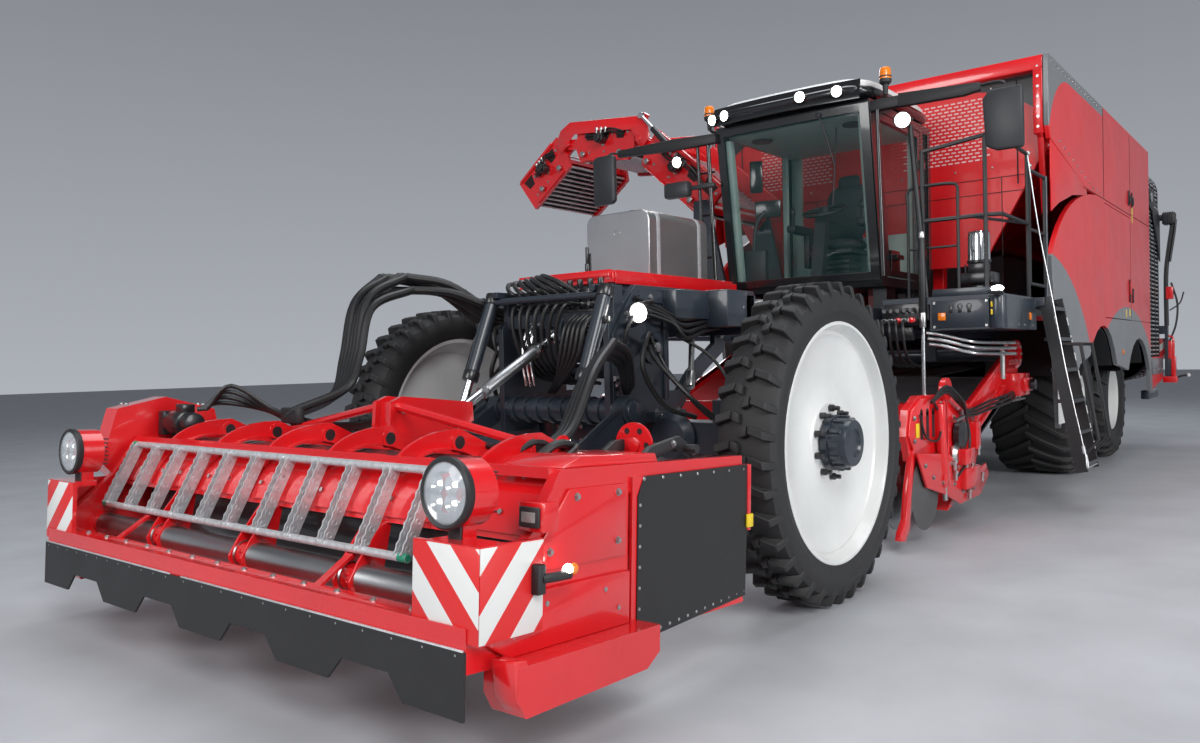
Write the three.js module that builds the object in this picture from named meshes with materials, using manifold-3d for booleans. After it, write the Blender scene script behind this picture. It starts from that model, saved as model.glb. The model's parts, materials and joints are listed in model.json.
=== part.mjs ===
// Self-propelled four-row potato harvester with a front haulm topper, a digging
// unit under the cab, a high bunker and a folding unloading elevator.
// Millimetres. The machine is drawn with X forward, Y to its left and Z up, from
// the point on the ground under the middle of the front axle; the last lines move
// it so that the origin lies under the middle of the whole machine.

import * as THREE from 'three';
import { mergeVertices } from 'three/addons/utils/BufferGeometryUtils.js';
import Module from 'manifold-3d';

const wasm = await Module();
wasm.setup();
const { Manifold, Mesh: SolidMesh } = wasm;

// ---------------------------------------------------------------- driving sizes
const GAP = 0.3;                    // between pieces that rest on each other
const RUNNING_GAP = 8;              // between pieces that move past each other
const BORE_GAP = 0.6;               // round a rod in its barrel
const WHEEL_FACETS = 24;

const MACHINE_WIDTH = 3500;
const ROW_PITCH = 750;
const ROWS = 4;
const SIDE_Y = MACHINE_WIDTH / 2;   // outer face of the side panels

const FRONT_TRACK = 3000;           // between the middles of the front tyres
const FRONT_TYRE = { radius: 875, width: 320, rim: 660 };
const REAR_TRACK = 2300;
const REAR_TYRE = { radius: 745, width: 800, rim: 395 };
const REAR_AXLES_X = [-6400, -8350];
const KINGPIN_Y = 1120;

const RAIL = { y: 640, width: 120, bottom: 1500, top: 1740, front: -700, rear: -9590 };

const CAB = { front: -2850, lean: 200, rear: -4080, halfWidth: 740, floor: 1930, sill: 2010, eaves: 3470, roof: 3680 };
const DECK = { front: -880, rear: -2740, left: -600, right: -1600, top: 2030, thickness: 80 };
const TANK = { front: -1640, rear: -2560, left: -800, right: -1480, top: 2630 };
const PLATFORM = { front: -2730, rear: -4190, inner: 790, bottom: 1530, top: 1800, railTop: 3040 };
const LADDER = { front: -3690, rear: -4130, topZ: 1800, footZ: 340, topY: SIDE_Y + 60, footY: SIDE_Y + 330, step: 250 };

const BUNKER = { front: -4200, rear: -9640, top: 4000, seam: 2990, panelBottom: 2170, wall: 45 };
const BODY = { door: -6600, doorSplit: -8200, lowerSeam: 1700, rearBottom: 780, thickness: 45 };
const SWEEP = { topX: -6500, topZ: 2940, footX: -4230, footZ: 2200 };   // upper front edge of the side panel

const HITCH = { x: 450, y: 520, z: 1050, length: 850, drop: 440 };      // lower lift arms
const TOP_LINK_RISE = 470;

const HEADER = { front: 2775, halfWidth: 1625, pitch: 3.1, pivotX: 1050 };

const DIGGER = { pivotX: -4350, pivotZ: 1330, tube: 60, plateY: 1420, plateThickness: 50 };
const ROLLER = { x: -1760, z: 430, radius: 340 };

const ELEVATOR = { front: -3050, rear: -4150, depth: 400, wall: 45 };
const ELEVATOR_PATH = [                    // middle line of the folded elevator, seen from the front
  [-1020, 2860], [-1900, 3640], [-2880, 3740], [-3520, 3250],
];

// -------------------------------------------------------------------- materials
const paint = (color, roughness = 0.35, metalness = 0.1) =>
  new THREE.MeshStandardMaterial({ color, roughness, metalness });
const RED = paint(0xc8161c);
const SLATE = paint(0x2b3138);
const GREY = paint(0x5c6064);
const BLACK = paint(0x141517, 0.6, 0);
const RUBBER = paint(0x1b1b1c, 0.85, 0);
const STEEL = paint(0xb4b8bb, 0.35, 0.9);
const FABRIC = paint(0x26272a, 0.9, 0);

// --------------------------------------------------------------- solid making
/** A closed geometry as a solid, with its shared corners merged and its faces pointing out. */
function solid(geometry) {
  geometry.deleteAttribute('normal');
  geometry.deleteAttribute('uv');
  const merged = mergeVertices(geometry, 1e-3);
  const index = merged.index.array;
  const position = merged.attributes.position;
  const triangles = [];
  let volume = 0;
  const [a, b, c] = [new THREE.Vector3(), new THREE.Vector3(), new THREE.Vector3()];
  for (let i = 0; i < index.length; i += 3) {
    const [p, q, r] = [index[i], index[i + 1], index[i + 2]];
    if (p === q || q === r || r === p) continue;
    triangles.push([p, q, r]);
    a.fromBufferAttribute(position, p);
    b.fromBufferAttribute(position, q);
    c.fromBufferAttribute(position, r);
    volume += a.dot(b.cross(c));
  }
  const ordered = volume < 0 ? triangles.map(([p, q, r]) => [p, r, q]) : triangles;
  return new Manifold(new SolidMesh({
    numProp: 3,
    vertProperties: Float32Array.from(position.array),
    triVerts: Uint32Array.from(ordered.flat()),
  }));
}

const join = (...parts) => Manifold.union(parts.flat());
const cut = (body, ...tools) => body.subtract(Manifold.union(tools.flat()));

/** A box between two corners, given as the three spans. */
function box([x0, x1], [y0, y1], [z0, z1]) {
  const geometry = new THREE.BoxGeometry(Math.abs(x1 - x0), Math.abs(y1 - y0), Math.abs(z1 - z0));
  return solid(geometry.translate((x0 + x1) / 2, (y0 + y1) / 2, (z0 + z1) / 2));
}

/** The outline as a shape; points are [u, v] pairs. */
const outline = (points) => new THREE.Shape(points.map(([u, v]) => new THREE.Vector2(u, v)));

/** A shape drawn in X and Z, as thick as the span along Y. */
function sidePlate(shape, [y0, y1], curveSegments = 12) {
  const geometry = new THREE.ExtrudeGeometry(shape, { depth: y1 - y0, bevelEnabled: false, curveSegments });
  return solid(geometry.rotateX(Math.PI / 2).translate(0, y1, 0));
}

/** A shape drawn in Y and Z, as thick as the span along X. */
function crossPlate(shape, [x0, x1], curveSegments = 12) {
  const geometry = new THREE.ExtrudeGeometry(shape, { depth: x1 - x0, bevelEnabled: false, curveSegments });
  const turn = new THREE.Matrix4().makeBasis(
    new THREE.Vector3(0, 1, 0), new THREE.Vector3(0, 0, 1), new THREE.Vector3(1, 0, 0));
  return solid(geometry.applyMatrix4(turn).translate(x0, 0, 0));
}

/** A round bar from one point to another. */
function rod(from, to, radius, sides = 12) {
  const start = new THREE.Vector3(...from);
  const along = new THREE.Vector3(...to).sub(start);
  const geometry = new THREE.CylinderGeometry(radius, radius, along.length(), sides);
  geometry.translate(0, along.length() / 2, 0);
  geometry.applyQuaternion(new THREE.Quaternion().setFromUnitVectors(new THREE.Vector3(0, 1, 0), along.clone().normalize()));
  return solid(geometry.translate(start.x, start.y, start.z));
}

/** A flat or square bar from one point to another; `side` is the direction of its width. */
function beam(from, to, width, height, side = [0, 1, 0]) {
  const start = new THREE.Vector3(...from);
  const along = new THREE.Vector3(...to).sub(start);
  const length = along.length();
  const forward = along.normalize();
  const up = new THREE.Vector3().crossVectors(forward, new THREE.Vector3(...side)).normalize();
  const across = new THREE.Vector3().crossVectors(up, forward);
  const turn = new THREE.Matrix4().makeBasis(forward, across, up);
  const geometry = new THREE.BoxGeometry(length, width, height).translate(length / 2, 0, 0);
  return solid(geometry.applyMatrix4(turn).translate(start.x, start.y, start.z));
}

/** Round bars through a row of points. */
function tubeRun(points, radius, sides = 6) {
  const runs = points.slice(1).map((point, i) => rod(points[i], point, radius, sides));
  const corners = points.slice(1, -1).map(([x, y, z]) =>
    solid(new THREE.IcosahedronGeometry(radius * 1.2).translate(x, y, z)));
  return [...runs, ...corners];
}

/** A closed profile of [radius, along] turned about the Y axis. */
function turned(profile, segments = 40) {
  return solid(new THREE.LatheGeometry(profile.map(([r, y]) => new THREE.Vector2(r, y)), segments));
}

const bothSides = (make) => [make(1), make(-1)];

// ------------------------------------------------------------------ scene graph
const machine = new THREE.Group();
machine.name = 'potato_harvester';

/** Puts a solid in the scene graph as a named mesh. */
function place(name, body, material, parent = machine) {
  const { vertProperties, triVerts, numProp } = body.getMesh();
  const positions = new Float32Array((vertProperties.length / numProp) * 3);
  for (let i = 0; i < positions.length / 3; i += 1) {
    positions.set(vertProperties.subarray(i * numProp, i * numProp + 3), i * 3);
  }
  const geometry = new THREE.BufferGeometry();
  geometry.setAttribute('position', new THREE.BufferAttribute(positions, 3));
  geometry.setIndex(new THREE.BufferAttribute(Uint32Array.from(triVerts), 1));
  geometry.computeVertexNormals();
  const mesh = new THREE.Mesh(geometry, material);
  mesh.name = name;
  parent.add(mesh);
  return mesh;
}

// ----------------------------------------------------------------------- wheels
const hubGap = 60;      // from the middle of the tyre to the inner end of the hub

/** Tyre section: tread, shoulders and two sidewalls, open at the bead. */
function tyreProfile({ radius, width, rim }) {
  const half = width / 2;
  const shoulder = (radius - rim) * 0.12;
  const bead = rim - 6;
  return [
    [bead, -half * 0.9], [rim + (radius - rim) * 0.45, -half], [radius - shoulder, -half * 0.92],
    [radius, -half * 0.72], [radius, half * 0.72], [radius - shoulder, half * 0.92],
    [rim + (radius - rim) * 0.45, half], [bead, half * 0.9], [bead, -half * 0.9],
  ];
}

/** Rim, dish and hub in one; `outboard` is the side that faces away from the machine. */
function rimProfile({ width, rim }, dish, hubRadius, hubOut, hubIn) {
  const half = width / 2;
  return [
    [0, hubOut], [hubRadius, hubOut], [hubRadius, dish + 20], [rim * 0.86, dish + 26], [rim, half * 0.88],
    [rim, -half * 0.88], [rim * 0.9, -half * 0.2], [rim * 0.84, dish - 14], [hubRadius, dish - 20], [hubRadius, -hubIn],
    [0, -hubIn],
  ];
}

function addWheel(name, size, dish, hubRadius, hubOut, x, track, side) {
  const wheel = new THREE.Group();
  wheel.position.set(x, side * (track / 2), size.radius);
  if (side < 0) wheel.rotation.z = Math.PI;
  machine.add(wheel);
  const rim = turned(rimProfile(size, dish, hubRadius, hubOut, hubGap), WHEEL_FACETS);
  place(`${name}_wheel`, join(turned(tyreProfile(size), WHEEL_FACETS), rim), RUBBER, wheel);
}

for (const [label, side] of [['left', 1], ['right', -1]]) {
  addWheel(`front_${label}`, FRONT_TYRE, 40, 140, 215, 0, FRONT_TRACK, side);
  addWheel(`middle_${label}`, REAR_TYRE, 120, 150, 210, REAR_AXLES_X[0], REAR_TRACK, side);
  addWheel(`rear_${label}`, REAR_TYRE, 120, 150, 210, REAR_AXLES_X[1], REAR_TRACK, side);
}

// ------------------------------------------------------------ axles and knuckles
const frontAxle = {
  z: FRONT_TYRE.radius, beam: 190, depth: 220, lugReach: 1205, lugGap: BORE_GAP, knuckleHalf: 175, lugThickness: 50,
};

function makeFrontAxle() {
  const { z, beam: height, depth, lugReach, lugGap, knuckleHalf, lugThickness } = frontAxle;
  const endY = KINGPIN_Y - 135;
  const lugX = [-75, 75];
  const forks = bothSides((side) => [1, -1].map((up) => {
    const face = z + up * (knuckleHalf + lugGap);
    return join(
      box(lugX, [side * (endY - 120), side * lugReach], [face, face + up * lugThickness]),
      box(lugX, [side * (endY - 120), side * endY], [z, face + up * lugThickness]));
  })).flat();
  return join(box([-depth / 2, depth / 2], [-endY, endY], [z - height / 2, z + height / 2]), forks);
}

function makeKnuckle(side) {
  const { z, knuckleHalf } = frontAxle;
  const hubFace = FRONT_TRACK / 2 - hubGap - GAP;
  return join(
    rod([0, side * KINGPIN_Y, z - knuckleHalf], [0, side * KINGPIN_Y, z + knuckleHalf], 78, 20),
    rod([0, side * KINGPIN_Y, z], [0, side * hubFace, z], 85, 20),
    box([-320, 0], [side * (KINGPIN_Y - 35), side * (KINGPIN_Y + 35)], [z - 40, z + 40]));
}

place('front_axle', makeFrontAxle(), SLATE);
place('left_knuckle', makeKnuckle(1), SLATE);
place('right_knuckle', makeKnuckle(-1), SLATE);

/** A rear axle beam hung under the rails, with a stub for each wheel. */
function makeRearAxle(x) {
  const z = REAR_TYRE.radius;
  const hubFace = REAR_TRACK / 2 - hubGap - GAP;
  const legY = RAIL.y;
  return join(
    box([x - 90, x + 90], [-legY - 60, legY + 60], [z - 110, z + 90]),
    rod([x, -hubFace, z], [x, hubFace, z], 90, 20),
    bothSides((side) => sidePlate(
      outline([[x - 90, z], [x + 90, z], [x + 260, RAIL.bottom - GAP], [x - 260, RAIL.bottom - GAP]]),
      [side * legY - 50, side * legY + 50])));
}

/** Both rear axles, joined by the beams between them. */
function makeRearAxles() {
  const z = REAR_TYRE.radius;
  const beams = bothSides((side) => box(REAR_AXLES_X, [side * (RAIL.y - 50), side * (RAIL.y + 50)], [z - 80, z + 80]));
  return join(REAR_AXLES_X.map(makeRearAxle), beams);
}

place('rear_axles', makeRearAxles(), SLATE);

// --------------------------------------------------------- lift linkage points
const hitchEnd = [HITCH.x + HITCH.length, HITCH.z - HITCH.drop];
const topLinkStart = [HITCH.x, HITCH.z + TOP_LINK_RISE];
const topLinkEnd = [topLinkStart[0] + HITCH.length, topLinkStart[1] - HITCH.drop];
const cylinder = { topX: 560, topZ: 1730, reach: 0.6, y: HITCH.y - 60, bore: 28, wall: 14, barrel: 520 };
const cylinderEye = [HITCH.x + HITCH.length * cylinder.reach, HITCH.z - HITCH.drop * cylinder.reach];

// ------------------------------------------------------------------- main frame
const tower = { y: 430, thickness: 40, front: 520, rear: -760, bottom: frontAxle.z + frontAxle.beam / 2 + GAP, top: 1800, rearTop: 1760 };

/** Two rails, their cross members and the lugs of the digging unit. */
function makeMainFrame() {
  const rails = bothSides((side) => box(
    [RAIL.rear, RAIL.front], [side * RAIL.y - RAIL.width / 2, side * RAIL.y + RAIL.width / 2], [RAIL.bottom, RAIL.top]));
  const crossX = [-9300, -7400, -5300, -4500, -2700, -1500];
  const crossMembers = crossX.map((x) => box([x, x + 120], [-RAIL.y, RAIL.y], [RAIL.bottom + 30, RAIL.top - 30]));
  const diggerLugs = bothSides((side) => {
    const across = [side * RAIL.y - RAIL.width / 2, side * RAIL.y + RAIL.width / 2];
    const { pivotX, pivotZ, tube } = DIGGER;
    const roof = pivotZ + tube + BORE_GAP;
    return join(
      box([pivotX - 100, pivotX + 100], across, [roof, RAIL.bottom + 5]),
      box([pivotX - 100, pivotX - tube - 3], across, [pivotZ - 60, roof + 5]),
      box([pivotX + tube + 3, pivotX + 100], across, [pivotZ - 60, roof + 5]));
  });
  return join(rails, crossMembers, diggerLugs);
}

/** The two frame rails, grown by the gap that pieces bolted to them keep. */
function railSpace() {
  const half = RAIL.width / 2 + GAP;
  return bothSides((side) => box(
    [RAIL.rear - GAP, RAIL.front + GAP], [side * RAIL.y - half, side * RAIL.y + half], [RAIL.bottom - GAP, RAIL.top + GAP]));
}

/** Tall plates over the front axle, with the brackets of the lift cylinders and the top link. */
function makeFrontFrame() {
  const plates = bothSides((side) => sidePlate(
    outline([
      [tower.front, 900], [tower.front, 1560], [250, tower.top], [-500, tower.top], [tower.rear, tower.rearTop],
      [tower.rear, 1400], [-400, 1200], [-170, tower.bottom], [170, tower.bottom], [260, 900],
    ]),
    [side * tower.y - tower.thickness / 2, side * tower.y + tower.thickness / 2]));
  const saddles = bothSides((side) => box([-170, 170], [side * tower.y - 90, side * tower.y + 90], [tower.bottom, tower.bottom + 60]));
  const pivotTube = rod([HITCH.x, -HITCH.y + 45, HITCH.z], [HITCH.x, HITCH.y - 45, HITCH.z], 70, 20);
  const topBox = box([-420, 200], [-tower.y, tower.y], [tower.top - 120, tower.top - 20]);
  const rearBox = box([tower.rear, tower.rear + 120], [-RAIL.y - 60, RAIL.y + 60], [RAIL.bottom, tower.rearTop]);
  const topLinkBracket = join(
    box([330, 470], [-tower.y, tower.y], [1560, 1640]),
    bothSides((side) => sidePlate(
      outline([[400, 1640], [400, 1480], [500, 1470], [500, 1570], [450, 1640]]), [side * 52 - 10, side * 52 + 10])));
  const cylinderBrackets = bothSides((side) => box(
    [400, 600], [side * (cylinder.y - 85), side * (cylinder.y - 45)], [cylinder.topZ + 22 + BORE_GAP, 1790]))
    .concat(bothSides((side) => box([380, 470], [side * (tower.y - 20), side * (HITCH.y - 70)], [1520, 1790])));
  const windows = sidePlate(
    outline([[-90, 1150], [-90, 1560], [-520, 1610], [-640, 1560], [-640, 1450], [-330, 1270], [-200, 1150]]),
    [-tower.y - tower.thickness, tower.y + tower.thickness]);
  return cut(join(cut(join(plates), windows), saddles, pivotTube, topBox, rearBox, topLinkBracket, cylinderBrackets), ...railSpace());
}

// --------------------------------------------------------------- right-hand deck
function makeDeck() {
  const { front, rear, left, right, top, thickness } = DECK;
  return box([rear, front], [right, left], [top - thickness, top]);
}

/** The dark box under the deck that carries it on the right rail. */
function makeDeckBox() {
  const { front, rear, left, right, top, thickness } = DECK;
  return join(
    box([rear + 60, front - 60], [right + 60, left - 40], [top - thickness - 170, top - thickness + 5]),
    box([rear + 300, rear + 500], [right + 200, -RAIL.y], [RAIL.bottom + 40, top - thickness - 100]),
    box([front - 600, front - 400], [-RAIL.y - 300, -RAIL.y], [RAIL.bottom + 40, top - thickness - 100]));
}

function makeTank() {
  const { front, rear, left, right, top } = TANK;
  const radius = 90;
  const width = left - right;
  const height = top - DECK.top - GAP;
  const section = new THREE.Shape();
  section.moveTo(0, 0);
  section.lineTo(width, 0);
  section.lineTo(width, height - radius);
  section.absarc(width - radius, height - radius, radius, 0, Math.PI / 2);
  section.absarc(radius, height - radius, radius, Math.PI / 2, Math.PI);
  return crossPlate(section, [rear, front], 6).translate([0, right, DECK.top + GAP]);
}

place('fuel_tank', makeTank(), STEEL);

// -------------------------------------------------------------------------- cab
const cabTopFront = CAB.front + CAB.lean;
const pillar = 70;

/** Side outline of the cab, from the sill to the eaves, shrunk by an inset. */
function cabSide(inset, sill = CAB.sill, eaves = CAB.eaves) {
  const slope = CAB.lean / (CAB.eaves - CAB.sill);
  const frontAt = (z) => CAB.front + (z - CAB.sill) * slope - inset;
  return outline([[CAB.rear + inset, sill], [frontAt(sill), sill], [frontAt(eaves), eaves], [CAB.rear + inset, eaves]]);
}

function makeCabFrame() {
  const { rear, halfWidth, floor, sill, eaves } = CAB;
  const shell = sidePlate(cabSide(0, floor, eaves), [-halfWidth, halfWidth]);
  const inside = sidePlate(cabSide(pillar, sill, eaves - pillar), [-halfWidth + pillar, halfWidth - pillar]);
  const windscreen = box([CAB.front - 300, cabTopFront + 200], [-halfWidth + pillar, halfWidth - pillar], [sill + 30, eaves - pillar]);
  const rearWindow = box([rear - 10, rear + 200], [-halfWidth + 2 * pillar, halfWidth - 2 * pillar], [2500, eaves - pillar]);
  const sideWindow = sidePlate(cabSide(140, sill + 40, eaves - pillar), [-halfWidth - 10, -halfWidth + 200]);
  const doorway = sidePlate(doorShape(0), [halfWidth - 200, halfWidth + 10]);
  const quarter = box([rear + pillar, doorBack() - pillar], [halfWidth - 200, halfWidth + 10], [sill + 40, eaves - pillar]);
  const legs = bothSides((side) => box(
    [rear + 60, rear + 260], [side * RAIL.y - RAIL.width / 2, side * RAIL.y + RAIL.width / 2], [RAIL.top + GAP, floor + 20]));
  const frontLegs = bothSides((side) => box(
    [CAB.front - 400, CAB.front - 200], [side * RAIL.y - RAIL.width / 2, side * RAIL.y + RAIL.width / 2], [RAIL.top + GAP, floor + 20]));
  const hingeEars = hingeHeights.map((z) => box(
    [doorBack() - 60, doorBack() - hingeRadius - BORE_GAP], [halfWidth - 5, halfWidth + 2 * hingeRadius - 4], [z, z + 80]));
  return join(cut(shell, inside, windscreen, rearWindow, sideWindow, doorway, quarter), legs, frontLegs, hingeEars);
}

const hingeRadius = 14;
const hingeY = CAB.halfWidth + hingeRadius + GAP;
const hingeHeights = [CAB.sill + 240, CAB.eaves - 420];

function doorBack() {
  return CAB.front - 960;
}

/** Outline of the doorway; a door is this outline shrunk by a gap. */
function doorShape(inset) {
  const slope = CAB.lean / (CAB.eaves - CAB.sill);
  const frontAt = (z) => CAB.front - 130 + (z - CAB.sill) * slope - inset;
  const bottom = CAB.sill + inset;
  const top = CAB.eaves - pillar - inset;
  return outline([[doorBack() + inset, bottom], [frontAt(bottom), bottom], [frontAt(top), top], [doorBack() + inset, top]]);
}

function makeCabDoor() {
  const { halfWidth, sill, eaves } = CAB;
  const border = 60;
  const leaf = sidePlate(doorShape(RUNNING_GAP), [halfWidth - 45, halfWidth]);
  const glass = sidePlate(doorShape(RUNNING_GAP + border), [halfWidth - 60, halfWidth + 10]);
  const handle = box([doorBack() + 560, doorBack() + 720], [halfWidth - 10, halfWidth + 45], [sill + 160, sill + 200]);
  const handleBase = box([doorBack() + 540, doorBack() + 740], [halfWidth - 45, halfWidth], [sill + RUNNING_GAP + 20, sill + 240]);
  const hinges = hingeHeights.map((z) => join(
    rod([doorBack(), hingeY, z], [doorBack(), hingeY, z + 80], hingeRadius, 12),
    box([doorBack() + 2, doorBack() + 45], [halfWidth - 5, halfWidth + 2 * hingeRadius - 4], [z, z + 80])));
  return join(cut(leaf, glass), handleBase, handle, hinges);
}

function makeCabRoof() {
  const { rear, halfWidth, eaves, roof } = CAB;
  const profile = new THREE.Shape();
  const front = cabTopFront + 170;
  profile.moveTo(rear - 40, eaves + GAP);
  profile.lineTo(front - 60, eaves + GAP);
  profile.quadraticCurveTo(front, eaves + 40, front - 20, eaves + 110);
  profile.quadraticCurveTo(front - 120, roof - 20, front - 420, roof);
  profile.lineTo(rear + 160, roof);
  profile.quadraticCurveTo(rear - 20, roof - 10, rear - 40, eaves + 80);
  return sidePlate(profile, [-halfWidth - 40, halfWidth + 40], 6);
}

function makeSeat() {
  const x = CAB.front - 830;
  const base = CAB.sill + GAP;
  return join(
    box([x - 200, x + 200], [-200, 200], [base, base + 120]),
    box([x - 120, x + 120], [-120, 120], [base + 100, base + 330]),
    box([x - 240, x + 270], [-250, 250], [base + 320, base + 450]),
    sidePlate(outline([[x - 250, base + 400], [x - 130, base + 400], [x - 210, base + 1020], [x - 310, base + 1020]]), [-230, 230]));
}

function makeSteeringColumn() {
  const x = CAB.front - 330;
  const base = CAB.sill + GAP;
  const column = beam([x, 0, base + 25], [x - 130, 0, base + 640], 110, 90);
  const wheel = solid(new THREE.TorusGeometry(190, 17, 6, 16).rotateY(0.35).translate(x - 160, 0, base + 690));
  const spokes = [rod([x - 160, -190, base + 690], [x - 160, 190, base + 690], 14, 8),
    rod([x - 130, 0, base + 610], [x - 165, 0, base + 710], 45, 12)];
  const foot = box([x - 100, x + 100], [-110, 110], [base, base + 30]);
  return join(column, wheel, spokes, foot);
}

place('cab_frame', makeCabFrame(), BLACK);
place('cab_roof', makeCabRoof(), BLACK);
place('cab_door', makeCabDoor(), BLACK);
place('driver_seat', makeSeat(), FABRIC);
place('steering_column', makeSteeringColumn(), BLACK);

// --------------------------------------------------- platform, railing and ladder
const gateHinge = { x: PLATFORM.rear + 25, y: SIDE_Y - 30 };
const gateTop = 2880;
const railingRear = -3560;             // rear end of the fixed railing, in front of the gate
const ladderPivot = { y: SIDE_Y + 40, z: PLATFORM.top - 35 };

function makePlatform() {
  const { front, rear, inner, bottom, top } = PLATFORM;
  const deck = box([rear, front], [inner, SIDE_Y], [top - 60, top]);
  const apron = box([front - 940, front], [1180, SIDE_Y], [bottom, top]);
  const arm = (x) => box([x - 60, x + 60], [RAIL.y + RAIL.width / 2 + GAP, SIDE_Y - 200], [top - 260, top - 40]);
  const post = rod([gateHinge.x, gateHinge.y, top - 10], [gateHinge.x, gateHinge.y, gateTop + 20], 17, 12);
  const lugs = [[rear, LADDER.rear - 15 - GAP], [LADDER.front + 15 + GAP, LADDER.front + 50]].map((x) =>
    box(x, [SIDE_Y - 10, ladderPivot.y + 30], [ladderPivot.z - 35, ladderPivot.z + 35]));
  return join(deck, apron, arm(front - 250), arm(rear + 200), post, lugs);
}

function makeRailing() {
  const { front, inner, top, railTop } = PLATFORM;
  const radius = 17;
  const frontX = front - 40;
  const outerY = SIDE_Y - 30;
  const loop = tubeRun([
    [frontX, inner + 330, top + GAP], [frontX, inner + 330, railTop - 60], [frontX, outerY - 110, railTop],
    [frontX - 40, outerY, railTop - 20], [railingRear, outerY, railTop - 40], [railingRear, outerY, top + GAP]], radius);
  const middle = tubeRun([
    [frontX, inner + 330, 2420], [frontX, outerY - 110, 2420], [frontX - 40, outerY, 2420], [railingRear, outerY, 2420]], radius);
  const post = tubeRun([[frontX, outerY - 110, top + GAP], [frontX, outerY - 110, railTop]], radius);
  return join(loop, middle, post);
}

/** Small swinging gate between the railing and the bunker, at the head of the ladder. */
function makeGate() {
  const { x, y } = gateHinge;
  const bottom = PLATFORM.top + 120;
  const [x0, x1] = [x + 42, railingRear - 45];
  const lug = (z) => box([x + 17 + GAP, x0], [y - 12, y + 12], [z - 15, z + 15]);
  return join(
    tubeRun([[x0, y, bottom], [x0, y, gateTop], [x1, y, gateTop], [x1, y, bottom], [x0, y, bottom]], 16),
    tubeRun([[x0, y, 2380], [x1, y, 2380]], 14), lug(bottom + 100), lug(gateTop - 100));
}

function makeLadder() {
  const { front, rear, topZ, footZ, topY, footY, step } = LADDER;
  const at = (t) => [topY + (footY - topY) * t, topZ + (footZ - topZ) * t];
  const stringer = (x) => beam([x, ...at(0)], [x, ...at(1)], 30, 90, [1, 0, 0]);
  const count = Math.floor((topZ - footZ) / step);
  const treads = Array.from({ length: count + 1 }, (_, i) => {
    const [y, z] = at((i + 0.35) / (count + 0.6));
    return box([rear, front], [y - 70, y + 50], [z - 15, z + 15]);
  });
  const handrail = (x) => tubeRun([
    [x, ...at(0.27)], [x, at(0.3)[0] + 190, at(0.3)[1] + 40], [x, at(0.9)[0] + 150, at(0.9)[1] + 130], [x, ...at(0.93)]], 14);
  const hinge = rod([rear - 15, ladderPivot.y, ladderPivot.z], [front + 15, ladderPivot.y, ladderPivot.z], 18, 12);
  return join(stringer(rear), stringer(front), treads, handrail(rear), handrail(front), hinge);
}

place('platform', makePlatform(), SLATE);
place('railing', makeRailing(), BLACK);
place('platform_gate', makeGate(), BLACK);
place('ladder', makeLadder(), BLACK);

// ----------------------------------------------------------------------- bunker
const funnel = { bottomZ: 2560, bottomY: 620, frontShift: 250 };
const bunkerInner = SIDE_Y - BUNKER.wall;

/** Side wall above the seam; its front edge leans back towards the seam. */
function makeBunkerSide(side) {
  const shape = outline([
    [BUNKER.front, BUNKER.seam + 400], [BUNKER.front, BUNKER.top], [BUNKER.rear, BUNKER.top],
    [BUNKER.rear, BUNKER.seam + GAP], [SWEEP.topX, BUNKER.seam + GAP], [BUNKER.front - 1500, BUNKER.seam + GAP],
    [BUNKER.front - 60, BUNKER.seam + 260]]);
  const span = side > 0 ? [bunkerInner, SIDE_Y] : [-SIDE_Y, -bunkerInner];
  return sidePlate(shape, span);
}

/** Inset front wall, from the floor of the funnel to the top rail. */
function makeBunkerFront() {
  const y = bunkerInner - GAP;
  const wall = crossPlate(outline([
    [-y, BUNKER.top], [y, BUNKER.top], [y, BUNKER.seam + 240], [funnel.bottomY + 500, BUNKER.panelBottom],
    [-funnel.bottomY - 500, BUNKER.panelBottom], [-y, BUNKER.seam + 240]]), [BUNKER.front - 200, BUNKER.front - 160]);
  const topRail = box([BUNKER.front - 170, BUNKER.front - 20], [-y, y], [BUNKER.top - 120, BUNKER.top]);
  return join(wall, topRail);
}

/** Hopper: two slides, a flat bottom and the rear wall, carried on legs from the rails. */
function makeBunkerHopper() {
  const sheet = 30;
  const y = bunkerInner - GAP;
  const top = BUNKER.seam + 230;
  const section = outline([
    [-y, top], [-funnel.bottomY, funnel.bottomZ], [funnel.bottomY, funnel.bottomZ], [y, top],
    [y, top - sheet * 1.4], [funnel.bottomY, funnel.bottomZ - sheet], [-funnel.bottomY, funnel.bottomZ - sheet],
    [-y, top - sheet * 1.4]]);
  const span = [BUNKER.rear + 5, BUNKER.front - 200 - GAP];
  const rearWall = box([BUNKER.rear, BUNKER.rear + BUNKER.wall], [-y, y], [funnel.bottomZ, BUNKER.top]);
  const legX = [-9200, -6050, -4600];
  const legs = legX.flatMap((x) => bothSides((side) => box(
    [x - 60, x + 60], [side * RAIL.y - 50, side * RAIL.y + 50], [RAIL.top + GAP, funnel.bottomZ - 10])));
  return join(crossPlate(section, span), legs, rearWall);
}

place('bunker_left_side', makeBunkerSide(1), RED);
place('bunker_right_side', makeBunkerSide(-1), RED);
place('bunker_front', makeBunkerFront(), RED);
place('bunker_hopper', makeBunkerHopper(), RED);

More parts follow.
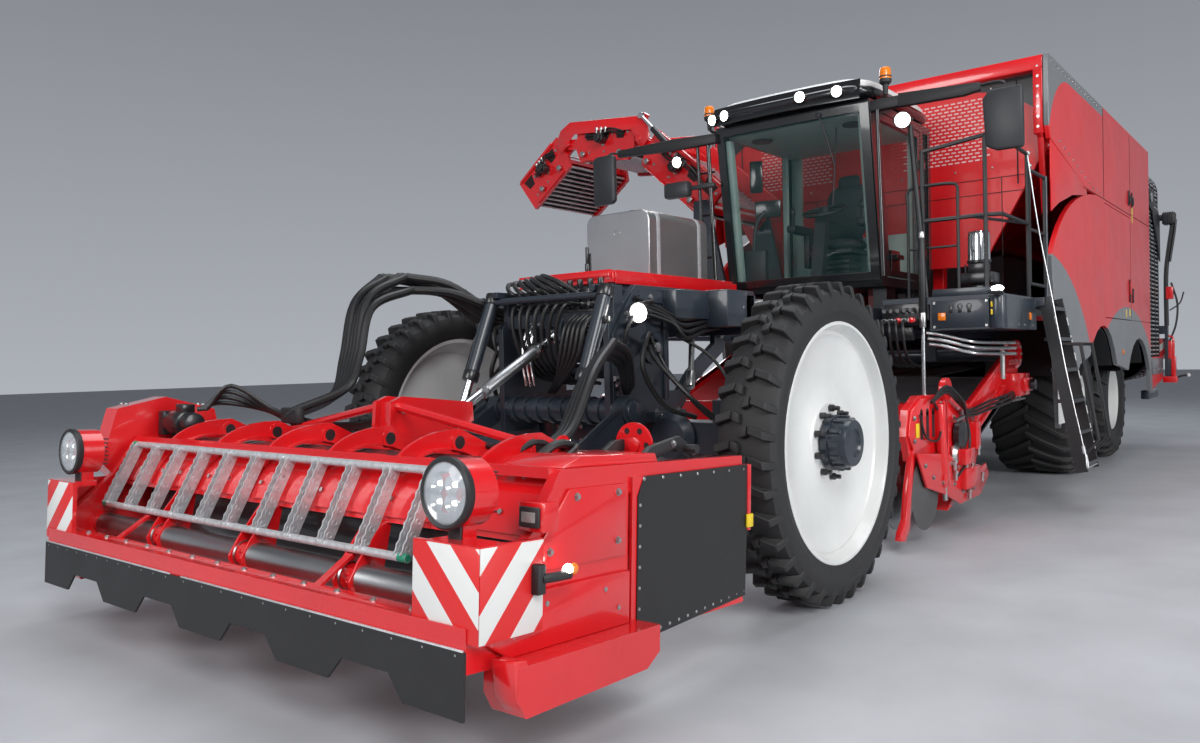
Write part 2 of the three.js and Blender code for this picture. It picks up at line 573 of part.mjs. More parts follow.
// ------------------------------------------------------------------ side panels
const arches = [
  { x: -6520, frontZ: 1290, rearZ: 1180, half: 730, top: 1620 },
  { x: -8760, frontZ: 1100, rearZ: 1070, half: 790, top: 1600 },
];
const ring = { front: -9700, rear: -10700, half: SIDE_Y - 30, bottom: 900, top: 3960, thickness: 60, corner: 380 };
const ringGuard = { rise: 140, top: 1240, thickness: 25, lap: 40 };      // sheet outside the foot of the ring
const serviceDoor = { front: BODY.door - RUNNING_GAP, rear: BODY.doorSplit + RUNNING_GAP, bottom: BODY.lowerSeam + RUNNING_GAP, top: BUNKER.seam - 30 };

const doorPin = { x: serviceDoor.front - 15, y: SIDE_Y - 10 };

function bodyShape() {
  const shape = new THREE.Shape();
  const [a, b] = arches;
  shape.moveTo(-4460, 640);
  shape.lineTo(SWEEP.footX, SWEEP.footZ);
  shape.quadraticCurveTo(-4780, SWEEP.topZ - 60, SWEEP.topX + 300, BUNKER.seam - GAP);
  shape.lineTo(BUNKER.rear, BUNKER.seam - GAP);
  shape.lineTo(BUNKER.rear, BODY.rearBottom);
  shape.lineTo(b.x - b.half - 30, BODY.rearBottom);
  shape.lineTo(b.x - b.half, b.rearZ);
  shape.bezierCurveTo(b.x - 420, b.top + 20, b.x + 420, b.top + 20, b.x + b.half, b.frontZ);
  shape.lineTo(a.x - a.half, a.rearZ);
  shape.bezierCurveTo(a.x - 380, a.top + 120, a.x + 300, a.top + 120, a.x + a.half, a.frontZ);
  shape.lineTo(-5330, 1210);
  return shape;
}

function makeBody(side) {
  const inner = SIDE_Y - BODY.thickness;
  const span = side > 0 ? [inner, SIDE_Y] : [-SIDE_Y, -inner];
  const panel = sidePlate(bodyShape(), span, 8);
  const doorway = box(
    [serviceDoor.rear - RUNNING_GAP, serviceDoor.front + RUNNING_GAP], [side * (inner - 10), side * (SIDE_Y + 10)],
    [serviceDoor.bottom - RUNNING_GAP, serviceDoor.top]);
  const brackets = [-4600, -6050, -9200].map((x) => box(
    [x - 50, x + 50], [side * (RAIL.y + RAIL.width / 2 + GAP), side * (inner + 10)], [RAIL.top - 60, RAIL.top]));
  const guardFront = BUNKER.rear + ringGuard.lap;
  const guard = sidePlate(outline([
    [guardFront, BODY.rearBottom], [ring.rear, BODY.rearBottom + ringGuard.rise], [ring.rear, ringGuard.top],
    [guardFront, ringGuard.top]]),
  side > 0 ? [SIDE_Y - ringGuard.thickness, SIDE_Y] : [-SIDE_Y, -SIDE_Y + ringGuard.thickness]);
  return join(cut(panel, doorway), guard, brackets);
}

function makeServiceDoor(side) {
  const inner = SIDE_Y - BODY.thickness;
  const { front, rear, bottom, top } = serviceDoor;
  return join(
    box([rear, front], [side * inner, side * SIDE_Y], [bottom, top - RUNNING_GAP]),
    box([rear + 70, rear + 110], [side * (SIDE_Y - 5), side * (SIDE_Y + 22)], [2020, 2180]),
    rod([doorPin.x, side * doorPin.y, top - RUNNING_GAP - 5], [doorPin.x, side * doorPin.y, top - GAP], 8, 10),
    rod([doorPin.x, side * doorPin.y, bottom + 5], [doorPin.x, side * doorPin.y, bottom - RUNNING_GAP + GAP], 8, 10));
}

place('body_left', makeBody(1), RED);
place('body_right', makeBody(-1), RED);
place('left_service_door', makeServiceDoor(1), RED);
place('right_service_door', makeServiceDoor(-1), RED);

// ------------------------------------------------------------ engine and conveyors
function makeEngine() {
  return box([-8050, -6800], [-650, 650], [RAIL.top + GAP, 2500]);
}

/** A closed web loop seen from the side, between two roller centres. */
function webLoop([x0, z0], [x1, z1], radius, thickness, [y0, y1]) {
  const angle = Math.atan2(z1 - z0, x1 - x0);
  const ring = (r, target) => {
    target.absarc(x1, z1, r, angle - Math.PI / 2, angle + Math.PI / 2);
    target.absarc(x0, z0, r, angle + Math.PI / 2, angle + Math.PI * 1.5);
    return target;
  };
  const shape = ring(radius, new THREE.Shape());
  shape.holes.push(ring(radius - thickness, new THREE.Path()));
  return sidePlate(shape, [y0, y1], 6);
}

const sieveEnds = [[-9250, 1180], [-4820, 1010]];
function makeSievingWeb() {
  const half = RAIL.y - RAIL.width / 2 - 60;
  const web = webLoop(sieveEnds[0], sieveEnds[1], 120, 30, [-half, half]);
  const hangers = [-9180, -5250].flatMap((x) => bothSides((side) => box(
    [x - 40, x + 40], [side * (half - 30), side * (half + 20)], [1100, RAIL.bottom + 30 - GAP])));
  return join(web, hangers);
}

/** Ring elevator at the rear: a flattened ring of bars that lifts the crop to the bunker. */
function makeRingElevator() {
  const { front, rear, half, bottom, top, thickness, corner } = ring;
  const loop = (inset) => {
    const r = corner - inset;
    const path = new THREE.Shape();
    path.absarc(half - inset - r, top - inset - r, r, 0, Math.PI / 2);
    path.absarc(-half + inset + r, top - inset - r, r, Math.PI / 2, Math.PI);
    path.absarc(-half + inset + r, bottom + inset + r, r, Math.PI, Math.PI * 1.5);
    path.absarc(half - inset - r, bottom + inset + r, r, Math.PI * 1.5, Math.PI * 2);
    return path;
  };
  const hoop = loop(0);
  hoop.holes.push(new THREE.Path(loop(thickness).getPoints(8)));
  return crossPlate(hoop, [rear, front], 8);
}

place('engine_block', makeEngine(), GREY);
place('sieving_web', makeSievingWeb(), STEEL);
place('ring_elevator', makeRingElevator(), RUBBER);

const tail = { front: ring.rear - 50, rear: ring.rear - 150, board: ring.rear - 210, postY: 1290, top: 3300, reach: SIDE_Y + 60 };

/** Frame behind the ring that carries the rear lamps and the tail bumper. */
function makeRearFrame() {
  const { front, rear, board, postY, top, reach } = tail;
  const posts = bothSides((side) => box([rear, front], [side * postY - 40, side * postY + 40], [1100, top]));
  const rails = bothSides((side) => box([rear, RAIL.rear + 40], [side * RAIL.y - 50, side * RAIL.y + 50], [1560, 1680]));
  const guideX = (ring.front + ring.rear) / 2;
  const guides = bothSides((side) => box([guideX - 40, guideX + 40], [side * RAIL.y - 40, side * RAIL.y + 40],
    [ring.bottom + ring.thickness + GAP, ring.top - ring.thickness - GAP]));
  const bumper = box([rear, front], [-reach, reach], [1560, 1680]);
  const lampBoard = box([board, rear], [-reach + 80, reach - 80], [1000, 1130]);
  const lampArms = bothSides((side) => box([rear - 30, front], [side * postY - 40, side * postY + 40], [1050, 1300]));
  const sideArms = bothSides((side) => box([rear, front], [side * (reach - 40), side * reach], [900, 1680]));
  return join(posts, rails, guides, bumper, lampBoard, lampArms, sideArms);
}

// --------------------------------------------------------------- header and lift
function makeLiftArms() {
  const arm = (side) => beam(
    [HITCH.x, side * HITCH.y, HITCH.z], [hitchEnd[0], side * HITCH.y, hitchEnd[1]], 44, 120);
  const boss = (side) => rod([HITCH.x, side * (HITCH.y - 45 + GAP), HITCH.z], [HITCH.x, side * (HITCH.y + 40), HITCH.z], 85, 20);
  const eye = (side) => rod([hitchEnd[0], side * (HITCH.y - 22), hitchEnd[1]], [hitchEnd[0], side * (HITCH.y + 22), hitchEnd[1]], 65, 16);
  const tie = [HITCH.x + HITCH.length * 0.42, HITCH.z - HITCH.drop * 0.42];
  return join(bothSides(arm), bothSides(boss), bothSides(eye), rod([tie[0], -HITCH.y, tie[1]], [tie[0], HITCH.y, tie[1]], 40, 12));
}

/** Direction and length from the cylinder's upper eye to its rod eye. */
const stroke = new THREE.Vector2(cylinderEye[0] - cylinder.topX, cylinderEye[1] - cylinder.topZ);
const alongCylinder = (distance, side) => {
  const t = distance / stroke.length();
  return [cylinder.topX + stroke.x * t, side * cylinder.y, cylinder.topZ + stroke.y * t];
};

function makeLiftBarrels() {
  const { bore, wall, barrel, y } = cylinder;
  const tubes = bothSides((side) => cut(
    rod(alongCylinder(0, side), alongCylinder(barrel, side), bore + wall, 16),
    rod(alongCylinder(40, side), alongCylinder(barrel + 10, side), bore, 16)));
  const shaft = rod([cylinder.topX, -y - 40, cylinder.topZ], [cylinder.topX, y + 40, cylinder.topZ], 22, 12);
  return join(tubes, shaft);
}

function makeLiftRods() {
  const { bore, barrel, y } = cylinder;
  const length = stroke.length();
  const rods = bothSides((side) => rod(alongCylinder(barrel - 60, side), alongCylinder(length - 10, side), bore - BORE_GAP, 16));
  const eyeTie = rod(alongCylinder(length - 30, -1), alongCylinder(length - 30, 1), 20, 12);
  return join(rods, eyeTie);
}

const linkCheek = { frame: 42, mast: 48 };     // inner faces of the cheeks either side of the link

function makeTopLink() {
  const boss = ([x, z], half) => rod([x, -half, z], [x, half, z], 38, 16);
  return join(
    rod([topLinkStart[0], 0, topLinkStart[1]], [topLinkEnd[0], 0, topLinkEnd[1]], 28, 16),
    boss(topLinkStart, linkCheek.frame - GAP),
    boss(topLinkEnd, linkCheek.mast - GAP));
}

place('lift_arms', makeLiftArms(), SLATE);
place('lift_barrels', makeLiftBarrels(), SLATE);
place('lift_rods', makeLiftRods(), STEEL);
place('top_link', makeTopLink(), STEEL);

// The header is drawn level and then tipped up at its front by the pitch.
const header = new THREE.Group();
header.position.set(HEADER.pivotX, 0, 0);
header.rotation.y = THREE.MathUtils.degToRad(-HEADER.pitch);
machine.add(header);
const headerDrawing = new THREE.Group();
headerDrawing.position.set(-HEADER.pivotX, 0, 0);
header.add(headerDrawing);

/** A machine point as it is in the level drawing of the header. */
function level([x, z]) {
  const tip = THREE.MathUtils.degToRad(HEADER.pitch);
  const dx = x - HEADER.pivotX;
  return [HEADER.pivotX + dx * Math.cos(tip) + z * Math.sin(tip), -dx * Math.sin(tip) + z * Math.cos(tip)];
}

const drum = { x: 2090, z: 560, cover: 340, sheet: 25, rotor: 190 };
const feedRoller = { x: 2520, z: 430, radius: 55 };
const endPlate = { inner: 1575, outer: 1620 };
const grating = { left: 1040, right: -1530, front: [2531, 545], rear: [2378, 862], rungs: 11 };

function makeHeaderFrame() {
  const { inner, outer } = endPlate;
  const reach = HEADER.halfWidth - 5;
  const ends = bothSides((side) => {
    const span = side > 0 ? [inner, outer] : [-outer, -inner];
    return sidePlate(outline([
      [2770, 280], [2770, 420], [2470, 700], [2335, 900], [1085, 900], [1085, 830], [1940, 790], [1940, 272], [2470, 272]]), span);
  });
  const frontBeam = box([2670, HEADER.front - GAP], [-reach, reach], [345, 425]);
  const pan = sidePlate(outline([[2690, 345], [2690, 375], [2570, 360], [2570, 330]]), [-inner, inner]);
  const backBeam = box([1710, 1870], [-inner, inner], [760, 915]);
  const rearSheet = box([1720, 1745], [-inner, inner], [330, 780]);
  const skids = bothSides((side) => {
    const span = side > 0 ? [inner + 10, 1740] : [-1740, -inner - 10];
    return sidePlate(outline([[2620, 134], [2660, 200], [2660, 300], [1890, 300], [1890, 200], [1970, 150]]), span);
  });
  const archYs = [-1200, -720, -240, 240, 720, 1200];
  const gussets = archYs.map((y) => {
    const shape = new THREE.Shape();
    shape.moveTo(1730, 900);
    shape.lineTo(1730, 820);
    shape.absarc(drum.x, drum.z, drum.cover + 22, Math.PI * 0.78, Math.PI * 0.33, true);
    shape.lineTo(2345, 890);
    shape.quadraticCurveTo(2230, 1010, 1990, 1010);
    return sidePlate(shape, [y - 8, y + 8], 6);
  });
  const frontBar = box([2310, 2350], [-inner, inner], [865, 905]);
  const ears = bothSides((side) => [HITCH.y - 50, HITCH.y + 50].map((y) => {
    const [x, z] = level(hitchEnd);
    return sidePlate(outline([[1750, 900], [1750, 430], [x - 40, z - 90], [x - 70, z], [x - 20, z + 80]]), [side * y - 10, side * y + 10]);
  })).flat();
  const pins = bothSides((side) => {
    const [x, z] = level(hitchEnd);
    return [rod([x, side * (HITCH.y + 60), z], [x, side * (HITCH.y + 23), z], 30, 12),
      rod([x, side * (HITCH.y - 60), z], [x, side * (HITCH.y - 23), z], 30, 12)];
  }).flat();
  const [mx, mz] = level(topLinkEnd);
  const mast = bothSides((side) => sidePlate(
    outline([[1730, 800], [1870, 800], [1860, 1120], [1790, 1150], [mx - 50, mz + 60], [mx - 60, mz - 40], [1590, 880]]),
    [side * (linkCheek.mast + 12) - 12, side * (linkCheek.mast + 12) + 12]));
  const mastTie = box([1750, 1830], [-70, 70], [930, 1120]);
  const braces = bothSides((side) => rod([1810, side * 60, 1100], [1790, side * 1330, 880], 22, 8));
  const boards = bothSides((side) => join(
    box([2745, 2765], [side * 1350, side * 1665], [372, 681]),
    box([2470, 2765], [side * 1645, side * 1665], [372, 681]),
    box([2490, 2590], [side * 1600, side * 1650], [420, 520])));
  const lamps = bothSides((side) => join(
    rod([2610, side * 1475, 835], [2730, side * 1475, 835], 115, 20),
    box([2630, 2690], [side * 1440, side * 1510], [670, 740]),
    box([2630, 2765], [side * 1400, side * 1660], [655, 681])));
  const rollerEars = [-inner, inner].map((y) => box([2480, 2560], [y - 12, y + 12], [330, 520]));
  const steps = [-1000, 700].map((y) => beam([2690, y, 420], [grating.front[0] + 8, y, grating.front[1] - 17 - GAP - 6], 40, 12));
  const railLugs = [-1000, 700].map((y) => box([2345, grating.rear[0] - 17 - GAP], [y - 20, y + 20], [852, 872]));
  const driveCover = sidePlate(outline([[1780, 700], [1880, 1060], [2180, 1130], [2450, 1060], [2530, 760], [2330, 560], [1930, 560]]), [-1735, -inner - 20]);
  return join(ends, frontBeam, pan, backBeam, rearSheet, skids, gussets, frontBar, ears, pins, mast, mastTie, braces,
    boards, lamps, rollerEars, steps, railLugs, driveCover, makeDrumCover(), makeFeedRoller(), bothSides(makeSideFlap));
}

function makeDrumCover() {
  const shape = new THREE.Shape();
  const { x, z, cover, sheet } = drum;
  shape.absarc(x, z, cover, Math.PI * 0.08, Math.PI * 0.93);
  shape.absarc(x, z, cover - sheet, Math.PI * 0.93, Math.PI * 0.08, true);
  return sidePlate(shape, [-endPlate.inner, endPlate.inner], 10);
}

function makeRotor() {
  const half = endPlate.inner - GAP;
  const drumHalf = half - 40;
  return turned([[0, -half], [45, -half], [45, -drumHalf], [drum.rotor, -drumHalf], [drum.rotor, drumHalf], [45, drumHalf], [45, half], [0, half]], 20)
    .translate([drum.x, 0, drum.z]);
}

function makeFeedRoller() {
  const half = endPlate.inner;
  return rod([feedRoller.x, -half, feedRoller.z], [feedRoller.x, half, feedRoller.z], feedRoller.radius, 20);
}

function makeGrating() {
  const { left, right, front, rear, rungs } = grating;
  const [fx, fz] = front;
  const [rx, rz] = rear;
  const rails = [rod([fx, right, fz], [fx, left, fz], 17, 8), rod([rx, right, rz], [rx, left, rz], 17, 8)];
  const bars = Array.from({ length: rungs }, (_, i) => {
    const y = right + 40 + ((left - right - 80) * i) / (rungs - 1);
    return beam([fx, y, fz], [rx, y, rz], 55, 14);
  });
  return join(rails, bars);
}

/** Rubber flap along the front, notched over each ridge. */
function makeFlap() {
  const half = HEADER.halfWidth;
  const [bottom, top] = [138, 353];
  const notchDepth = 85;
  const sheet = crossPlate(outline([[-half, bottom], [half, bottom], [half, top], [-half, top]]), [HEADER.front, HEADER.front + 12]);
  const notches = Array.from({ length: ROWS }, (_, i) => {
    const y = (i - (ROWS - 1) / 2) * ROW_PITCH;
    return crossPlate(outline([[y - 210, bottom - 10], [y + 210, bottom - 10], [y + 130, bottom + notchDepth], [y - 130, bottom + notchDepth]]),
      [HEADER.front - 5, HEADER.front + 20]);
  });
  return cut(sheet, notches);
}

function makeSideFlap(side) {
  const [y0, y1] = [endPlate.outer - 2, endPlate.outer + 12];
  const shape = outline([[1085, 240], [1930, 240], [1930, 850], [1085, 850]]);
  return sidePlate(shape, side > 0 ? [y0, y1] : [-y1, -y0]);
}

place('header_frame', makeHeaderFrame(), RED, headerDrawing);
place('topper_rotor', makeRotor(), BLACK, headerDrawing);
place('header_step', makeGrating(), STEEL, headerDrawing);
place('header_flap', makeFlap(), RUBBER, headerDrawing);

// ----------------------------------------------------------------- digging unit
function makeDiggerFrame() {
  const { pivotX, pivotZ, tube, plateY, plateThickness } = DIGGER;
  const plates = bothSides((side) => {
    const inner = side * (plateY - plateThickness);
    return join(
      sidePlate(outline([
        [-1520, 780], [-1560, 960], [-1760, 1050], [-2500, 1040], [-3000, 900], [-3050, 520], [-2900, 260], [-2650, 200],
        [-2500, 420], [-2150, 620], [-1600, 600]]), side > 0 ? [inner, inner + plateThickness] : [inner - plateThickness, inner]),
      beam([pivotX, side * (plateY - 25), pivotZ], [-2850, side * (plateY - 25), 760], 60, 240),
      rod([pivotX, side * (plateY + 10), pivotZ], [pivotX, side * (plateY - 90), pivotZ], 120, 20));
  });
  const pivotTube = rod([pivotX, -plateY, pivotZ], [pivotX, plateY, pivotZ], tube, 20);
  const frontTube = box([-2330, -2190], [-plateY + 25, plateY - 25], [830, 970]);
  const rearTube = box([-3080, -2980], [-plateY + 25, plateY - 25], [720, 820]);
  const rollerArms = bothSides((side) => box(
    [ROLLER.x - 60, ROLLER.x + 60], [side * (plateY - plateThickness), side * (plateY - plateThickness + 40)], [ROLLER.z - 70, 700]));
  return join(plates, pivotTube, frontTube, rearTube, rollerArms, makeShare());
}

function makeShare() {
  const half = DIGGER.plateY - 10;
  return sidePlate(outline([[-2380, 150], [-2480, 220], [-2760, 330], [-2760, 290], [-2480, 170]]), [-half, half]);
}

/** Ridge rollers on one shaft, with a disc either side of each row. */
function makeRidgeRollers() {
  const half = DIGGER.plateY - DIGGER.plateThickness - GAP;
  const profile = [[0, -half], [45, -half]];
  const discs = Array.from({ length: ROWS + 1 }, (_, i) => {
    const y = (i - ROWS / 2) * ROW_PITCH * 0.85;
    return [[60, y - 60], [ROLLER.radius, y - 8], [ROLLER.radius, y + 8], [60, y + 60]];
  }).flat();
  profile.push(...discs, [45, half], [0, half]);
  return turned(profile, 18).translate([ROLLER.x, 0, ROLLER.z]);
}

const diggerWebEnds = [[-4480, 1010], [-2880, 440]];
function makeDiggerWeb() {
  const half = DIGGER.plateY - DIGGER.plateThickness - 90;
  const web = webLoop(diggerWebEnds[0], diggerWebEnds[1], 110, 30, [-half, half]);
  const shafts = diggerWebEnds.map(([x, z]) => rod([x, -half - 90 + GAP, z], [x, half + 90 - GAP, z], 82, 12));
  return join(web, shafts);
}

place('digger_frame', makeDiggerFrame(), RED);
place('ridge_rollers', makeRidgeRollers(), STEEL);
place('digger_web', makeDiggerWeb(), STEEL);

// ------------------------------------------------------------ unloading elevator
/** A frame of reference along one stretch of the elevator, seen from the front (Y and Z). */
function stretch(from, to) {
  const along = new THREE.Vector2(to[0] - from[0], to[1] - from[1]);
  const unit = along.clone().normalize();
  const up = new THREE.Vector2(-unit.y, unit.x).multiplyScalar(unit.x < 0 ? -1 : 1);
  return {
    length: along.length(),
    at: (s, n) => [from[0] + unit.x * s + up.x * n, from[1] + unit.y * s + up.y * n],
  };
}

const [rootPoint, lowerKnee, upperKnee, tipPoint] = ELEVATOR_PATH;
const elevatorSections = {
  base: stretch(rootPoint, lowerKnee),
  middle: stretch(lowerKnee, upperKnee),
  tip: stretch(upperKnee, tipPoint),
};
const knee = { start: 75, end: 120, bevel: 70, lug: 55, tube: 42, lugWall: 30 };

/** One trough: two side plates and the floor between them; bevelled where it folds. */
function makeTrough({ length, at }, { foldsAtStart, foldsAtEnd }) {
  const { front, rear, depth, wall } = ELEVATOR;
  const half = depth / 2;
  const a = foldsAtStart ? knee.start : 0;
  const b = foldsAtEnd ? length - knee.end : length;
  const startBevel = foldsAtStart ? knee.bevel : 0;
  const endBevel = foldsAtEnd ? knee.bevel : 0;
  const side = outline([at(a + startBevel, -half), at(b - endBevel, -half), at(b, -half / 3), at(b, half), at(a, half), at(a, -half / 3)]);
  const floor = outline([at(a + startBevel, -half * 0.56), at(b - endBevel, -half * 0.56), at(b - endBevel, -half * 0.24), at(a + startBevel, -half * 0.24)]);
  return join(
    crossPlate(side, [front - wall, front]),
    crossPlate(side, [rear, rear + wall]),
    crossPlate(floor, [rear + wall - 5, front - wall + 5]));
}

/** Lugs that reach from the end of a section to the knee, in the plane of its side plates. */
function kneeLugs({ length, at }) {
  const { front, rear, wall } = ELEVATOR;
  const shape = outline([at(length - knee.end - 20, -knee.lug), at(length + 30, -knee.lug), at(length + 50, 0), at(length + 30, knee.lug), at(length - knee.end - 20, knee.lug)]);
  return [crossPlate(shape, [front - wall, front]), crossPlate(shape, [rear, rear + wall])];
}

/** The tube at the start of a section, between the lugs of the section before, and the lugs that hold it. */
function kneeTube({ at }) {
  const { front, rear, wall } = ELEVATOR;
  const inner = [rear + wall + GAP, front - wall - GAP];
  const shape = outline([at(-30, -knee.lug), at(knee.start + knee.bevel + 40, -knee.lug), at(knee.start + knee.bevel + 40, knee.lug), at(-30, knee.lug)]);
  const bars = [[inner[0], inner[0] + knee.lugWall], [inner[1] - knee.lugWall, inner[1]]];
  const fixings = [[rear + wall - 5, inner[0] + 5], [inner[1] - 5, front - wall + 5]].map((span) =>
    crossPlate(outline([at(knee.start + 5, -knee.lug), at(knee.start + knee.bevel + 40, -knee.lug), at(knee.start + knee.bevel + 40, knee.lug), at(knee.start + 5, knee.lug)]), span));
  return [rod([inner[0], ...at(0, 0)], [inner[1], ...at(0, 0)], knee.tube, 16), bars.map((span) => crossPlate(shape, span)), fixings].flat();
}

const elevatorPivot = elevatorSections.base.at(90, -80);
const foldCylinder = { x: ELEVATOR.front + 48, bore: 20, wall: 14, barrel: 320, inside: 80 };
const foldBarrelEye = elevatorSections.base.at(elevatorSections.base.length - 420, 150);
const foldRodEye = elevatorSections.middle.at(-30, 230);

function makeElevatorBase() {
  const { front, rear } = ELEVATOR;
  return join(
    makeTrough(elevatorSections.base, { foldsAtStart: false, foldsAtEnd: true }), kneeLugs(elevatorSections.base),
    rod([rear - 35 + GAP, ...elevatorPivot], [front + 35 - GAP, ...elevatorPivot], 60, 16));
}

function makeElevatorMiddle() {
  const { front, wall } = ELEVATOR;
  const { at } = elevatorSections.middle;
  const horn = crossPlate(outline([at(knee.start, 120), at(-40, 195), at(-75, 245), at(-20, 275), at(190, 190), at(150, 120)]), [front - wall, front]);
  return join(
    makeTrough(elevatorSections.middle, { foldsAtStart: true, foldsAtEnd: true }),
    kneeTube(elevatorSections.middle), kneeLugs(elevatorSections.middle), horn);
}

function makeElevatorTip() {
  return join(makeTrough(elevatorSections.tip, { foldsAtStart: true, foldsAtEnd: false }), kneeTube(elevatorSections.tip));
}

const foldStroke = new THREE.Vector2(foldRodEye[0] - foldBarrelEye[0], foldRodEye[1] - foldBarrelEye[1]);
const alongFold = (distance) => {
  const t = distance / foldStroke.length();
  return [foldCylinder.x, foldBarrelEye[0] + foldStroke.x * t, foldBarrelEye[1] + foldStroke.y * t];
};

function makeFoldBarrel() {
  const { x, bore, wall, barrel } = foldCylinder;
  const tube = cut(rod(alongFold(0), alongFold(barrel), bore + wall, 14), rod(alongFold(40), alongFold(barrel + 10), bore, 14));
  return join(tube, rod([ELEVATOR.front + GAP, ...foldBarrelEye], [x + bore + wall, ...foldBarrelEye], 40, 14));
}

function makeFoldRod() {
  const { x, bore, barrel, inside } = foldCylinder;
  const length = foldStroke.length();
  return join(
    rod(alongFold(barrel - inside), alongFold(length), bore - BORE_GAP, 14),
    rod([x - bore, ...foldRodEye], [x + bore, ...foldRodEye], 32, 14));
}

place('elevator_base', makeElevatorBase(), RED);
place('elevator_middle', makeElevatorMiddle(), RED);
place('elevator_tip', makeElevatorTip(), RED);
place('elevator_barrel', makeFoldBarrel(), SLATE);
place('elevator_rod', makeFoldRod(), STEEL);

/** Bracket on the right rail that carries the elevator's lower pivot. */
function makeElevatorBracket() {
  const [y, z] = elevatorPivot;
  const { front, rear } = ELEVATOR;
  const cheek = (x) => crossPlate(outline([
    [y - 110, RAIL.top - 200], [-RAIL.y, RAIL.top - 200], [-RAIL.y, RAIL.top],
    [-CAB.halfWidth - 60, RAIL.top + 20], [y + 90, z + 40], [y - 70, z + 40]]),
  [x, x + 40]);
  return join(cheek(rear - 75), cheek(front + 35),
    box([rear - 75, front + 75], [y - 100, y + 20], [RAIL.top - 190, RAIL.top - 60]));
}

place('main_frame', makeMainFrame(), SLATE);
place('front_frame', makeFrontFrame(), SLATE);
place('deck', cut(join(makeDeck(), makeDeckBox()), ...railSpace()), RED);
place('elevator_bracket', cut(makeElevatorBracket(), ...railSpace()), SLATE);
place('rear_frame', cut(makeRearFrame(), ...railSpace()), SLATE);

/** A point of the level header drawing as it lies on the machine. */
function pitched([x, z]) {
  const tip = THREE.MathUtils.degToRad(HEADER.pitch);
  const dx = x - HEADER.pivotX;
  return [HEADER.pivotX + dx * Math.cos(tip) - z * Math.sin(tip), dx * Math.sin(tip) + z * Math.cos(tip)];
}

/** Hinge points of the moving pieces, before the origin is moved. */
export const pivots = {
  kingpin: [0, KINGPIN_Y, frontAxle.z],
  front_wheel: [0, FRONT_TRACK / 2, FRONT_TYRE.radius],
  rear_wheels: REAR_AXLES_X.map((x) => [x, REAR_TRACK / 2, REAR_TYRE.radius]),
  lift_arms: [HITCH.x, 0, HITCH.z],
  header: [hitchEnd[0], 0, hitchEnd[1]],
  top_link: [topLinkStart[0], 0, topLinkStart[1]],
  lift_barrels: [cylinder.topX, 0, cylinder.topZ],
  lift_rod_eye: [cylinderEye[0], 0, cylinderEye[1]],
  rotor: [pitched([drum.x, drum.z])[0], 0, pitched([drum.x, drum.z])[1]],
  digger: [DIGGER.pivotX, 0, DIGGER.pivotZ],
  ridge_rollers: [ROLLER.x, 0, ROLLER.z],
  cab_door: [doorBack(), hingeY, CAB.sill],
  gate: [gateHinge.x, gateHinge.y, PLATFORM.top],
  ladder: [LADDER.front, ladderPivot.y, ladderPivot.z],
  service_door: [doorPin.x, doorPin.y, serviceDoor.bottom],
  elevator_base: [ELEVATOR.front, ...elevatorPivot],
  elevator_middle: [ELEVATOR.front, ...lowerKnee],
  elevator_tip: [ELEVATOR.front, ...upperKnee],
  fold_barrel: [foldCylinder.x, ...foldBarrelEye],
  fold_rod_eye: [foldCylinder.x, ...foldRodEye],
};

// ------------------------------------------------------------------ place origin
const bounds = new THREE.Box3().setFromObject(machine);
const middle = bounds.getCenter(new THREE.Vector3());
machine.position.set(-middle.x, -middle.y, -bounds.min.z);

export default machine;
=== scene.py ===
"""Looks of a self-propelled potato harvester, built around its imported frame.

Every place below is in the machine's own frame: X forward, Y to the left and Z up, in metres,
from the ground under the middle of the front axle. Workpiece moves it into the row's frame.
"""
import json
import logging
import math
import random
from collections.abc import Callable, Iterable, Sequence
from dataclasses import dataclass, field
from enum import Enum

import bmesh
import bpy
from mathutils import Matrix, Vector

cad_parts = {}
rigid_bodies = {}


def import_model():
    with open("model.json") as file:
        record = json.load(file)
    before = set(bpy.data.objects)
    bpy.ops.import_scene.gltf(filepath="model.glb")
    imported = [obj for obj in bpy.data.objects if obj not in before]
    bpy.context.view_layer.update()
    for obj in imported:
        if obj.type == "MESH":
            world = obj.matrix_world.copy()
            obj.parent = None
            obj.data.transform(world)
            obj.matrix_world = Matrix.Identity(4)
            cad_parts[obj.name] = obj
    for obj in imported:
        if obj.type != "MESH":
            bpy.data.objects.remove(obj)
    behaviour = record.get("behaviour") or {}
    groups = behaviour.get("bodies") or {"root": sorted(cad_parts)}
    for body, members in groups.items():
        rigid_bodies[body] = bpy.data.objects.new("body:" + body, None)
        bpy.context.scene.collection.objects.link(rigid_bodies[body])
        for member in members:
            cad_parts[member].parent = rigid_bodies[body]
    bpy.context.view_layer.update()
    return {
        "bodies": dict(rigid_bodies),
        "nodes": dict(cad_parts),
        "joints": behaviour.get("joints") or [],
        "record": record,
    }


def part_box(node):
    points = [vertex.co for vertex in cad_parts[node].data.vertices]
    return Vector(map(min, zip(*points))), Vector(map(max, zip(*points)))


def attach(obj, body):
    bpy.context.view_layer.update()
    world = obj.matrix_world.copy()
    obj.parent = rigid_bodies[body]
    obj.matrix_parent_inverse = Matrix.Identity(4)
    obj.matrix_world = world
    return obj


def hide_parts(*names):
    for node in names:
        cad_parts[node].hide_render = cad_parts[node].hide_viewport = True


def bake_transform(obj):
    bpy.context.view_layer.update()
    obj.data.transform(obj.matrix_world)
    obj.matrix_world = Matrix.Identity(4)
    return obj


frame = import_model()
log = logging.getLogger("harvester")

Colour = tuple[float, float, float]
Point = tuple[float, float, float]
Flat = tuple[float, float]
Span = tuple[float, float]

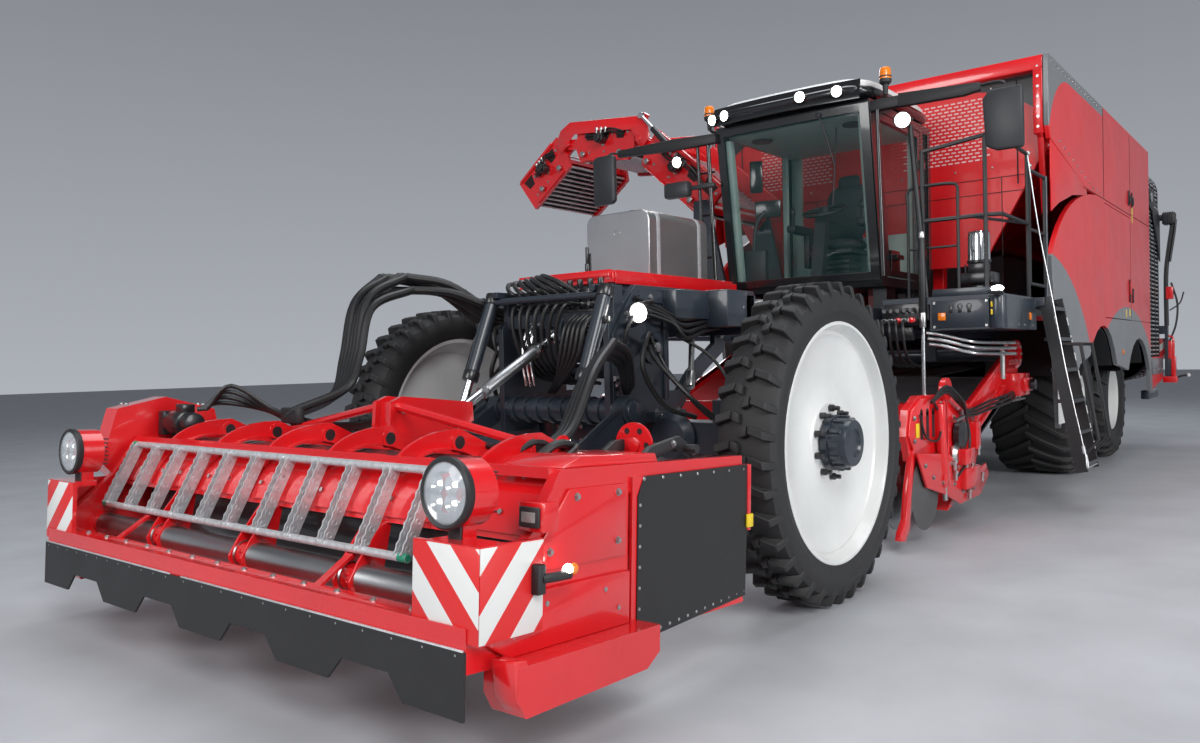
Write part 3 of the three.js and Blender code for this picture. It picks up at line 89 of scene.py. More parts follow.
SHARP_ANGLE = math.radians(34)
MERGE_DISTANCE = 1e-6
# Closest that a turned profile comes to its axis, so that its pole closes.
POLE = 0.0005
# Clearance of thin trim from the sheet under it.
SKIN_GAP = 0.0003
RANDOM_SEED = 7
SENSOR_WIDTH = 36.0
FAR_CLIP = 200.0
FLOOR_HALF = 60.0
AXIS_VECTORS = {"x": Vector((1, 0, 0)), "y": Vector((0, 1, 0)), "z": Vector((0, 0, 1))}
SIDES = {"left": 1, "right": -1}


def ordered(a: float, b: float) -> Span:
    """Two values, the lower one first."""
    return (min(a, b), max(a, b))


def machine_origin() -> Vector:
    """The ground point under the middle of the front axle, in the row's frame."""
    left_low, left_high = (Vector(c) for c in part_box("front_left_wheel"))
    right_low, _ = (Vector(c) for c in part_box("front_right_wheel"))
    return Vector(((left_low.x + left_high.x) / 2, (left_high.y + right_low.y) / 2, 0))


ORIGIN = Matrix.Translation(machine_origin())
HEADER_PIVOT_X = 1.05
HEADER_PITCH = math.radians(3.1)
PITCHED = (
    Matrix.Translation((HEADER_PIVOT_X, 0, 0))
    @ Matrix.Rotation(-HEADER_PITCH, 4, "Y")
    @ Matrix.Translation((-HEADER_PIVOT_X, 0, 0))
)


class Slot(Enum):
    """Material slots of the record; each piece is handed one, but nothing reads it."""

    RED = "red_paint"
    DARK = "dark_paint"
    BLACK = "black_paint"
    GREY = "grey_paint"
    TYRE = "tyre_rubber"
    RUBBER = "web_rubber"
    STEEL = "bare_steel"
    CLOTH = "seat_cloth"


# ------------------------------------------------------------------ shader groups
def new_group(name: str, inputs: dict[str, tuple[str, object]],
              outputs: dict[str, str]) -> bpy.types.NodeTree:
    """Makes an empty shader node group with named sockets.

    Args:
        name: The group's name.
        inputs: Socket name to (socket type, default value).
        outputs: Socket name to socket type.

    Returns:
        The group, with its input and output nodes in place.
    """
    group = bpy.data.node_groups.new(name, "ShaderNodeTree")
    for socket, (kind, default) in inputs.items():
        made = group.interface.new_socket(socket, in_out="INPUT", socket_type=kind)
        made.default_value = default
    for socket, kind in outputs.items():
        group.interface.new_socket(socket, in_out="OUTPUT", socket_type=kind)
    group.nodes.new("NodeGroupInput")
    group.nodes.new("NodeGroupOutput")
    return group


@dataclass
class Wiring:
    """Short ways to add and join nodes in one tree."""

    tree: bpy.types.NodeTree

    def node(self, kind: str, **settings: object) -> bpy.types.Node:
        """Adds a node and sets its properties."""
        made = self.tree.nodes.new(kind)
        for key, value in settings.items():
            setattr(made, key, value)
        return made

    def join(self, source: bpy.types.NodeSocket, target: bpy.types.NodeSocket) -> None:
        """Links one socket to another."""
        self.tree.links.new(source, target)

    def feed(self, target: bpy.types.NodeSocket, value: object) -> None:
        """Gives a socket a link or a plain value."""
        if isinstance(value, bpy.types.NodeSocket):
            self.join(value, target)
        else:
            target.default_value = value

    def math(self, operation: str, *values: object) -> bpy.types.NodeSocket:
        """A Math node on the given sockets or numbers."""
        made = self.node("ShaderNodeMath", operation=operation)
        for slot, value in zip(made.inputs, values):
            self.feed(slot, value)
        return made.outputs[0]

    def mix(self, factor: object, first: object, second: object) -> bpy.types.NodeSocket:
        """Mixes two colours."""
        made = self.node("ShaderNodeMix", data_type="RGBA")
        self.feed(made.inputs["Factor"], factor)
        self.feed(made.inputs[6], first)
        self.feed(made.inputs[7], second)
        return made.outputs[2]

    def ramp(self, factor: object, low: float, high: float, start: float = 0.0,
             end: float = 1.0) -> bpy.types.NodeSocket:
        """Maps factor from low..high to start..end, clamped."""
        made = self.node("ShaderNodeMapRange")
        for slot, value in zip(made.inputs, (factor, low, high, start, end)):
            self.feed(slot, value)
        return made.outputs[0]

    def noise(self, vector: object, scale: object, detail: float = 3.0,
              roughness: float = 0.55) -> bpy.types.NodeSocket:
        """A noise texture's factor."""
        made = self.node("ShaderNodeTexNoise")
        self.feed(made.inputs["Vector"], vector)
        self.feed(made.inputs["Scale"], scale)
        made.inputs["Detail"].default_value = detail
        made.inputs["Roughness"].default_value = roughness
        return made.outputs[0]

    def place(self) -> bpy.types.NodeSocket:
        """Object coordinates."""
        return self.node("ShaderNodeTexCoord").outputs["Object"]


def build_grain_group() -> bpy.types.NodeTree:
    """Fine texture of a moulded or sprayed surface: a height and a roughness change."""
    group = new_group(
        "Surface grain",
        {"Vector": ("NodeSocketVector", (0, 0, 0)), "Scale": ("NodeSocketFloat", 300.0),
         "Roughness": ("NodeSocketFloat", 0.3), "Spread": ("NodeSocketFloat", 0.1)},
        {"Height": "NodeSocketFloat", "Roughness": "NodeSocketFloat"})
    w = Wiring(group)
    source, sink = group.nodes["Group Input"], group.nodes["Group Output"]
    fine = w.noise(source.outputs["Vector"], source.outputs["Scale"], 2.0)
    broad = w.noise(source.outputs["Vector"], 3.5, 4.0)
    w.join(fine, sink.inputs["Height"])
    swing = w.math("MULTIPLY", w.math("SUBTRACT", w.math("MULTIPLY", w.math("ADD", fine, broad), 0.5), 0.5),
                   source.outputs["Spread"])
    w.join(w.math("ADD", source.outputs["Roughness"], w.math("MULTIPLY", swing, 2.0)),
           sink.inputs["Roughness"])
    return group


def build_dust_group() -> bpy.types.NodeTree:
    """Field dust: a mask that grows towards the ground, broken up by noise."""
    group = new_group(
        "Field dust",
        {"Vector": ("NodeSocketVector", (0, 0, 0)), "Amount": ("NodeSocketFloat", 0.2),
         "Height": ("NodeSocketFloat", 1.2)},
        {"Mask": "NodeSocketFloat"})
    w = Wiring(group)
    source, sink = group.nodes["Group Input"], group.nodes["Group Output"]
    split = w.node("ShaderNodeSeparateXYZ")
    w.join(source.outputs["Vector"], split.inputs[0])
    low = w.math("SUBTRACT", 1.0, w.math("DIVIDE", split.outputs["Z"], source.outputs["Height"]))
    low = w.math("MAXIMUM", low, 0.12)
    cloud = w.ramp(w.noise(source.outputs["Vector"], 11.0, 6.0, 0.7), 0.3, 0.8)
    speck = w.ramp(w.noise(source.outputs["Vector"], 140.0, 3.0, 0.6), 0.45, 0.75)
    both = w.math("ADD", w.math("MULTIPLY", cloud, 0.5), w.math("MULTIPLY", speck, 0.5))
    mask = w.math("MULTIPLY", w.math("MULTIPLY", both, low), source.outputs["Amount"])
    w.join(w.math("MINIMUM", mask, 1.0), sink.inputs["Mask"])
    return group


def build_wear_group() -> bpy.types.NodeTree:
    """Rubbed edges: a mask where the surface turns sharply, broken up by noise."""
    group = new_group(
        "Edge wear",
        {"Vector": ("NodeSocketVector", (0, 0, 0)), "Amount": ("NodeSocketFloat", 0.3)},
        {"Mask": "NodeSocketFloat"})
    w = Wiring(group)
    source, sink = group.nodes["Group Input"], group.nodes["Group Output"]
    rounded = w.node("ShaderNodeBevel", samples=4)
    rounded.inputs["Radius"].default_value = 0.006
    turned = w.node("ShaderNodeVectorMath", operation="DOT_PRODUCT")
    w.join(rounded.outputs[0], turned.inputs[0])
    w.join(w.node("ShaderNodeNewGeometry").outputs["Normal"], turned.inputs[1])
    edge = w.ramp(turned.outputs["Value"], 0.97, 0.8)
    broken = w.ramp(w.noise(source.outputs["Vector"], 28.0, 5.0, 0.7), 0.46, 0.6)
    w.join(w.math("MULTIPLY", w.math("MULTIPLY", edge, broken), source.outputs["Amount"]),
           sink.inputs["Mask"])
    return group


@dataclass(frozen=True)
class Groups:
    """The node groups that the finishes share."""

    grain: bpy.types.NodeTree = field(default_factory=build_grain_group)
    dust: bpy.types.NodeTree = field(default_factory=build_dust_group)
    wear: bpy.types.NodeTree = field(default_factory=build_wear_group)


GROUPS = Groups()
DUST_COLOUR = (0.24, 0.2, 0.16, 1)


def rgba(colour: Colour) -> tuple[float, float, float, float]:
    """A colour with full alpha."""
    return (*colour, 1.0)


@dataclass(frozen=True)
class Finish:
    """A plain finish with grain, dust and wear; the base of the others."""

    name: str
    colour: Colour
    roughness: float = 0.4
    metallic: float = 0.0
    coat: float = 0.0
    grain_scale: float = 300.0
    grain_depth: float = 0.0002
    spread: float = 0.12
    dust: float = 0.25
    wear: float = 0.0
    worn: Colour = (0.3, 0.3, 0.31)

    def base_colour(self, w: Wiring, place: bpy.types.NodeSocket) -> object:
        """The colour before dust and wear: a little lighter and darker over the surface."""
        shade = w.ramp(w.noise(place, 1.7, 3.0), 0.3, 0.7)
        deep = tuple(c * 0.9 for c in self.colour)
        light = tuple(min(1.0, c * 1.06) for c in self.colour)
        return w.mix(shade, rgba(deep), rgba(light))

    def relief(self, w: Wiring, place: bpy.types.NodeSocket,
               height: bpy.types.NodeSocket) -> bpy.types.NodeSocket:
        """The height that feeds the bump; a finish with a larger pattern adds to it."""
        return height

    def extras(self, w: Wiring, shader: bpy.types.Node, place: bpy.types.NodeSocket) -> None:
        """Last changes to the shader."""

    def material(self) -> bpy.types.Material:
        """Makes the material, or gives the one made before."""
        made = bpy.data.materials.get(self.name)
        if made:
            return made
        made = bpy.data.materials.new(self.name)
        made.use_nodes = True
        made.node_tree.nodes.clear()
        w = Wiring(made.node_tree)
        place = w.place()
        shader = w.node("ShaderNodeBsdfPrincipled")
        w.join(shader.outputs[0], w.node("ShaderNodeOutputMaterial").inputs["Surface"])
        colour = self.base_colour(w, place)
        grain = w.node("ShaderNodeGroup", node_tree=GROUPS.grain)
        w.join(place, grain.inputs["Vector"])
        grain.inputs["Scale"].default_value = self.grain_scale
        grain.inputs["Roughness"].default_value = self.roughness
        grain.inputs["Spread"].default_value = self.spread
        rough = grain.outputs["Roughness"]
        if self.wear:
            wear = w.node("ShaderNodeGroup", node_tree=GROUPS.wear)
            w.join(place, wear.inputs["Vector"])
            wear.inputs["Amount"].default_value = self.wear
            colour = w.mix(wear.outputs["Mask"], colour, rgba(self.worn))
        if self.dust:
            dust = w.node("ShaderNodeGroup", node_tree=GROUPS.dust)
            w.join(place, dust.inputs["Vector"])
            dust.inputs["Amount"].default_value = self.dust
            colour = w.mix(dust.outputs["Mask"], colour, DUST_COLOUR)
            rough = w.math("ADD", rough, w.math("MULTIPLY", dust.outputs["Mask"], 0.9))
        w.feed(shader.inputs["Base Color"], colour)
        w.join(rough, shader.inputs["Roughness"])
        shader.inputs["Metallic"].default_value = self.metallic
        shader.inputs["Coat Weight"].default_value = self.coat
        shader.inputs["Coat Roughness"].default_value = 0.06
        bump = w.node("ShaderNodeBump")
        bump.inputs["Distance"].default_value = self.grain_depth
        bump.inputs["Strength"].default_value = 1.0
        w.feed(bump.inputs["Height"], self.relief(w, place, grain.outputs["Height"]))
        w.join(bump.outputs[0], shader.inputs["Normal"])
        self.extras(w, shader, place)
        return made


@dataclass(frozen=True)
class SwooshPaint(Finish):
    """Red side panels with grey sweeps, each (centre x, centre z, radius, low z, high z)."""

    second: Colour = (0.17, 0.18, 0.19)

    def base_colour(self, w: Wiring, place: bpy.types.NodeSocket) -> object:
        """Red, with grey inside the sweeps."""
        red = super().base_colour(w, place)
        split = w.node("ShaderNodeSeparateXYZ")
        w.join(place, split.inputs[0])
        x = w.math("SUBTRACT", split.outputs["X"], machine_origin().x)
        z = split.outputs["Z"]
        mask = None
        for sweep in SWEEPS:
            inside = sweep.mask(w, x, z)
            mask = inside if mask is None else w.math("MAXIMUM", mask, inside)
        return w.mix(mask, red, rgba(self.second))


@dataclass(frozen=True)
class Sweep:
    """A grey area between two circles, cut off by a range of x and z."""

    outer: tuple[float, float, float]
    inner: tuple[float, float, float]
    x: Span
    z: Span

    def mask(self, w: Wiring, x: bpy.types.NodeSocket, z: bpy.types.NodeSocket) -> bpy.types.NodeSocket:
        """One inside the outer circle and outside the inner one."""
        def inside(circle: tuple[float, float, float]) -> bpy.types.NodeSocket:
            """One inside a circle of the x-z plane."""
            dx = w.math("SUBTRACT", x, circle[0])
            dz = w.math("SUBTRACT", z, circle[1])
            far = w.math("SQRT", w.math("ADD", w.math("MULTIPLY", dx, dx), w.math("MULTIPLY", dz, dz)))
            return w.math("LESS_THAN", far, circle[2])
        ring = w.math("SUBTRACT", inside(self.outer), inside(self.inner))
        ring = w.math("MAXIMUM", ring, 0.0)
        for axis, (low, high) in ((x, self.x), (z, self.z)):
            ring = w.math("MULTIPLY", ring, w.math("GREATER_THAN", axis, low))
            ring = w.math("MULTIPLY", ring, w.math("LESS_THAN", axis, high))
        return ring


@dataclass(frozen=True)
class StripeFinish(Finish):
    """Reflective board with slanting red and white stripes."""

    along: str = "Y"
    lean: float = 1.0
    shift: float = 0.0
    pitch: float = 0.2

    def base_colour(self, w: Wiring, place: bpy.types.NodeSocket) -> object:
        """Red and white by the distance along the slant."""
        split = w.node("ShaderNodeSeparateXYZ")
        w.join(place, split.inputs[0])
        slant = w.math("ADD", w.math("MULTIPLY", split.outputs[self.along], self.lean), split.outputs["Z"])
        part = w.math("FRACT", w.math("DIVIDE", w.math("ADD", slant, self.shift), self.pitch))
        return w.mix(w.math("GREATER_THAN", part, 0.5), (0.72, 0.02, 0.02, 1), (0.78, 0.78, 0.76, 1))

    def relief(self, w: Wiring, place: bpy.types.NodeSocket,
               height: bpy.types.NodeSocket) -> bpy.types.NodeSocket:
        """The small cells of a reflective sheet."""
        cells = w.node("ShaderNodeTexVoronoi", feature="DISTANCE_TO_EDGE")
        w.join(place, cells.inputs["Vector"])
        cells.inputs["Scale"].default_value = 160.0
        return w.math("ADD", w.ramp(cells.outputs["Distance"], 0.0, 0.12), height)


@dataclass(frozen=True)
class BrushedMetal(Finish):
    """Bare metal with fine streaks along one axis."""

    streak: tuple[float, float, float] = (4.0, 160.0, 160.0)

    def relief(self, w: Wiring, place: bpy.types.NodeSocket,
               height: bpy.types.NodeSocket) -> bpy.types.NodeSocket:
        """Streaks laid over the grain."""
        mapping = w.node("ShaderNodeMapping")
        mapping.inputs["Scale"].default_value = self.streak
        w.join(place, mapping.inputs["Vector"])
        return w.math("ADD", w.noise(mapping.outputs[0], 2.0, 4.0), w.math("MULTIPLY", height, 0.4))


@dataclass(frozen=True)
class Galvanised(Finish):
    """Zinc-coated steel with its crystal spangle."""

    def base_colour(self, w: Wiring, place: bpy.types.NodeSocket) -> object:
        """Patches of slightly different greys."""
        cells = w.node("ShaderNodeTexVoronoi")
        w.join(place, cells.inputs["Vector"])
        cells.inputs["Scale"].default_value = 55.0
        tone = w.ramp(cells.outputs["Color"], 0.0, 1.0)
        return w.mix(tone, rgba(tuple(c * 0.72 for c in self.colour)), rgba(self.colour))


@dataclass(frozen=True)
class WovenCloth(Finish):
    """Upholstery cloth with a small weave."""

    def relief(self, w: Wiring, place: bpy.types.NodeSocket,
               height: bpy.types.NodeSocket) -> bpy.types.NodeSocket:
        """Threads crossing at right angles."""
        waves = []
        for direction in ("X", "Y", "Z"):
            wave = w.node("ShaderNodeTexWave", bands_direction=direction)
            w.join(place, wave.inputs["Vector"])
            wave.inputs["Scale"].default_value = 90.0
            waves.append(wave.outputs["Fac"])
        return w.math("ADD", w.math("MAXIMUM", w.math("MAXIMUM", waves[0], waves[1]), waves[2]), height)


@dataclass(frozen=True)
class GlassFinish(Finish):
    """Tinted glass."""

    alpha: float = 0.3

    def extras(self, w: Wiring, shader: bpy.types.Node, place: bpy.types.NodeSocket) -> None:
        """See-through, with a clear reflection."""
        shader.inputs["Alpha"].default_value = self.alpha
        shader.inputs["Specular IOR Level"].default_value = 0.8


@dataclass(frozen=True)
class LampFinish(Finish):
    """A lit lens."""

    strength: float = 8.0

    def extras(self, w: Wiring, shader: bpy.types.Node, place: bpy.types.NodeSocket) -> None:
        """Light of the lens's own colour."""
        shader.inputs["Emission Color"].default_value = rgba(self.colour)
        shader.inputs["Emission Strength"].default_value = self.strength


@dataclass(frozen=True)
class LensFinish(Finish):
    """Unlit lens with fluting."""

    def relief(self, w: Wiring, place: bpy.types.NodeSocket,
               height: bpy.types.NodeSocket) -> bpy.types.NodeSocket:
        """Vertical flutes moulded in the lens."""
        wave = w.node("ShaderNodeTexWave", bands_direction="Z")
        w.join(place, wave.inputs["Vector"])
        wave.inputs["Scale"].default_value = 45.0
        return w.math("ADD", wave.outputs["Fac"], height)


@dataclass(frozen=True)
class TreadPlate(Finish):
    """Step plate with raised tears."""

    def relief(self, w: Wiring, place: bpy.types.NodeSocket,
               height: bpy.types.NodeSocket) -> bpy.types.NodeSocket:
        """A lattice of small raised ovals."""
        cells = w.node("ShaderNodeTexVoronoi")
        w.join(place, cells.inputs["Vector"])
        cells.inputs["Scale"].default_value = 34.0
        cells.inputs["Randomness"].default_value = 0.15
        return w.math("ADD", w.ramp(cells.outputs["Distance"], 0.32, 0.2), w.math("MULTIPLY", height, 0.1))


EVERYWHERE = (-7.0, 2.0, 20.0)
NOWHERE = (40.0, 40.0, 0.1)
SWEEPS = (
    Sweep(EVERYWHERE, (-5.0, 3.05, 0.84), (-5.0, -4.1), (3.36, 4.1)),
    Sweep(EVERYWHERE, NOWHERE, (-6.6, -5.0), (3.89, 4.1)),
    Sweep((-4.0, -0.15, 2.38), NOWHERE, (-6.2, -4.1), (0.4, 2.32)),
    Sweep((-7.95, -1.1, 2.96), NOWHERE, (-9.75, -6.1), (0.4, 1.9)),
)

RED = Finish("Red paint", (0.70, 0.008, 0.012), 0.24, coat=0.8, grain_scale=420, grain_depth=0.00008,
             dust=0.038, wear=0.25)
RED_SIDE = SwooshPaint("Red and grey side paint", (0.72, 0.008, 0.012), 0.36, coat=0.18, grain_scale=420,
                       grain_depth=0.00006, dust=0.032)
SLATE = Finish("Slate frame paint", (0.022, 0.03, 0.042), 0.34, coat=0.35, grain_scale=380,
               grain_depth=0.0001, dust=0.051, wear=0.3)
BLACK = Finish("Black paint", (0.012, 0.012, 0.014), 0.32, coat=0.3, grain_scale=380, dust=0.038, wear=0.2)
GREY = Finish("Grey paint", (0.17, 0.18, 0.19), 0.36, coat=0.3, dust=0.045)
WHITE = Finish("White rim paint", (0.74, 0.75, 0.73), 0.3, coat=0.5, grain_scale=420, grain_depth=0.00008,
               dust=0.032)
ROOF_WHITE = Finish("White roof shell", (0.7, 0.71, 0.7), 0.36, coat=0.3, dust=0.032)
TYRE = Finish("Tyre rubber", (0.016, 0.016, 0.017), 0.62, grain_scale=160, grain_depth=0.0012,
              spread=0.25, dust=0.064)
RUBBER = Finish("Sheet rubber", (0.013, 0.013, 0.014), 0.5, grain_scale=220, grain_depth=0.0006,
                spread=0.2, dust=0.058)
HOSE = Finish("Hose cover", (0.01, 0.01, 0.011), 0.42, grain_scale=520, grain_depth=0.0004, dust=0.026)
MOULDED = Finish("Moulded black plastic", (0.018, 0.018, 0.02), 0.48, grain_scale=600, grain_depth=0.0004,
                 dust=0.026)
CHROME = Finish("Chromed rod", (0.72, 0.73, 0.74), 0.1, metallic=1.0, grain_depth=0.00002, spread=0.04,
                dust=0.01)
STEEL = BrushedMetal("Worn steel", (0.42, 0.43, 0.44), 0.34, metallic=1.0, grain_depth=0.0002, dust=0.038)
TANK_STEEL = BrushedMetal("Brushed tank sheet", (0.55, 0.56, 0.57), 0.3, metallic=0.9, grain_depth=0.0001,
                          dust=0.016, streak=(2.0, 2.0, 140.0))
ZINC = Galvanised("Galvanised steel", (0.74, 0.76, 0.78), 0.4, metallic=0.55, grain_depth=0.0002, dust=0.019)
BOLT_ZINC = Finish("Plated bolts", (0.5, 0.5, 0.49), 0.3, metallic=1.0, grain_depth=0.0001, dust=0.032)
GLASS = GlassFinish("Tinted cab glass", (0.02, 0.08, 0.08), 0.03, grain_depth=0.00001, spread=0.01,
                    dust=0, alpha=0.12)
CLEAR = GlassFinish("Clear lens", (0.7, 0.74, 0.78), 0.05, grain_depth=0.00001, spread=0.01, dust=0,
                    alpha=0.3)
LIT = LampFinish("Lit white lamp", (1.0, 0.98, 0.94), 0.2, dust=0, strength=16.0)
AMBER = LensFinish("Amber lens", (0.9, 0.22, 0.01), 0.12, coat=0.6, dust=0)
RED_LENS = LensFinish("Red lens", (0.5, 0.01, 0.01), 0.12, coat=0.6, dust=0)
YELLOW = Finish("Yellow marker", (0.85, 0.6, 0.02), 0.35, dust=0.016)
GREEN = Finish("Green cap", (0.01, 0.28, 0.16), 0.4, dust=0.016)
REFLECT_WHITE = StripeFinish("White reflective strip", (0.8, 0.8, 0.8), 0.3, dust=0.01, pitch=900.0,
                             shift=500.0)
CLOTH = WovenCloth("Woven cover cloth", (0.035, 0.036, 0.04), 0.85, grain_scale=700, grain_depth=0.0006,
                   dust=0.01)
TREAD = TreadPlate("Tread plate", (0.02, 0.022, 0.025), 0.45, metallic=0.4, grain_depth=0.002, dust=0.038)
SCREEN = Finish("Screen glass", (0.01, 0.02, 0.03), 0.08, coat=0.8, grain_depth=0.00001, spread=0.02, dust=0)
CAB_BLACK = Finish("Cab frame paint", (0.010, 0.011, 0.012), 0.2, coat=0.6, grain_scale=420,
                   grain_depth=0.00006, dust=0.02)
LINING = Finish("Cab lining", (0.30, 0.42, 0.38), 0.6, grain_scale=500, grain_depth=0.0003, dust=0.0)
MIRROR_GREY = Finish("Mirror housing plastic", (0.03, 0.032, 0.035), 0.4, grain_scale=600,
                     grain_depth=0.0003, dust=0.02)
RAIL_PAINT = Finish("Railing paint", (0.012, 0.013, 0.015), 0.42, grain_scale=420, grain_depth=0.0001,
                    dust=0.03)
LADDER_PAINT = Finish("Ladder paint", (0.016, 0.017, 0.019), 0.4, coat=0.2, grain_scale=420,
                      grain_depth=0.0001, dust=0.05)
PALE_PIPE = Finish("Plated pipe", (0.62, 0.64, 0.65), 0.22, metallic=0.9, grain_depth=0.00004,
                   spread=0.05, dust=0.02)
# Pale pink-white of the air slots: painted light, standing for light that shines through the perforations
# from behind.
PAINTED_SLOT_LIGHT = Finish("Painted light in air slots", (0.78, 0.55, 0.55), 0.5, dust=0.0)
SHADOW = Finish("Seam shadow", (0.02, 0.004, 0.005), 0.7, dust=0.0)
DISC_STEEL = BrushedMetal("Disc steel", (0.2, 0.2, 0.2), 0.4, metallic=0.9, grain_depth=0.0003, dust=0.04)
WEB_STEEL = BrushedMetal("Web bar steel", (0.24, 0.24, 0.25), 0.36, metallic=0.9, grain_depth=0.0002,
                         dust=0.03)


@dataclass(frozen=True)
class FrontSweep(Finish):
    """Red front wall with a dark band in its upper corners, above a broad curve."""

    second: Colour = (0.018, 0.019, 0.022)

    def base_colour(self, w: Wiring, place: bpy.types.NodeSocket) -> object:
        """Dark above a curve that falls towards each side."""
        red = super().base_colour(w, place)
        split = w.node("ShaderNodeSeparateXYZ")
        w.join(place, split.inputs[0])
        across = w.math("ABSOLUTE", w.math("SUBTRACT", split.outputs["Y"], machine_origin().y))
        past = w.math("MAXIMUM", w.math("SUBTRACT", across, 1.0), 0.0)
        edge = w.math("SUBTRACT", 3.81, w.math("MULTIPLY", w.math("MULTIPLY", past, past), 0.68))
        above = w.math("GREATER_THAN", split.outputs["Z"], edge)
        below_rail = w.math("LESS_THAN", split.outputs["Z"], 3.872)
        return w.mix(w.math("MULTIPLY", above, below_rail), red, rgba(self.second))


FRONT_SWEEP = FrontSweep("Front wall paint", (0.70, 0.008, 0.012), 0.4, coat=0.12, grain_scale=420,
                         grain_depth=0.00008, dust=0.03)


# -------------------------------------------------------------------- workpieces
def smooth_route(points: Sequence[Point], steps: int = 6) -> list[Vector]:
    """Points of a smooth curve through the given ones.

    Args:
        points: The places the curve passes.
        steps: New points for each stretch.

    Returns:
        The points of the curve, ends included.
    """
    route = [Vector(p) for p in points]
    if len(route) < 3:
        return route
    ends = [2 * route[0] - route[1], *route, 2 * route[-1] - route[-2]]
    curve = []
    for a, b, c, d in zip(ends, ends[1:], ends[2:], ends[3:]):
        for i in range(steps):
            t = i / steps
            curve.append(0.5 * (2 * b + (c - a) * t + (2 * a - 5 * b + 4 * c - d) * t * t + (
                    3 * b - a - 3 * c + d) * t ** 3))
    return [*curve, route[-1]]


def arc(centre: Flat, radius: float, start: float, end: float, steps: int = 10) -> list[Flat]:
    """Points on an arc from start to end, in degrees."""
    angles = [math.radians(start + (end - start) * i / steps) for i in range(steps + 1)]
    return [(centre[0] + radius * math.cos(a), centre[1] + radius * math.sin(a)) for a in angles]


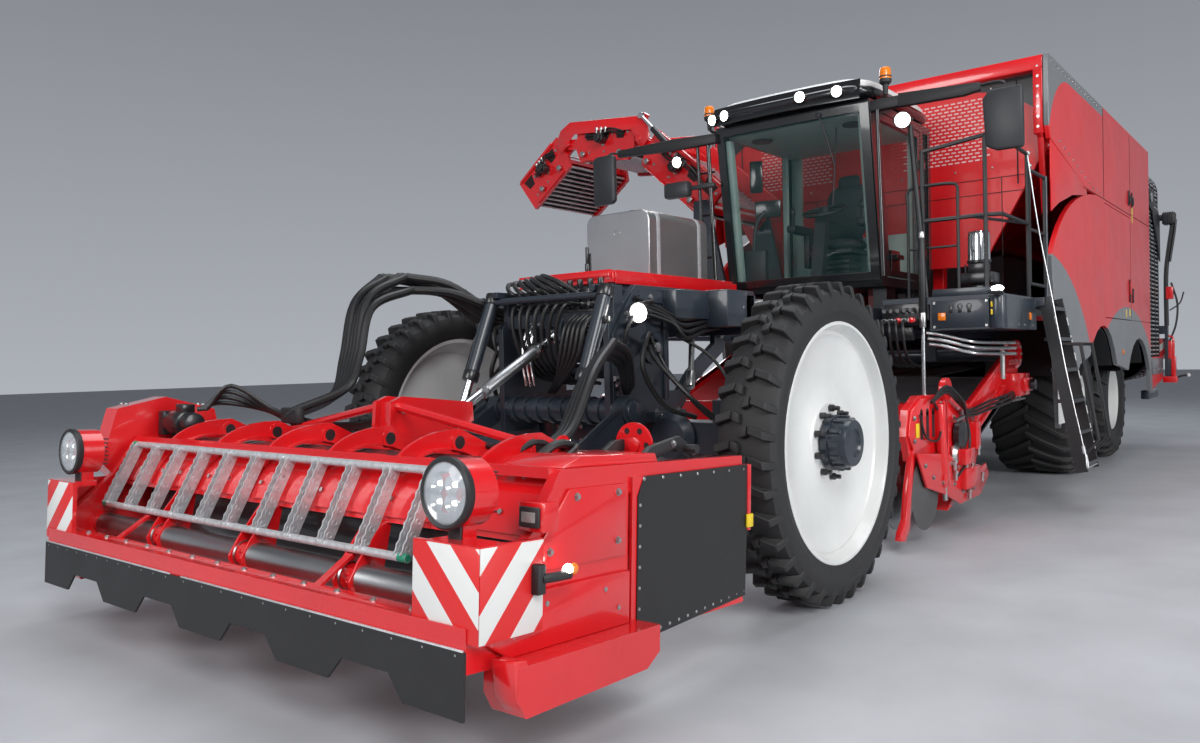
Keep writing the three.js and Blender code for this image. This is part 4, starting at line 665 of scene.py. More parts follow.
@dataclass
class Workpiece:
    """One piece being made from bmesh operators, in machine coordinates."""

    name: str
    drawing: Matrix = field(default_factory=lambda: Matrix.Identity(4))
    mesh: bmesh.types.BMesh = field(default_factory=bmesh.new)

    def move(self, verts: Iterable[bmesh.types.BMVert], matrix: Matrix) -> list[bmesh.types.BMVert]:
        """Transforms some vertices."""
        verts = list(verts)
        bmesh.ops.transform(self.mesh, matrix=matrix, verts=verts)
        return verts

    def soften(self, verts: Iterable[bmesh.types.BMVert], width: float, segments: int = 2,
               limit: float = 0.5) -> None:
        """Rounds the sharp edges between the given vertices."""
        chosen = set(verts)
        edges = [e for e in self.mesh.edges if e.verts[0] in chosen and e.verts[1] in chosen
                 and len(e.link_faces) == 2 and e.calc_face_angle(0) > limit]
        if edges:
            bmesh.ops.bevel(self.mesh, geom=edges, offset=width, offset_type="OFFSET", segments=segments,
                            profile=0.5, affect="EDGES", material=-1, clamp_overlap=True)

    def block(self, x: Span, y: Span, z: Span, round_by: float = 0.0,
              turn: Matrix | None = None) -> "Workpiece":
        """A box between the given limits, its edges rounded, turned about its middle."""
        sizes = [high - low for low, high in (x, y, z)]
        middle = Vector([(low + high) / 2 for low, high in (x, y, z)])
        made = bmesh.ops.create_cube(self.mesh, size=1.0)["verts"]
        matrix = Matrix.Translation(middle) @ (turn or Matrix.Identity(4)) @ Matrix.Diagonal((*sizes, 1))
        self.move(made, matrix)
        if round_by:
            self.soften(made, round_by)
        return self

    def rod(self, start: Point, end: Point, radius: float, sides: int = 16, end_radius: float | None = None,
            round_by: float = 0.0) -> "Workpiece":
        """A round bar or a cone from start to end."""
        a, b = Vector(start), Vector(end)
        made = bmesh.ops.create_cone(self.mesh, cap_ends=True, segments=sides, radius1=radius,
                                     radius2=radius if end_radius is None else end_radius,
                                     depth=(b - a).length)["verts"]
        turn = Vector((0, 0, 1)).rotation_difference(b - a).to_matrix().to_4x4()
        self.move(made, Matrix.Translation((a + b) / 2) @ turn)
        if round_by:
            self.soften(made, round_by, limit=1.0)
        return self

    def hose(self, points: Sequence[Point], radius: float, sides: int = 8, steps: int = 6) -> "Workpiece":
        """A tube that follows a smooth curve, closed at both ends."""
        route = smooth_route(points, steps)
        ring = bmesh.ops.create_circle(self.mesh, cap_ends=False, segments=sides, radius=radius)["verts"]
        heading = (route[1] - route[0]).normalized()
        turn = Vector((0, 0, 1)).rotation_difference(heading).to_matrix()
        self.move(ring, Matrix.Translation(route[0]) @ turn.to_4x4())
        edges = list({e for v in ring for e in v.link_edges})
        bmesh.ops.holes_fill(self.mesh, edges=edges, sides=0)
        for i in range(1, len(route)):
            ahead = (route[min(i + 1, len(route) - 1)] - route[i - 1]).normalized()
            made = bmesh.ops.extrude_edge_only(self.mesh, edges=edges)["geom"]
            verts = [g for g in made if isinstance(g, bmesh.types.BMVert)]
            edges = [g for g in made if isinstance(g, bmesh.types.BMEdge)]
            bend = heading.rotation_difference(ahead).to_matrix().to_4x4()
            self.move(verts, Matrix.Translation(route[i]) @ bend @ Matrix.Translation(-route[i - 1]))
            heading = ahead
        bmesh.ops.holes_fill(self.mesh, edges=edges, sides=0)
        return self

    def plate(self, outline: Sequence[Flat], across: str, span: Span, round_by: float = 0.0) -> "Workpiece":
        """A flat shape given thickness along the axis `across`; the outline uses the other two."""
        spots = []
        for first, second in outline:
            spots.append({"x": (span[0], first, second), "y": (first, span[0], second),
                          "z": (first, second, span[0])}[across])
        corners = [self.mesh.verts.new(spot) for spot in spots]
        face = self.mesh.faces.new(corners)
        made = bmesh.ops.extrude_face_region(self.mesh, geom=[face])["geom"]
        moved = [g for g in made if isinstance(g, bmesh.types.BMVert)]
        bmesh.ops.translate(self.mesh, verts=moved, vec=AXIS_VECTORS[across] * (span[1] - span[0]))
        if round_by:
            self.soften([*corners, *moved], round_by)
        return self

    def lathe(self, profile: Sequence[Flat], centre: Point, axis: str = "y", steps: int = 48,
              closed: bool = True) -> "Workpiece":
        """Spins a profile of (radius, distance along the axis) once round."""
        direction = AXIS_VECTORS[axis]
        side = AXIS_VECTORS["z" if axis != "z" else "x"]
        middle = Vector(centre)
        verts = [self.mesh.verts.new(middle + side * radius + direction * along) for radius, along in profile]
        pairs = list(zip(verts, verts[1:]))
        if closed:
            pairs.append((verts[-1], verts[0]))
        edges = [self.mesh.edges.new(pair) for pair in pairs]
        bmesh.ops.spin(self.mesh, geom=[*verts, *edges], cent=middle, axis=direction,
                       angle=2 * math.pi, steps=steps, use_merge=True)
        return self

    def dome(self, centre: Point, radii: Point, segments: int = 20) -> "Workpiece":
        """A ball or egg."""
        made = bmesh.ops.create_uvsphere(self.mesh, u_segments=segments, v_segments=segments // 2,
                                         radius=1.0)["verts"]
        self.move(made, Matrix.Translation(centre) @ Matrix.Diagonal((*radii, 1)))
        return self

    def shell(self, centre: Point, radii: Point, plan: float, rise: float, segments: int = 40) -> "Workpiece":
        """A rounded box: an egg whose outline is squared in plan and in height by the two powers."""
        made = bmesh.ops.create_uvsphere(self.mesh, u_segments=segments, v_segments=segments // 2,
                                         radius=1.0)["verts"]
        for vert in made:
            x, y, z = (abs(c) for c in vert.co)
            level = (x ** plan + y ** plan) ** (rise / plan) + z ** rise
            vert.co *= level ** (-1 / rise)
        self.move(made, Matrix.Translation(centre) @ Matrix.Diagonal((*radii, 1)))
        return self

    def pane(self, y: Span, z: Span, x_at: Callable[[float, float], float], thickness: float,
             cuts: int = 12) -> "Workpiece":
        """A sheet across the machine whose X follows a function of Y and Z."""
        made = bmesh.ops.create_grid(self.mesh, x_segments=cuts, y_segments=cuts, size=0.5)["verts"]
        for vert in made:
            across = y[0] + (vert.co.x + 0.5) * (y[1] - y[0])
            height = z[0] + (vert.co.y + 0.5) * (z[1] - z[0])
            vert.co = (x_at(across, height), across, height)
        faces = list({face for vert in made for face in vert.link_faces})
        bmesh.ops.solidify(self.mesh, geom=faces, thickness=thickness)
        return self

    def bolt(self, place: Point, axis: str, size: float = 0.012, out: int = 1) -> "Workpiece":
        """A hexagon head on a washer, standing out along the axis."""
        at, way = Vector(place), AXIS_VECTORS[axis] * out
        self.rod(at, at + way * size * 0.25, size * 1.35, 12)
        return self.rod(at + way * size * 0.2, at + way * size, size, 6, size * 0.9)

    def repeat(self, shape: "Workpiece", matrices: Iterable[Matrix], keep: bool = False) -> "Workpiece":
        """Adds a copy of another workpiece at each matrix, and frees it unless it is to be kept."""
        model = bpy.data.meshes.new("pattern")
        shape.mesh.to_mesh(model)
        if not keep:
            shape.mesh.free()
        for matrix in matrices:
            placed = model.copy()
            placed.transform(matrix)
            self.mesh.from_mesh(placed)
            bpy.data.meshes.remove(placed)
        bpy.data.meshes.remove(model)
        return self

    def deliver(self, finish: Finish, body: str | None, slot: Slot, *, replaces: Sequence[str] = (),
                outward: bool = True) -> bpy.types.Object:
        """Turns the workpiece into a finished object on its body.

        Args:
            finish: What it is dressed in.
            body: The body that it rides on, or None for a piece that is left without one.
            slot: The record's slot its finish belongs to; not used.
            replaces: CAD nodes that it stands for.
            outward: Whether its faces are turned to point out.

        Returns:
            The new object.
        """
        bmesh.ops.remove_doubles(self.mesh, verts=self.mesh.verts, dist=MERGE_DISTANCE)
        if outward:
            bmesh.ops.recalc_face_normals(self.mesh, faces=self.mesh.faces)
        for edge in self.mesh.edges:
            edge.smooth = edge.calc_face_angle(0) < SHARP_ANGLE
        for face in self.mesh.faces:
            face.smooth = True
        bmesh.ops.transform(self.mesh, matrix=ORIGIN @ self.drawing, verts=self.mesh.verts)
        data = bpy.data.meshes.new(self.name)
        self.mesh.to_mesh(data)
        self.mesh.free()
        piece = bpy.data.objects.new(self.name, data)
        bpy.context.scene.collection.objects.link(piece)
        data.materials.append(finish.material())
        if body:
            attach(piece, body)
        if replaces:
            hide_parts(*replaces)
        log.info("%s: %d faces on %s", self.name, len(data.polygons), body)
        return piece


def dress(node: str, finish: Finish) -> None:
    """Gives a CAD node a finish."""
    data = frame["nodes"][node].data
    data.materials.clear()
    data.materials.append(finish.material())


def refine(node: str, finish: Finish, body: str, slot: Slot, edge: float = 0.0) -> bpy.types.Object:
    """Stands a merged, smooth-shaded copy in for a CAD node, its sharp edges rounded if `edge` is given.

    Args:
        node: The CAD node.
        finish: What the copy is dressed in.
        body: The body that it rides on.
        slot: The record's slot of its finish.
        edge: Width of the rounding in metres.

    Returns:
        The copy.
    """
    made = Workpiece(f"{node}_skin")
    made.mesh.from_mesh(frame["nodes"][node].data)
    bmesh.ops.remove_doubles(made.mesh, verts=made.mesh.verts, dist=1e-5)
    bmesh.ops.dissolve_limit(made.mesh, angle_limit=math.radians(1.0), verts=made.mesh.verts,
                             edges=made.mesh.edges)
    made.move(made.mesh.verts, ORIGIN.inverted())
    piece = made.deliver(finish, body, slot, replaces=[node], outward=False)
    if edge:
        rounding = piece.modifiers.new("Edges", "BEVEL")
        rounding.width = edge
        rounding.segments = 2
        rounding.limit_method = "ANGLE"
        rounding.angle_limit = math.radians(40)
        rounding.harden_normals = False
    return piece


# ------------------------------------------------------------------------ wheels
class TreadKind(Enum):
    """How a tyre's lugs are laid."""

    BLOCKS = "blocks"
    CHEVRONS = "chevrons"


@dataclass
class Wheel:
    """A tyre with its lugs, a rim with its dish, and a hub."""

    name: str
    centre: Point
    side: int
    radius: float
    width: float
    rim: float
    dish: float
    hub_radius: float
    hub_out: float
    tread: TreadKind
    lugs: int
    depth: float
    steps: int = 72

    def across(self, profile: Sequence[Flat]) -> list[Flat]:
        """The profile with its distances counted outwards on this side."""
        return [(radius, along * self.side) for radius, along in profile]

    def tyre(self) -> None:
        """Carcass with sidewall rings, and the lugs standing on it."""
        half = self.width / 2
        carcass = self.radius - self.depth
        wall = carcass - self.rim
        piece = Workpiece(f"{self.name}_tyre")
        piece.lathe(self.across([(self.rim - 0.004, -half * 0.86), (self.rim + wall * 0.12, -half * 0.93),
                                 (self.rim + wall * 0.45, -half), (self.rim + wall * 0.72, -half * 0.97),
                                 (carcass - wall * 0.12, -half * 0.9), (carcass, -half * 0.62),
                                 (carcass + 0.004, 0), (carcass, half * 0.62),
                                 (carcass - wall * 0.12, half * 0.9),
                                 (self.rim + wall * 0.72, half * 0.97),
                                 (self.rim + wall * 0.7, half * 0.985), (self.rim + wall * 0.45, half),
                                 (self.rim + wall * 0.3, half * 0.985),
                                 (self.rim + wall * 0.28, half * 0.965),
                                 (self.rim + wall * 0.12, half * 0.93), (self.rim - 0.004, half * 0.86)]),
                    self.centre, steps=self.steps)
        if self.tread is TreadKind.BLOCKS:
            self.block_lugs(piece, half, carcass)
        else:
            self.chevron_lugs(piece, half, carcass)
        piece.deliver(TYRE, self.name, Slot.TYRE, replaces=[self.name])

    def turns(self, count: int, shift: float = 0.0) -> list[Matrix]:
        """Matrices that step once round the wheel."""
        there = Matrix.Translation(self.centre)
        return [there @ Matrix.Rotation(2 * math.pi * (i + shift) / count, 4, "Y") for i in range(count)]

    def wrap(self, lug: Workpiece) -> Workpiece:
        """Bends a lug that is drawn along X round the wheel's own circle."""
        for vert in lug.mesh.verts:
            angle = vert.co.x / self.radius
            vert.co.x, vert.co.z = vert.co.z * math.sin(angle), vert.co.z * math.cos(angle)
        return lug

    def block_lugs(self, piece: Workpiece, half: float, carcass: float) -> None:
        """Short slanted blocks over the crown, and shoulder blocks that run down the sidewall."""
        top = self.radius
        for side in (-1, 1):
            shoulder = Workpiece("lug")
            shoulder.plate([(carcass - 0.085, half * 0.985), (carcass - 0.03, half * 0.985),
                            (top, half * 0.84), (top, half * 0.3), (carcass - 0.02, half * 0.3),
                            (carcass - 0.085, half * 0.8)], "x", (-0.021, 0.021))
            shoulder.soften(shoulder.mesh.verts, 0.005, 1)
            shoulder.move(shoulder.mesh.verts,
                          Matrix(((1, 0, 0, 0), (0, 0, side, 0), (0, 1, 0, 0), (0, 0, 0, 1))))
            slant = Matrix.Identity(4)
            slant[0][1] = 0.32 * side
            shoulder.move(shoulder.mesh.verts, slant)
            piece.repeat(self.wrap(shoulder), self.turns(self.lugs, 0.0 if side < 0 else 0.5))
            crown = Workpiece("lug")
            crown.block((-0.024, 0.024), (half * 0.02, half * 0.27), (carcass - 0.02, top), 0.005)
            crown.move(crown.mesh.verts, Matrix.Diagonal((1, side, 1, 1)))
            slant = Matrix.Identity(4)
            slant[0][1] = -0.4 * side
            crown.move(crown.mesh.verts, slant)
            piece.repeat(self.wrap(crown), self.turns(self.lugs, 0.25 if side < 0 else 0.75))

    def chevron_lugs(self, piece: Workpiece, half: float, carcass: float) -> None:
        """Long bars that meet in arrows at the crown."""
        top = self.radius
        for side in (-1, 1):
            bar = Workpiece("lug")
            bar.plate([(half * 0.99, carcass - 0.11), (half * 0.985, carcass - 0.035),
                       (half * 0.82, top - 0.012), (half * 0.3, top), (-half * 0.05, top),
                       (-half * 0.05, carcass - 0.02), (half * 0.7, carcass - 0.02),
                       (half * 0.9, carcass - 0.11)], "x", (-0.03, 0.03))
            bar.soften(bar.mesh.verts, 0.007, 1)
            bar.move(bar.mesh.verts, Matrix.Diagonal((1, side, 1, 1)))
            slant = Matrix.Identity(4)
            slant[0][1] = 0.62 * side
            bar.move(bar.mesh.verts, slant)
            piece.repeat(self.wrap(bar), self.turns(self.lugs, 0.0 if side < 0 else 0.5))

    def rim_and_hub(self) -> None:
        """White rim with a stepped flange and a coned dish, a dark hub and its studs."""
        half = self.width / 2
        rim, hub = self.rim, self.hub_radius
        shell = Workpiece(f"{self.name}_rim")
        shell.lathe(self.across([(rim, -half * 0.86), (rim, half * 0.86), (rim - 0.004, half * 0.885),
                                 (rim - 0.018, half * 0.885), (rim - 0.024, half * 0.8),
                                 (rim * 0.955, half * 0.7), (rim * 0.93, half * 0.45),
                                 (rim * 0.9, self.dish + 0.045), (rim * 0.86, self.dish + 0.026),
                                 (rim * 0.5, self.dish + 0.006), (hub + 0.09, self.dish + 0.018),
                                 (hub + 0.075, self.dish + 0.03), (hub - 0.01, self.dish + 0.03),
                                 (hub - 0.01, self.dish - 0.02), (rim * 0.84, self.dish - 0.014),
                                 (rim * 0.9, -half * 0.2), (rim - 0.03, -half * 0.8)]), self.centre,
                    steps=self.steps)
        shell.deliver(WHITE, self.name, Slot.TYRE)
        core = Workpiece(f"{self.name}_hub")
        out, inner = self.hub_out, self.dish - 0.09
        core.lathe(self.across([(POLE, inner), (hub, inner), (hub, self.dish + 0.035),
                                (hub + 0.012, self.dish + 0.04), (hub + 0.012, self.dish + 0.075),
                                (hub - 0.004, self.dish + 0.08), (hub - 0.004, out - 0.03),
                                (hub - 0.016, out - 0.004), (hub * 0.55, out), (hub * 0.5, out - 0.012),
                                (POLE, out - 0.012)]), self.centre, steps=48)
        flats = Workpiece("flat").block((-0.012, 0.012),
                                        (self.side * (self.dish + 0.085), self.side * (out - 0.03)),
                                        (hub - 0.012, hub + 0.008), 0.003)
        core.repeat(flats, self.turns(12))
        core.deliver(SLATE, self.name, Slot.DARK)
        studs = Workpiece(f"{self.name}_studs")
        stud = Workpiece("stud")
        face = self.dish + 0.03
        stud.rod((0, self.side * (face - 0.01), hub + 0.047),
                 (0, self.side * (face + 0.058), hub + 0.047), 0.012, 10)
        stud.rod((0, self.side * (face - 0.004), hub + 0.047),
                 (0, self.side * (face + 0.03), hub + 0.047), 0.02, 6, round_by=0.003)
        studs.repeat(stud, self.turns(10))
        cap = Workpiece("cap").bolt((0, self.side * (out - 0.012), hub * 0.75), "y", 0.009, self.side)
        studs.repeat(cap, self.turns(8))
        studs.deliver(BLACK, self.name, Slot.DARK)

    def build(self) -> None:
        """All of the wheel."""
        self.tyre()
        self.rim_and_hub()


def build_wheels() -> None:
    """Two tall front wheels and four wide rear ones."""
    for label, side in SIDES.items():
        Wheel(f"front_{label}_wheel", (0, 1.5 * side, 0.875), side, 0.875, 0.32, 0.66, 0.04, 0.14, 0.215,
              TreadKind.BLOCKS, 38, 0.036).build()
        for row, x in (("middle", -6.4), ("rear", -8.35)):
            Wheel(f"{row}_{label}_wheel", (x, 1.15 * side, 0.745), side, 0.745, 0.8, 0.395, 0.12, 0.15, 0.21,
                  TreadKind.CHEVRONS, 24, 0.042).build()


# ------------------------------------------------------------------------ header
@dataclass
class Header:
    """The folding haulm topper at the front, drawn level and then pitched."""

    body: str = "header"
    inner: float = 1.575
    drum: Flat = (2.09, 0.56)
    cover: float = 0.34
    lamp_z: float = 0.835
    arch_places: tuple[float, ...] = (-1.2, -0.72, -0.24, 0.24, 0.72, 1.2)

    def piece(self, name: str) -> Workpiece:
        """A workpiece that is drawn level and pitched when it is delivered."""
        return Workpiece(name, PITCHED)

    def frame_skin(self) -> None:
        """The red frame itself."""
        refine("header_frame", RED, self.body, Slot.RED, 0.003)
        refine("topper_rotor", BLACK, "topper_rotor", Slot.BLACK)

    def drum_cover(self) -> None:
        """Black curved sheets between the red arches, each with a folded lip and a seam."""
        edges = [-self.inner, *self.arch_places, self.inner]
        x, z = self.drum
        sheets = self.piece("drum_cover_sheets")
        for low, high in zip(edges, edges[1:]):
            left, right = low + 0.02, high - 0.02
            outline = [*arc((x, z), self.cover + 0.004, 66, 150, 10),
                       *arc((x, z), self.cover + 0.001, 150, 66, 10)]
            sheets.plate(outline, "y", (left, right))
        sheets.deliver(BLACK, self.body, Slot.BLACK)
        lips = self.piece("drum_cover_front_guard")
        for low, high in zip(edges, edges[1:]):
            lips.plate([*arc((x, z), self.cover + 0.012, 18, 62, 8),
                        *arc((x, z), self.cover + 0.002, 62, 18, 8)], "y", (low + 0.03, high - 0.03))
        lips.deliver(RED, self.body, Slot.RED)
        bolts = self.piece("drum_cover_bolts")
        for low, high in zip(edges, edges[1:]):
            for y in (low + 0.05, (low + high) / 2, high - 0.05):
                for degrees in (58, 30):
                    at = arc((x, z), self.cover + 0.01, degrees, degrees, 1)[0]
                    bolts.rod((at[0] - 0.002, y, at[1]),
                              (at[0] + 0.012 * math.cos(math.radians(degrees)), y,
                               at[1] + 0.012 * math.sin(math.radians(degrees))), 0.011, 6)
        bolts.deliver(BOLT_ZINC, self.body, Slot.STEEL)

    def arches(self) -> None:
        """Folded red brackets over the cover, each with a round hole and a flange; the hole is filled with a
        black disc of painted shade.
        """
        brackets = self.piece("arch_flanges")
        x, z = self.drum
        for y in self.arch_places:
            rim = [*arc((x, z), self.cover + 0.03, 62, 138, 9), *arc((x, z), self.cover + 0.022, 138, 62, 9)]
            brackets.plate(rim, "y", (y - 0.035, y + 0.035))
            brackets.lathe([(0.03, -0.014), (0.046, -0.014), (0.046, 0.014), (0.03, 0.014)],
                           (2.0, y, 0.95), "y", 20)
        brackets.deliver(RED, self.body, Slot.RED)
        # A black disc fills each hole: painted shade where the hole would look dark.
        holes = self.piece("arch_hole_shade")
        for y in self.arch_places:
            holes.rod((2.0, y - 0.0125, 0.95), (2.0, y + 0.0125, 0.95), 0.03, 18)
        holes.deliver(BLACK, self.body, Slot.BLACK)

    def feed_roller(self) -> None:
        """Worn steel roller in four lengths, with red V brackets between them and a crop guard below."""
        x, z, radius = 2.52, 0.43, 0.06
        cuts = (-self.inner + 0.02, -0.84, -0.06, 0.72, self.inner - 0.02)
        roller = self.piece("feed_roller_shells")
        for low, high in zip(cuts, cuts[1:]):
            a, b = low + 0.035, high - 0.035
            roller.lathe([(radius - 0.003, a), (radius, a), (radius + 0.004, a + 0.012),
                          (radius + 0.001, a + 0.02), (radius + 0.001, b - 0.02),
                          (radius + 0.004, b - 0.012), (radius, b), (radius - 0.003, b)], (x, 0, z), "y",
                         32)
        roller.deliver(STEEL, self.body, Slot.STEEL)
        brackets = self.piece("roller_brackets")
        for y in cuts[1:-1]:
            for lean in (-0.05, 0.05):
                brackets.plate([(2.45, 0.36), (2.58, 0.36), (2.6, 0.43), (2.56, 0.5), (2.44, 0.66),
                                (2.4, 0.64)], "y", (y + lean - 0.006, y + lean + 0.006), 0.002)
            brackets.block((2.555, 2.567), (y - 0.056, y + 0.056), (0.4, 0.475), 0.002)
            brackets.bolt((2.567, y, 0.452), "x", 0.011)
            brackets.bolt((2.567, y, 0.42), "x", 0.011)
        brackets.deliver(RED, self.body, Slot.RED)

    def front_flap(self) -> None:
        """Notched rubber flap, clamped by two bolted steel strips."""
        front, half, bottom, top, notch = 2.7755, 1.625, 0.138, 0.353, 0.085
        outline = [(-half, top), (-half, bottom)]
        for row in range(4):
            y = (row - 1.5) * 0.75
            outline += [(y - 0.21, bottom), (y - 0.13, bottom + notch), (y + 0.13, bottom + notch),
                        (y + 0.21, bottom)]
        outline += [(half, bottom), (half, top)]
        sheet = self.piece("flap_sheet")
        sheet.plate(outline, "x", (front, front + 0.0105))
        sheet.deliver(RUBBER, self.body, Slot.RUBBER, replaces=["header_flap"])
        strips = self.piece("flap_strips")
        for low, high in ((-half + 0.01, -0.27), (-0.17, half - 0.01)):
            strips.block((front + 0.0008, front + 0.0095), (low, high), (top - 0.034, top + 0.006), 0.001)
        strips.deliver(ZINC, self.body, Slot.STEEL)
        bolts = self.piece("flap_bolts")
        for low, high in ((-half + 0.01, -0.27), (-0.17, half - 0.01)):
            count = 12
            for i in range(count):
                y = low + 0.03 + (high - low - 0.06) * i / (count - 1)
                bolts.dome((front + 0.006, y, top - 0.014), (0.0052, 0.0105, 0.0105), 10)
        bolts.deliver(BOLT_ZINC, self.body, Slot.STEEL)

    def side_flap(self, side: int) -> None:
        """Rubber sheet behind the red side panel, with a row of rivets round its edge."""
        label = "left" if side > 0 else "right"
        y = 1.62
        span = sorted((side * (y + 0.0005), side * (y + 0.014)))
        sheet = self.piece(f"{label}_side_flap_sheet")
        sheet.plate([(1.08, 0.27), (1.86, 0.215), (1.9, 0.3), (1.9, 0.775), (1.86, 0.85), (1.06, 0.86)],
                    "y", tuple(span))
        for v in list(sheet.mesh.verts):
            v.co.y += side * 0.005 * (1 + math.sin((v.co.x - 1.05) * 7))
        sheet.deliver(RUBBER, self.body, Slot.RUBBER)
        rivets = self.piece(f"{label}_side_flap_rivets")
        for i in range(13):
            t = i / 12
            rivets.dome((1.09 + 0.78 * t, side * (y + 0.016), 0.29 - 0.055 * t), (0.008, 0.005, 0.008), 8)
            if i % 2 == 0:
                rivets.dome((1.1 + 0.76 * t, side * (y + 0.016), 0.84), (0.008, 0.005, 0.008), 8)
        for i in range(6):
            rivets.dome((1.885, side * (y + 0.016), 0.34 + 0.08 * i), (0.008, 0.005, 0.008), 8)
        rivets.deliver(BOLT_ZINC, self.body, Slot.STEEL)
        bracket = self.piece(f"{label}_rear_reflector_arm")
        bracket.block((1.04, 1.07), ordered(side * 1.6, side * 1.645), (0.56, 0.86), 0.004)
        bracket.deliver(RED, self.body, Slot.RED)
        reflector = self.piece(f"{label}_rear_reflector")
        reflector.block((1.03, 1.085), ordered(side * 1.642, side * 1.652), (0.575, 0.635), 0.003)
        reflector.deliver(YELLOW, self.body, Slot.RED)

    def side_panel(self, side: int) -> None:
        """Folds of the red end plate: raised upper field, crease, lower skirt and its bolts."""
        label = "left" if side > 0 else "right"
        y = 1.62
        panel = self.piece(f"{label}_end_panel_field")
        panel.plate([(1.97, 0.56), (2.46, 0.56), (2.44, 0.66), (2.3, 0.83), (1.97, 0.83)], "y",
                    ordered(side * y, side * (y + 0.012)), 0.003)
        panel.plate([(1.95, 0.3), (2.6, 0.3), (2.7, 0.36), (2.7, 0.39), (2.47, 0.5), (1.95, 0.5)], "y",
                    ordered(side * y, side * (y + 0.02)), 0.006)
        panel.deliver(RED, self.body, Slot.RED)
        skid = self.piece(f"{label}_skid_lip")
        skid.plate([(2.62, 0.136), (2.665, 0.2), (2.68, 0.32), (2.62, 0.318), (2.58, 0.22), (2.54, 0.17),
                    (1.99, 0.17), (1.9, 0.21), (1.885, 0.2), (1.97, 0.15)], "y",
                   ordered(side * (y + 0.02), side * (y + 0.119)), 0.004)
        skid.deliver(RED, self.body, Slot.RED)
        bolts = self.piece(f"{label}_end_panel_bolts")
        for x, z in ((2.4, 0.62), (2.02, 0.62), (2.02, 0.8), (2.26, 0.8), (2.1, 0.45), (2.42, 0.45),
                     (2.58, 0.37), (2.02, 0.37)):
            bolts.bolt((x, side * (y + 0.012), z), "y", 0.011, side)
        bolts.deliver(BOLT_ZINC, self.body, Slot.STEEL)

    def corner_board(self, side: int) -> None:
        """Striped warning board folded round the front corner."""
        label = "left" if side > 0 else "right"
        inner, outer = side * 1.352, side * 1.6675
        front = self.piece(f"{label}_board_front_sheet")
        front.block((2.765, 2.7685), ordered(inner, outer), (0.376, 0.677), 0.0015)
        lean = side
        front.deliver(StripeFinish(f"Front stripes {label}", RED.colour, 0.3, dust=0.05, along="Y", lean=lean,
                                   shift=0.0 if side > 0 else 0.05, pitch=0.232), self.body, Slot.RED)
        flank = self.piece(f"{label}_board_side_sheet")
        flank.block((2.472, 2.763), ordered(side * 1.665, side * 1.6685), (0.376, 0.677), 0.0015)
        flank.deliver(StripeFinish(f"Side stripes {label}", RED.colour, 0.3, dust=0.05, along="X",
                                   lean=1.0, shift=0.06, pitch=0.232), self.body, Slot.RED)
        marker = self.piece(f"{label}_marker_arm")
        marker.block((2.49, 2.53), ordered(side * 1.66, side * 1.7), (0.5, 0.6), 0.006)
        marker.hose([(2.5, side * 1.69, 0.55), (2.45, side * 1.71, 0.555), (2.39, side * 1.712, 0.555)],
                    0.017, 10)
        marker.deliver(MOULDED, self.body, Slot.BLACK)
        for colour, finish, place in (("amber", AMBER, 2.37), ("white", LIT, 2.4)):
            lens = self.piece(f"{label}_marker_{colour}")
            lens.dome((place, side * 1.714, 0.57), (0.024, 0.014, 0.022), 14)
            lens.deliver(finish, self.body, Slot.RED)

    def headlamp(self, side: int) -> None:
        """Round lamp with finned back, bezel, reflectors and domed lens, and a small lamp beside it."""
        label = "left" if side > 0 else "right"
        y, z = side * 1.475, self.lamp_z
        housing = self.piece(f"{label}_headlamp_housing")
        housing.lathe([(POLE, -0.135), (0.06, -0.135), (0.085, -0.1), (0.1, -0.05), (0.112, -0.01),
                       (0.119, 0.0), (0.121, 0.022), (0.113, 0.03), (0.104, 0.026), (0.1, 0.004),
                       (POLE, 0.002)], (2.72, y, z), "x", 48)
        for i in range(7):
            housing.block((2.575, 2.65), (y - 0.075, y + 0.075),
                          (z - 0.07 + i * 0.022, z - 0.064 + i * 0.022), 0.001)
        housing.block((2.66, 2.7), (y - 0.03, y + 0.03), (z - 0.17, z - 0.1), 0.005)
        housing.deliver(MOULDED, self.body, Slot.BLACK)
        cells = self.piece(f"{label}_headlamp_reflectors")
        cells.lathe([(0.001, 0.006), (0.06, 0.008), (0.098, 0.022), (0.1, 0.004), (0.001, 0.003)],
                    (2.72, y, z), "x", 40)
        for dy, dz in ((0.036, 0.03), (-0.036, 0.03), (0.036, -0.03), (-0.036, -0.03)):
            cells.lathe([(0.005, 0.01), (0.022, 0.014), (0.03, 0.026), (0.033, 0.026), (0.025, 0.008),
                         (0.005, 0.006)], (2.72, y + dy, z + dz), "x", 20)
        cells.deliver(CHROME, self.body, Slot.STEEL)
        leds = self.piece(f"{label}_headlamp_leds")
        for dy, dz in ((0.036, 0.03), (-0.036, 0.03), (0.036, -0.03), (-0.036, -0.03)):
            leds.dome((2.735, y + dy, z + dz), (0.006, 0.009, 0.009), 10)
        leds.deliver(LampFinish("Headlamp light", (1.0, 0.98, 0.92), 0.2, dust=0.0, strength=2.5),
                     self.body, Slot.STEEL)
        glass = self.piece(f"{label}_headlamp_lens")
        glass.lathe([(POLE, 0.044), (0.05, 0.041), (0.085, 0.034), (0.103, 0.024), (0.103, 0.02),
                     (0.085, 0.03), (0.05, 0.037), (POLE, 0.04)], (2.72, y, z), "x", 40)
        glass.deliver(CLEAR, self.body, Slot.STEEL)
        small = self.piece(f"{label}_side_lamp_frame")
        low, high = sorted((side * 1.575, side * 1.69))
        if side > 0:
            small.block((2.42, 2.5), (low, high), (0.7, 0.8), 0.006)
            small.deliver(RED, self.body, Slot.RED)
            face = self.piece(f"{label}_side_lamp")
            face.block((2.498, 2.512), (low + 0.012, high - 0.012), (0.715, 0.785), 0.006)
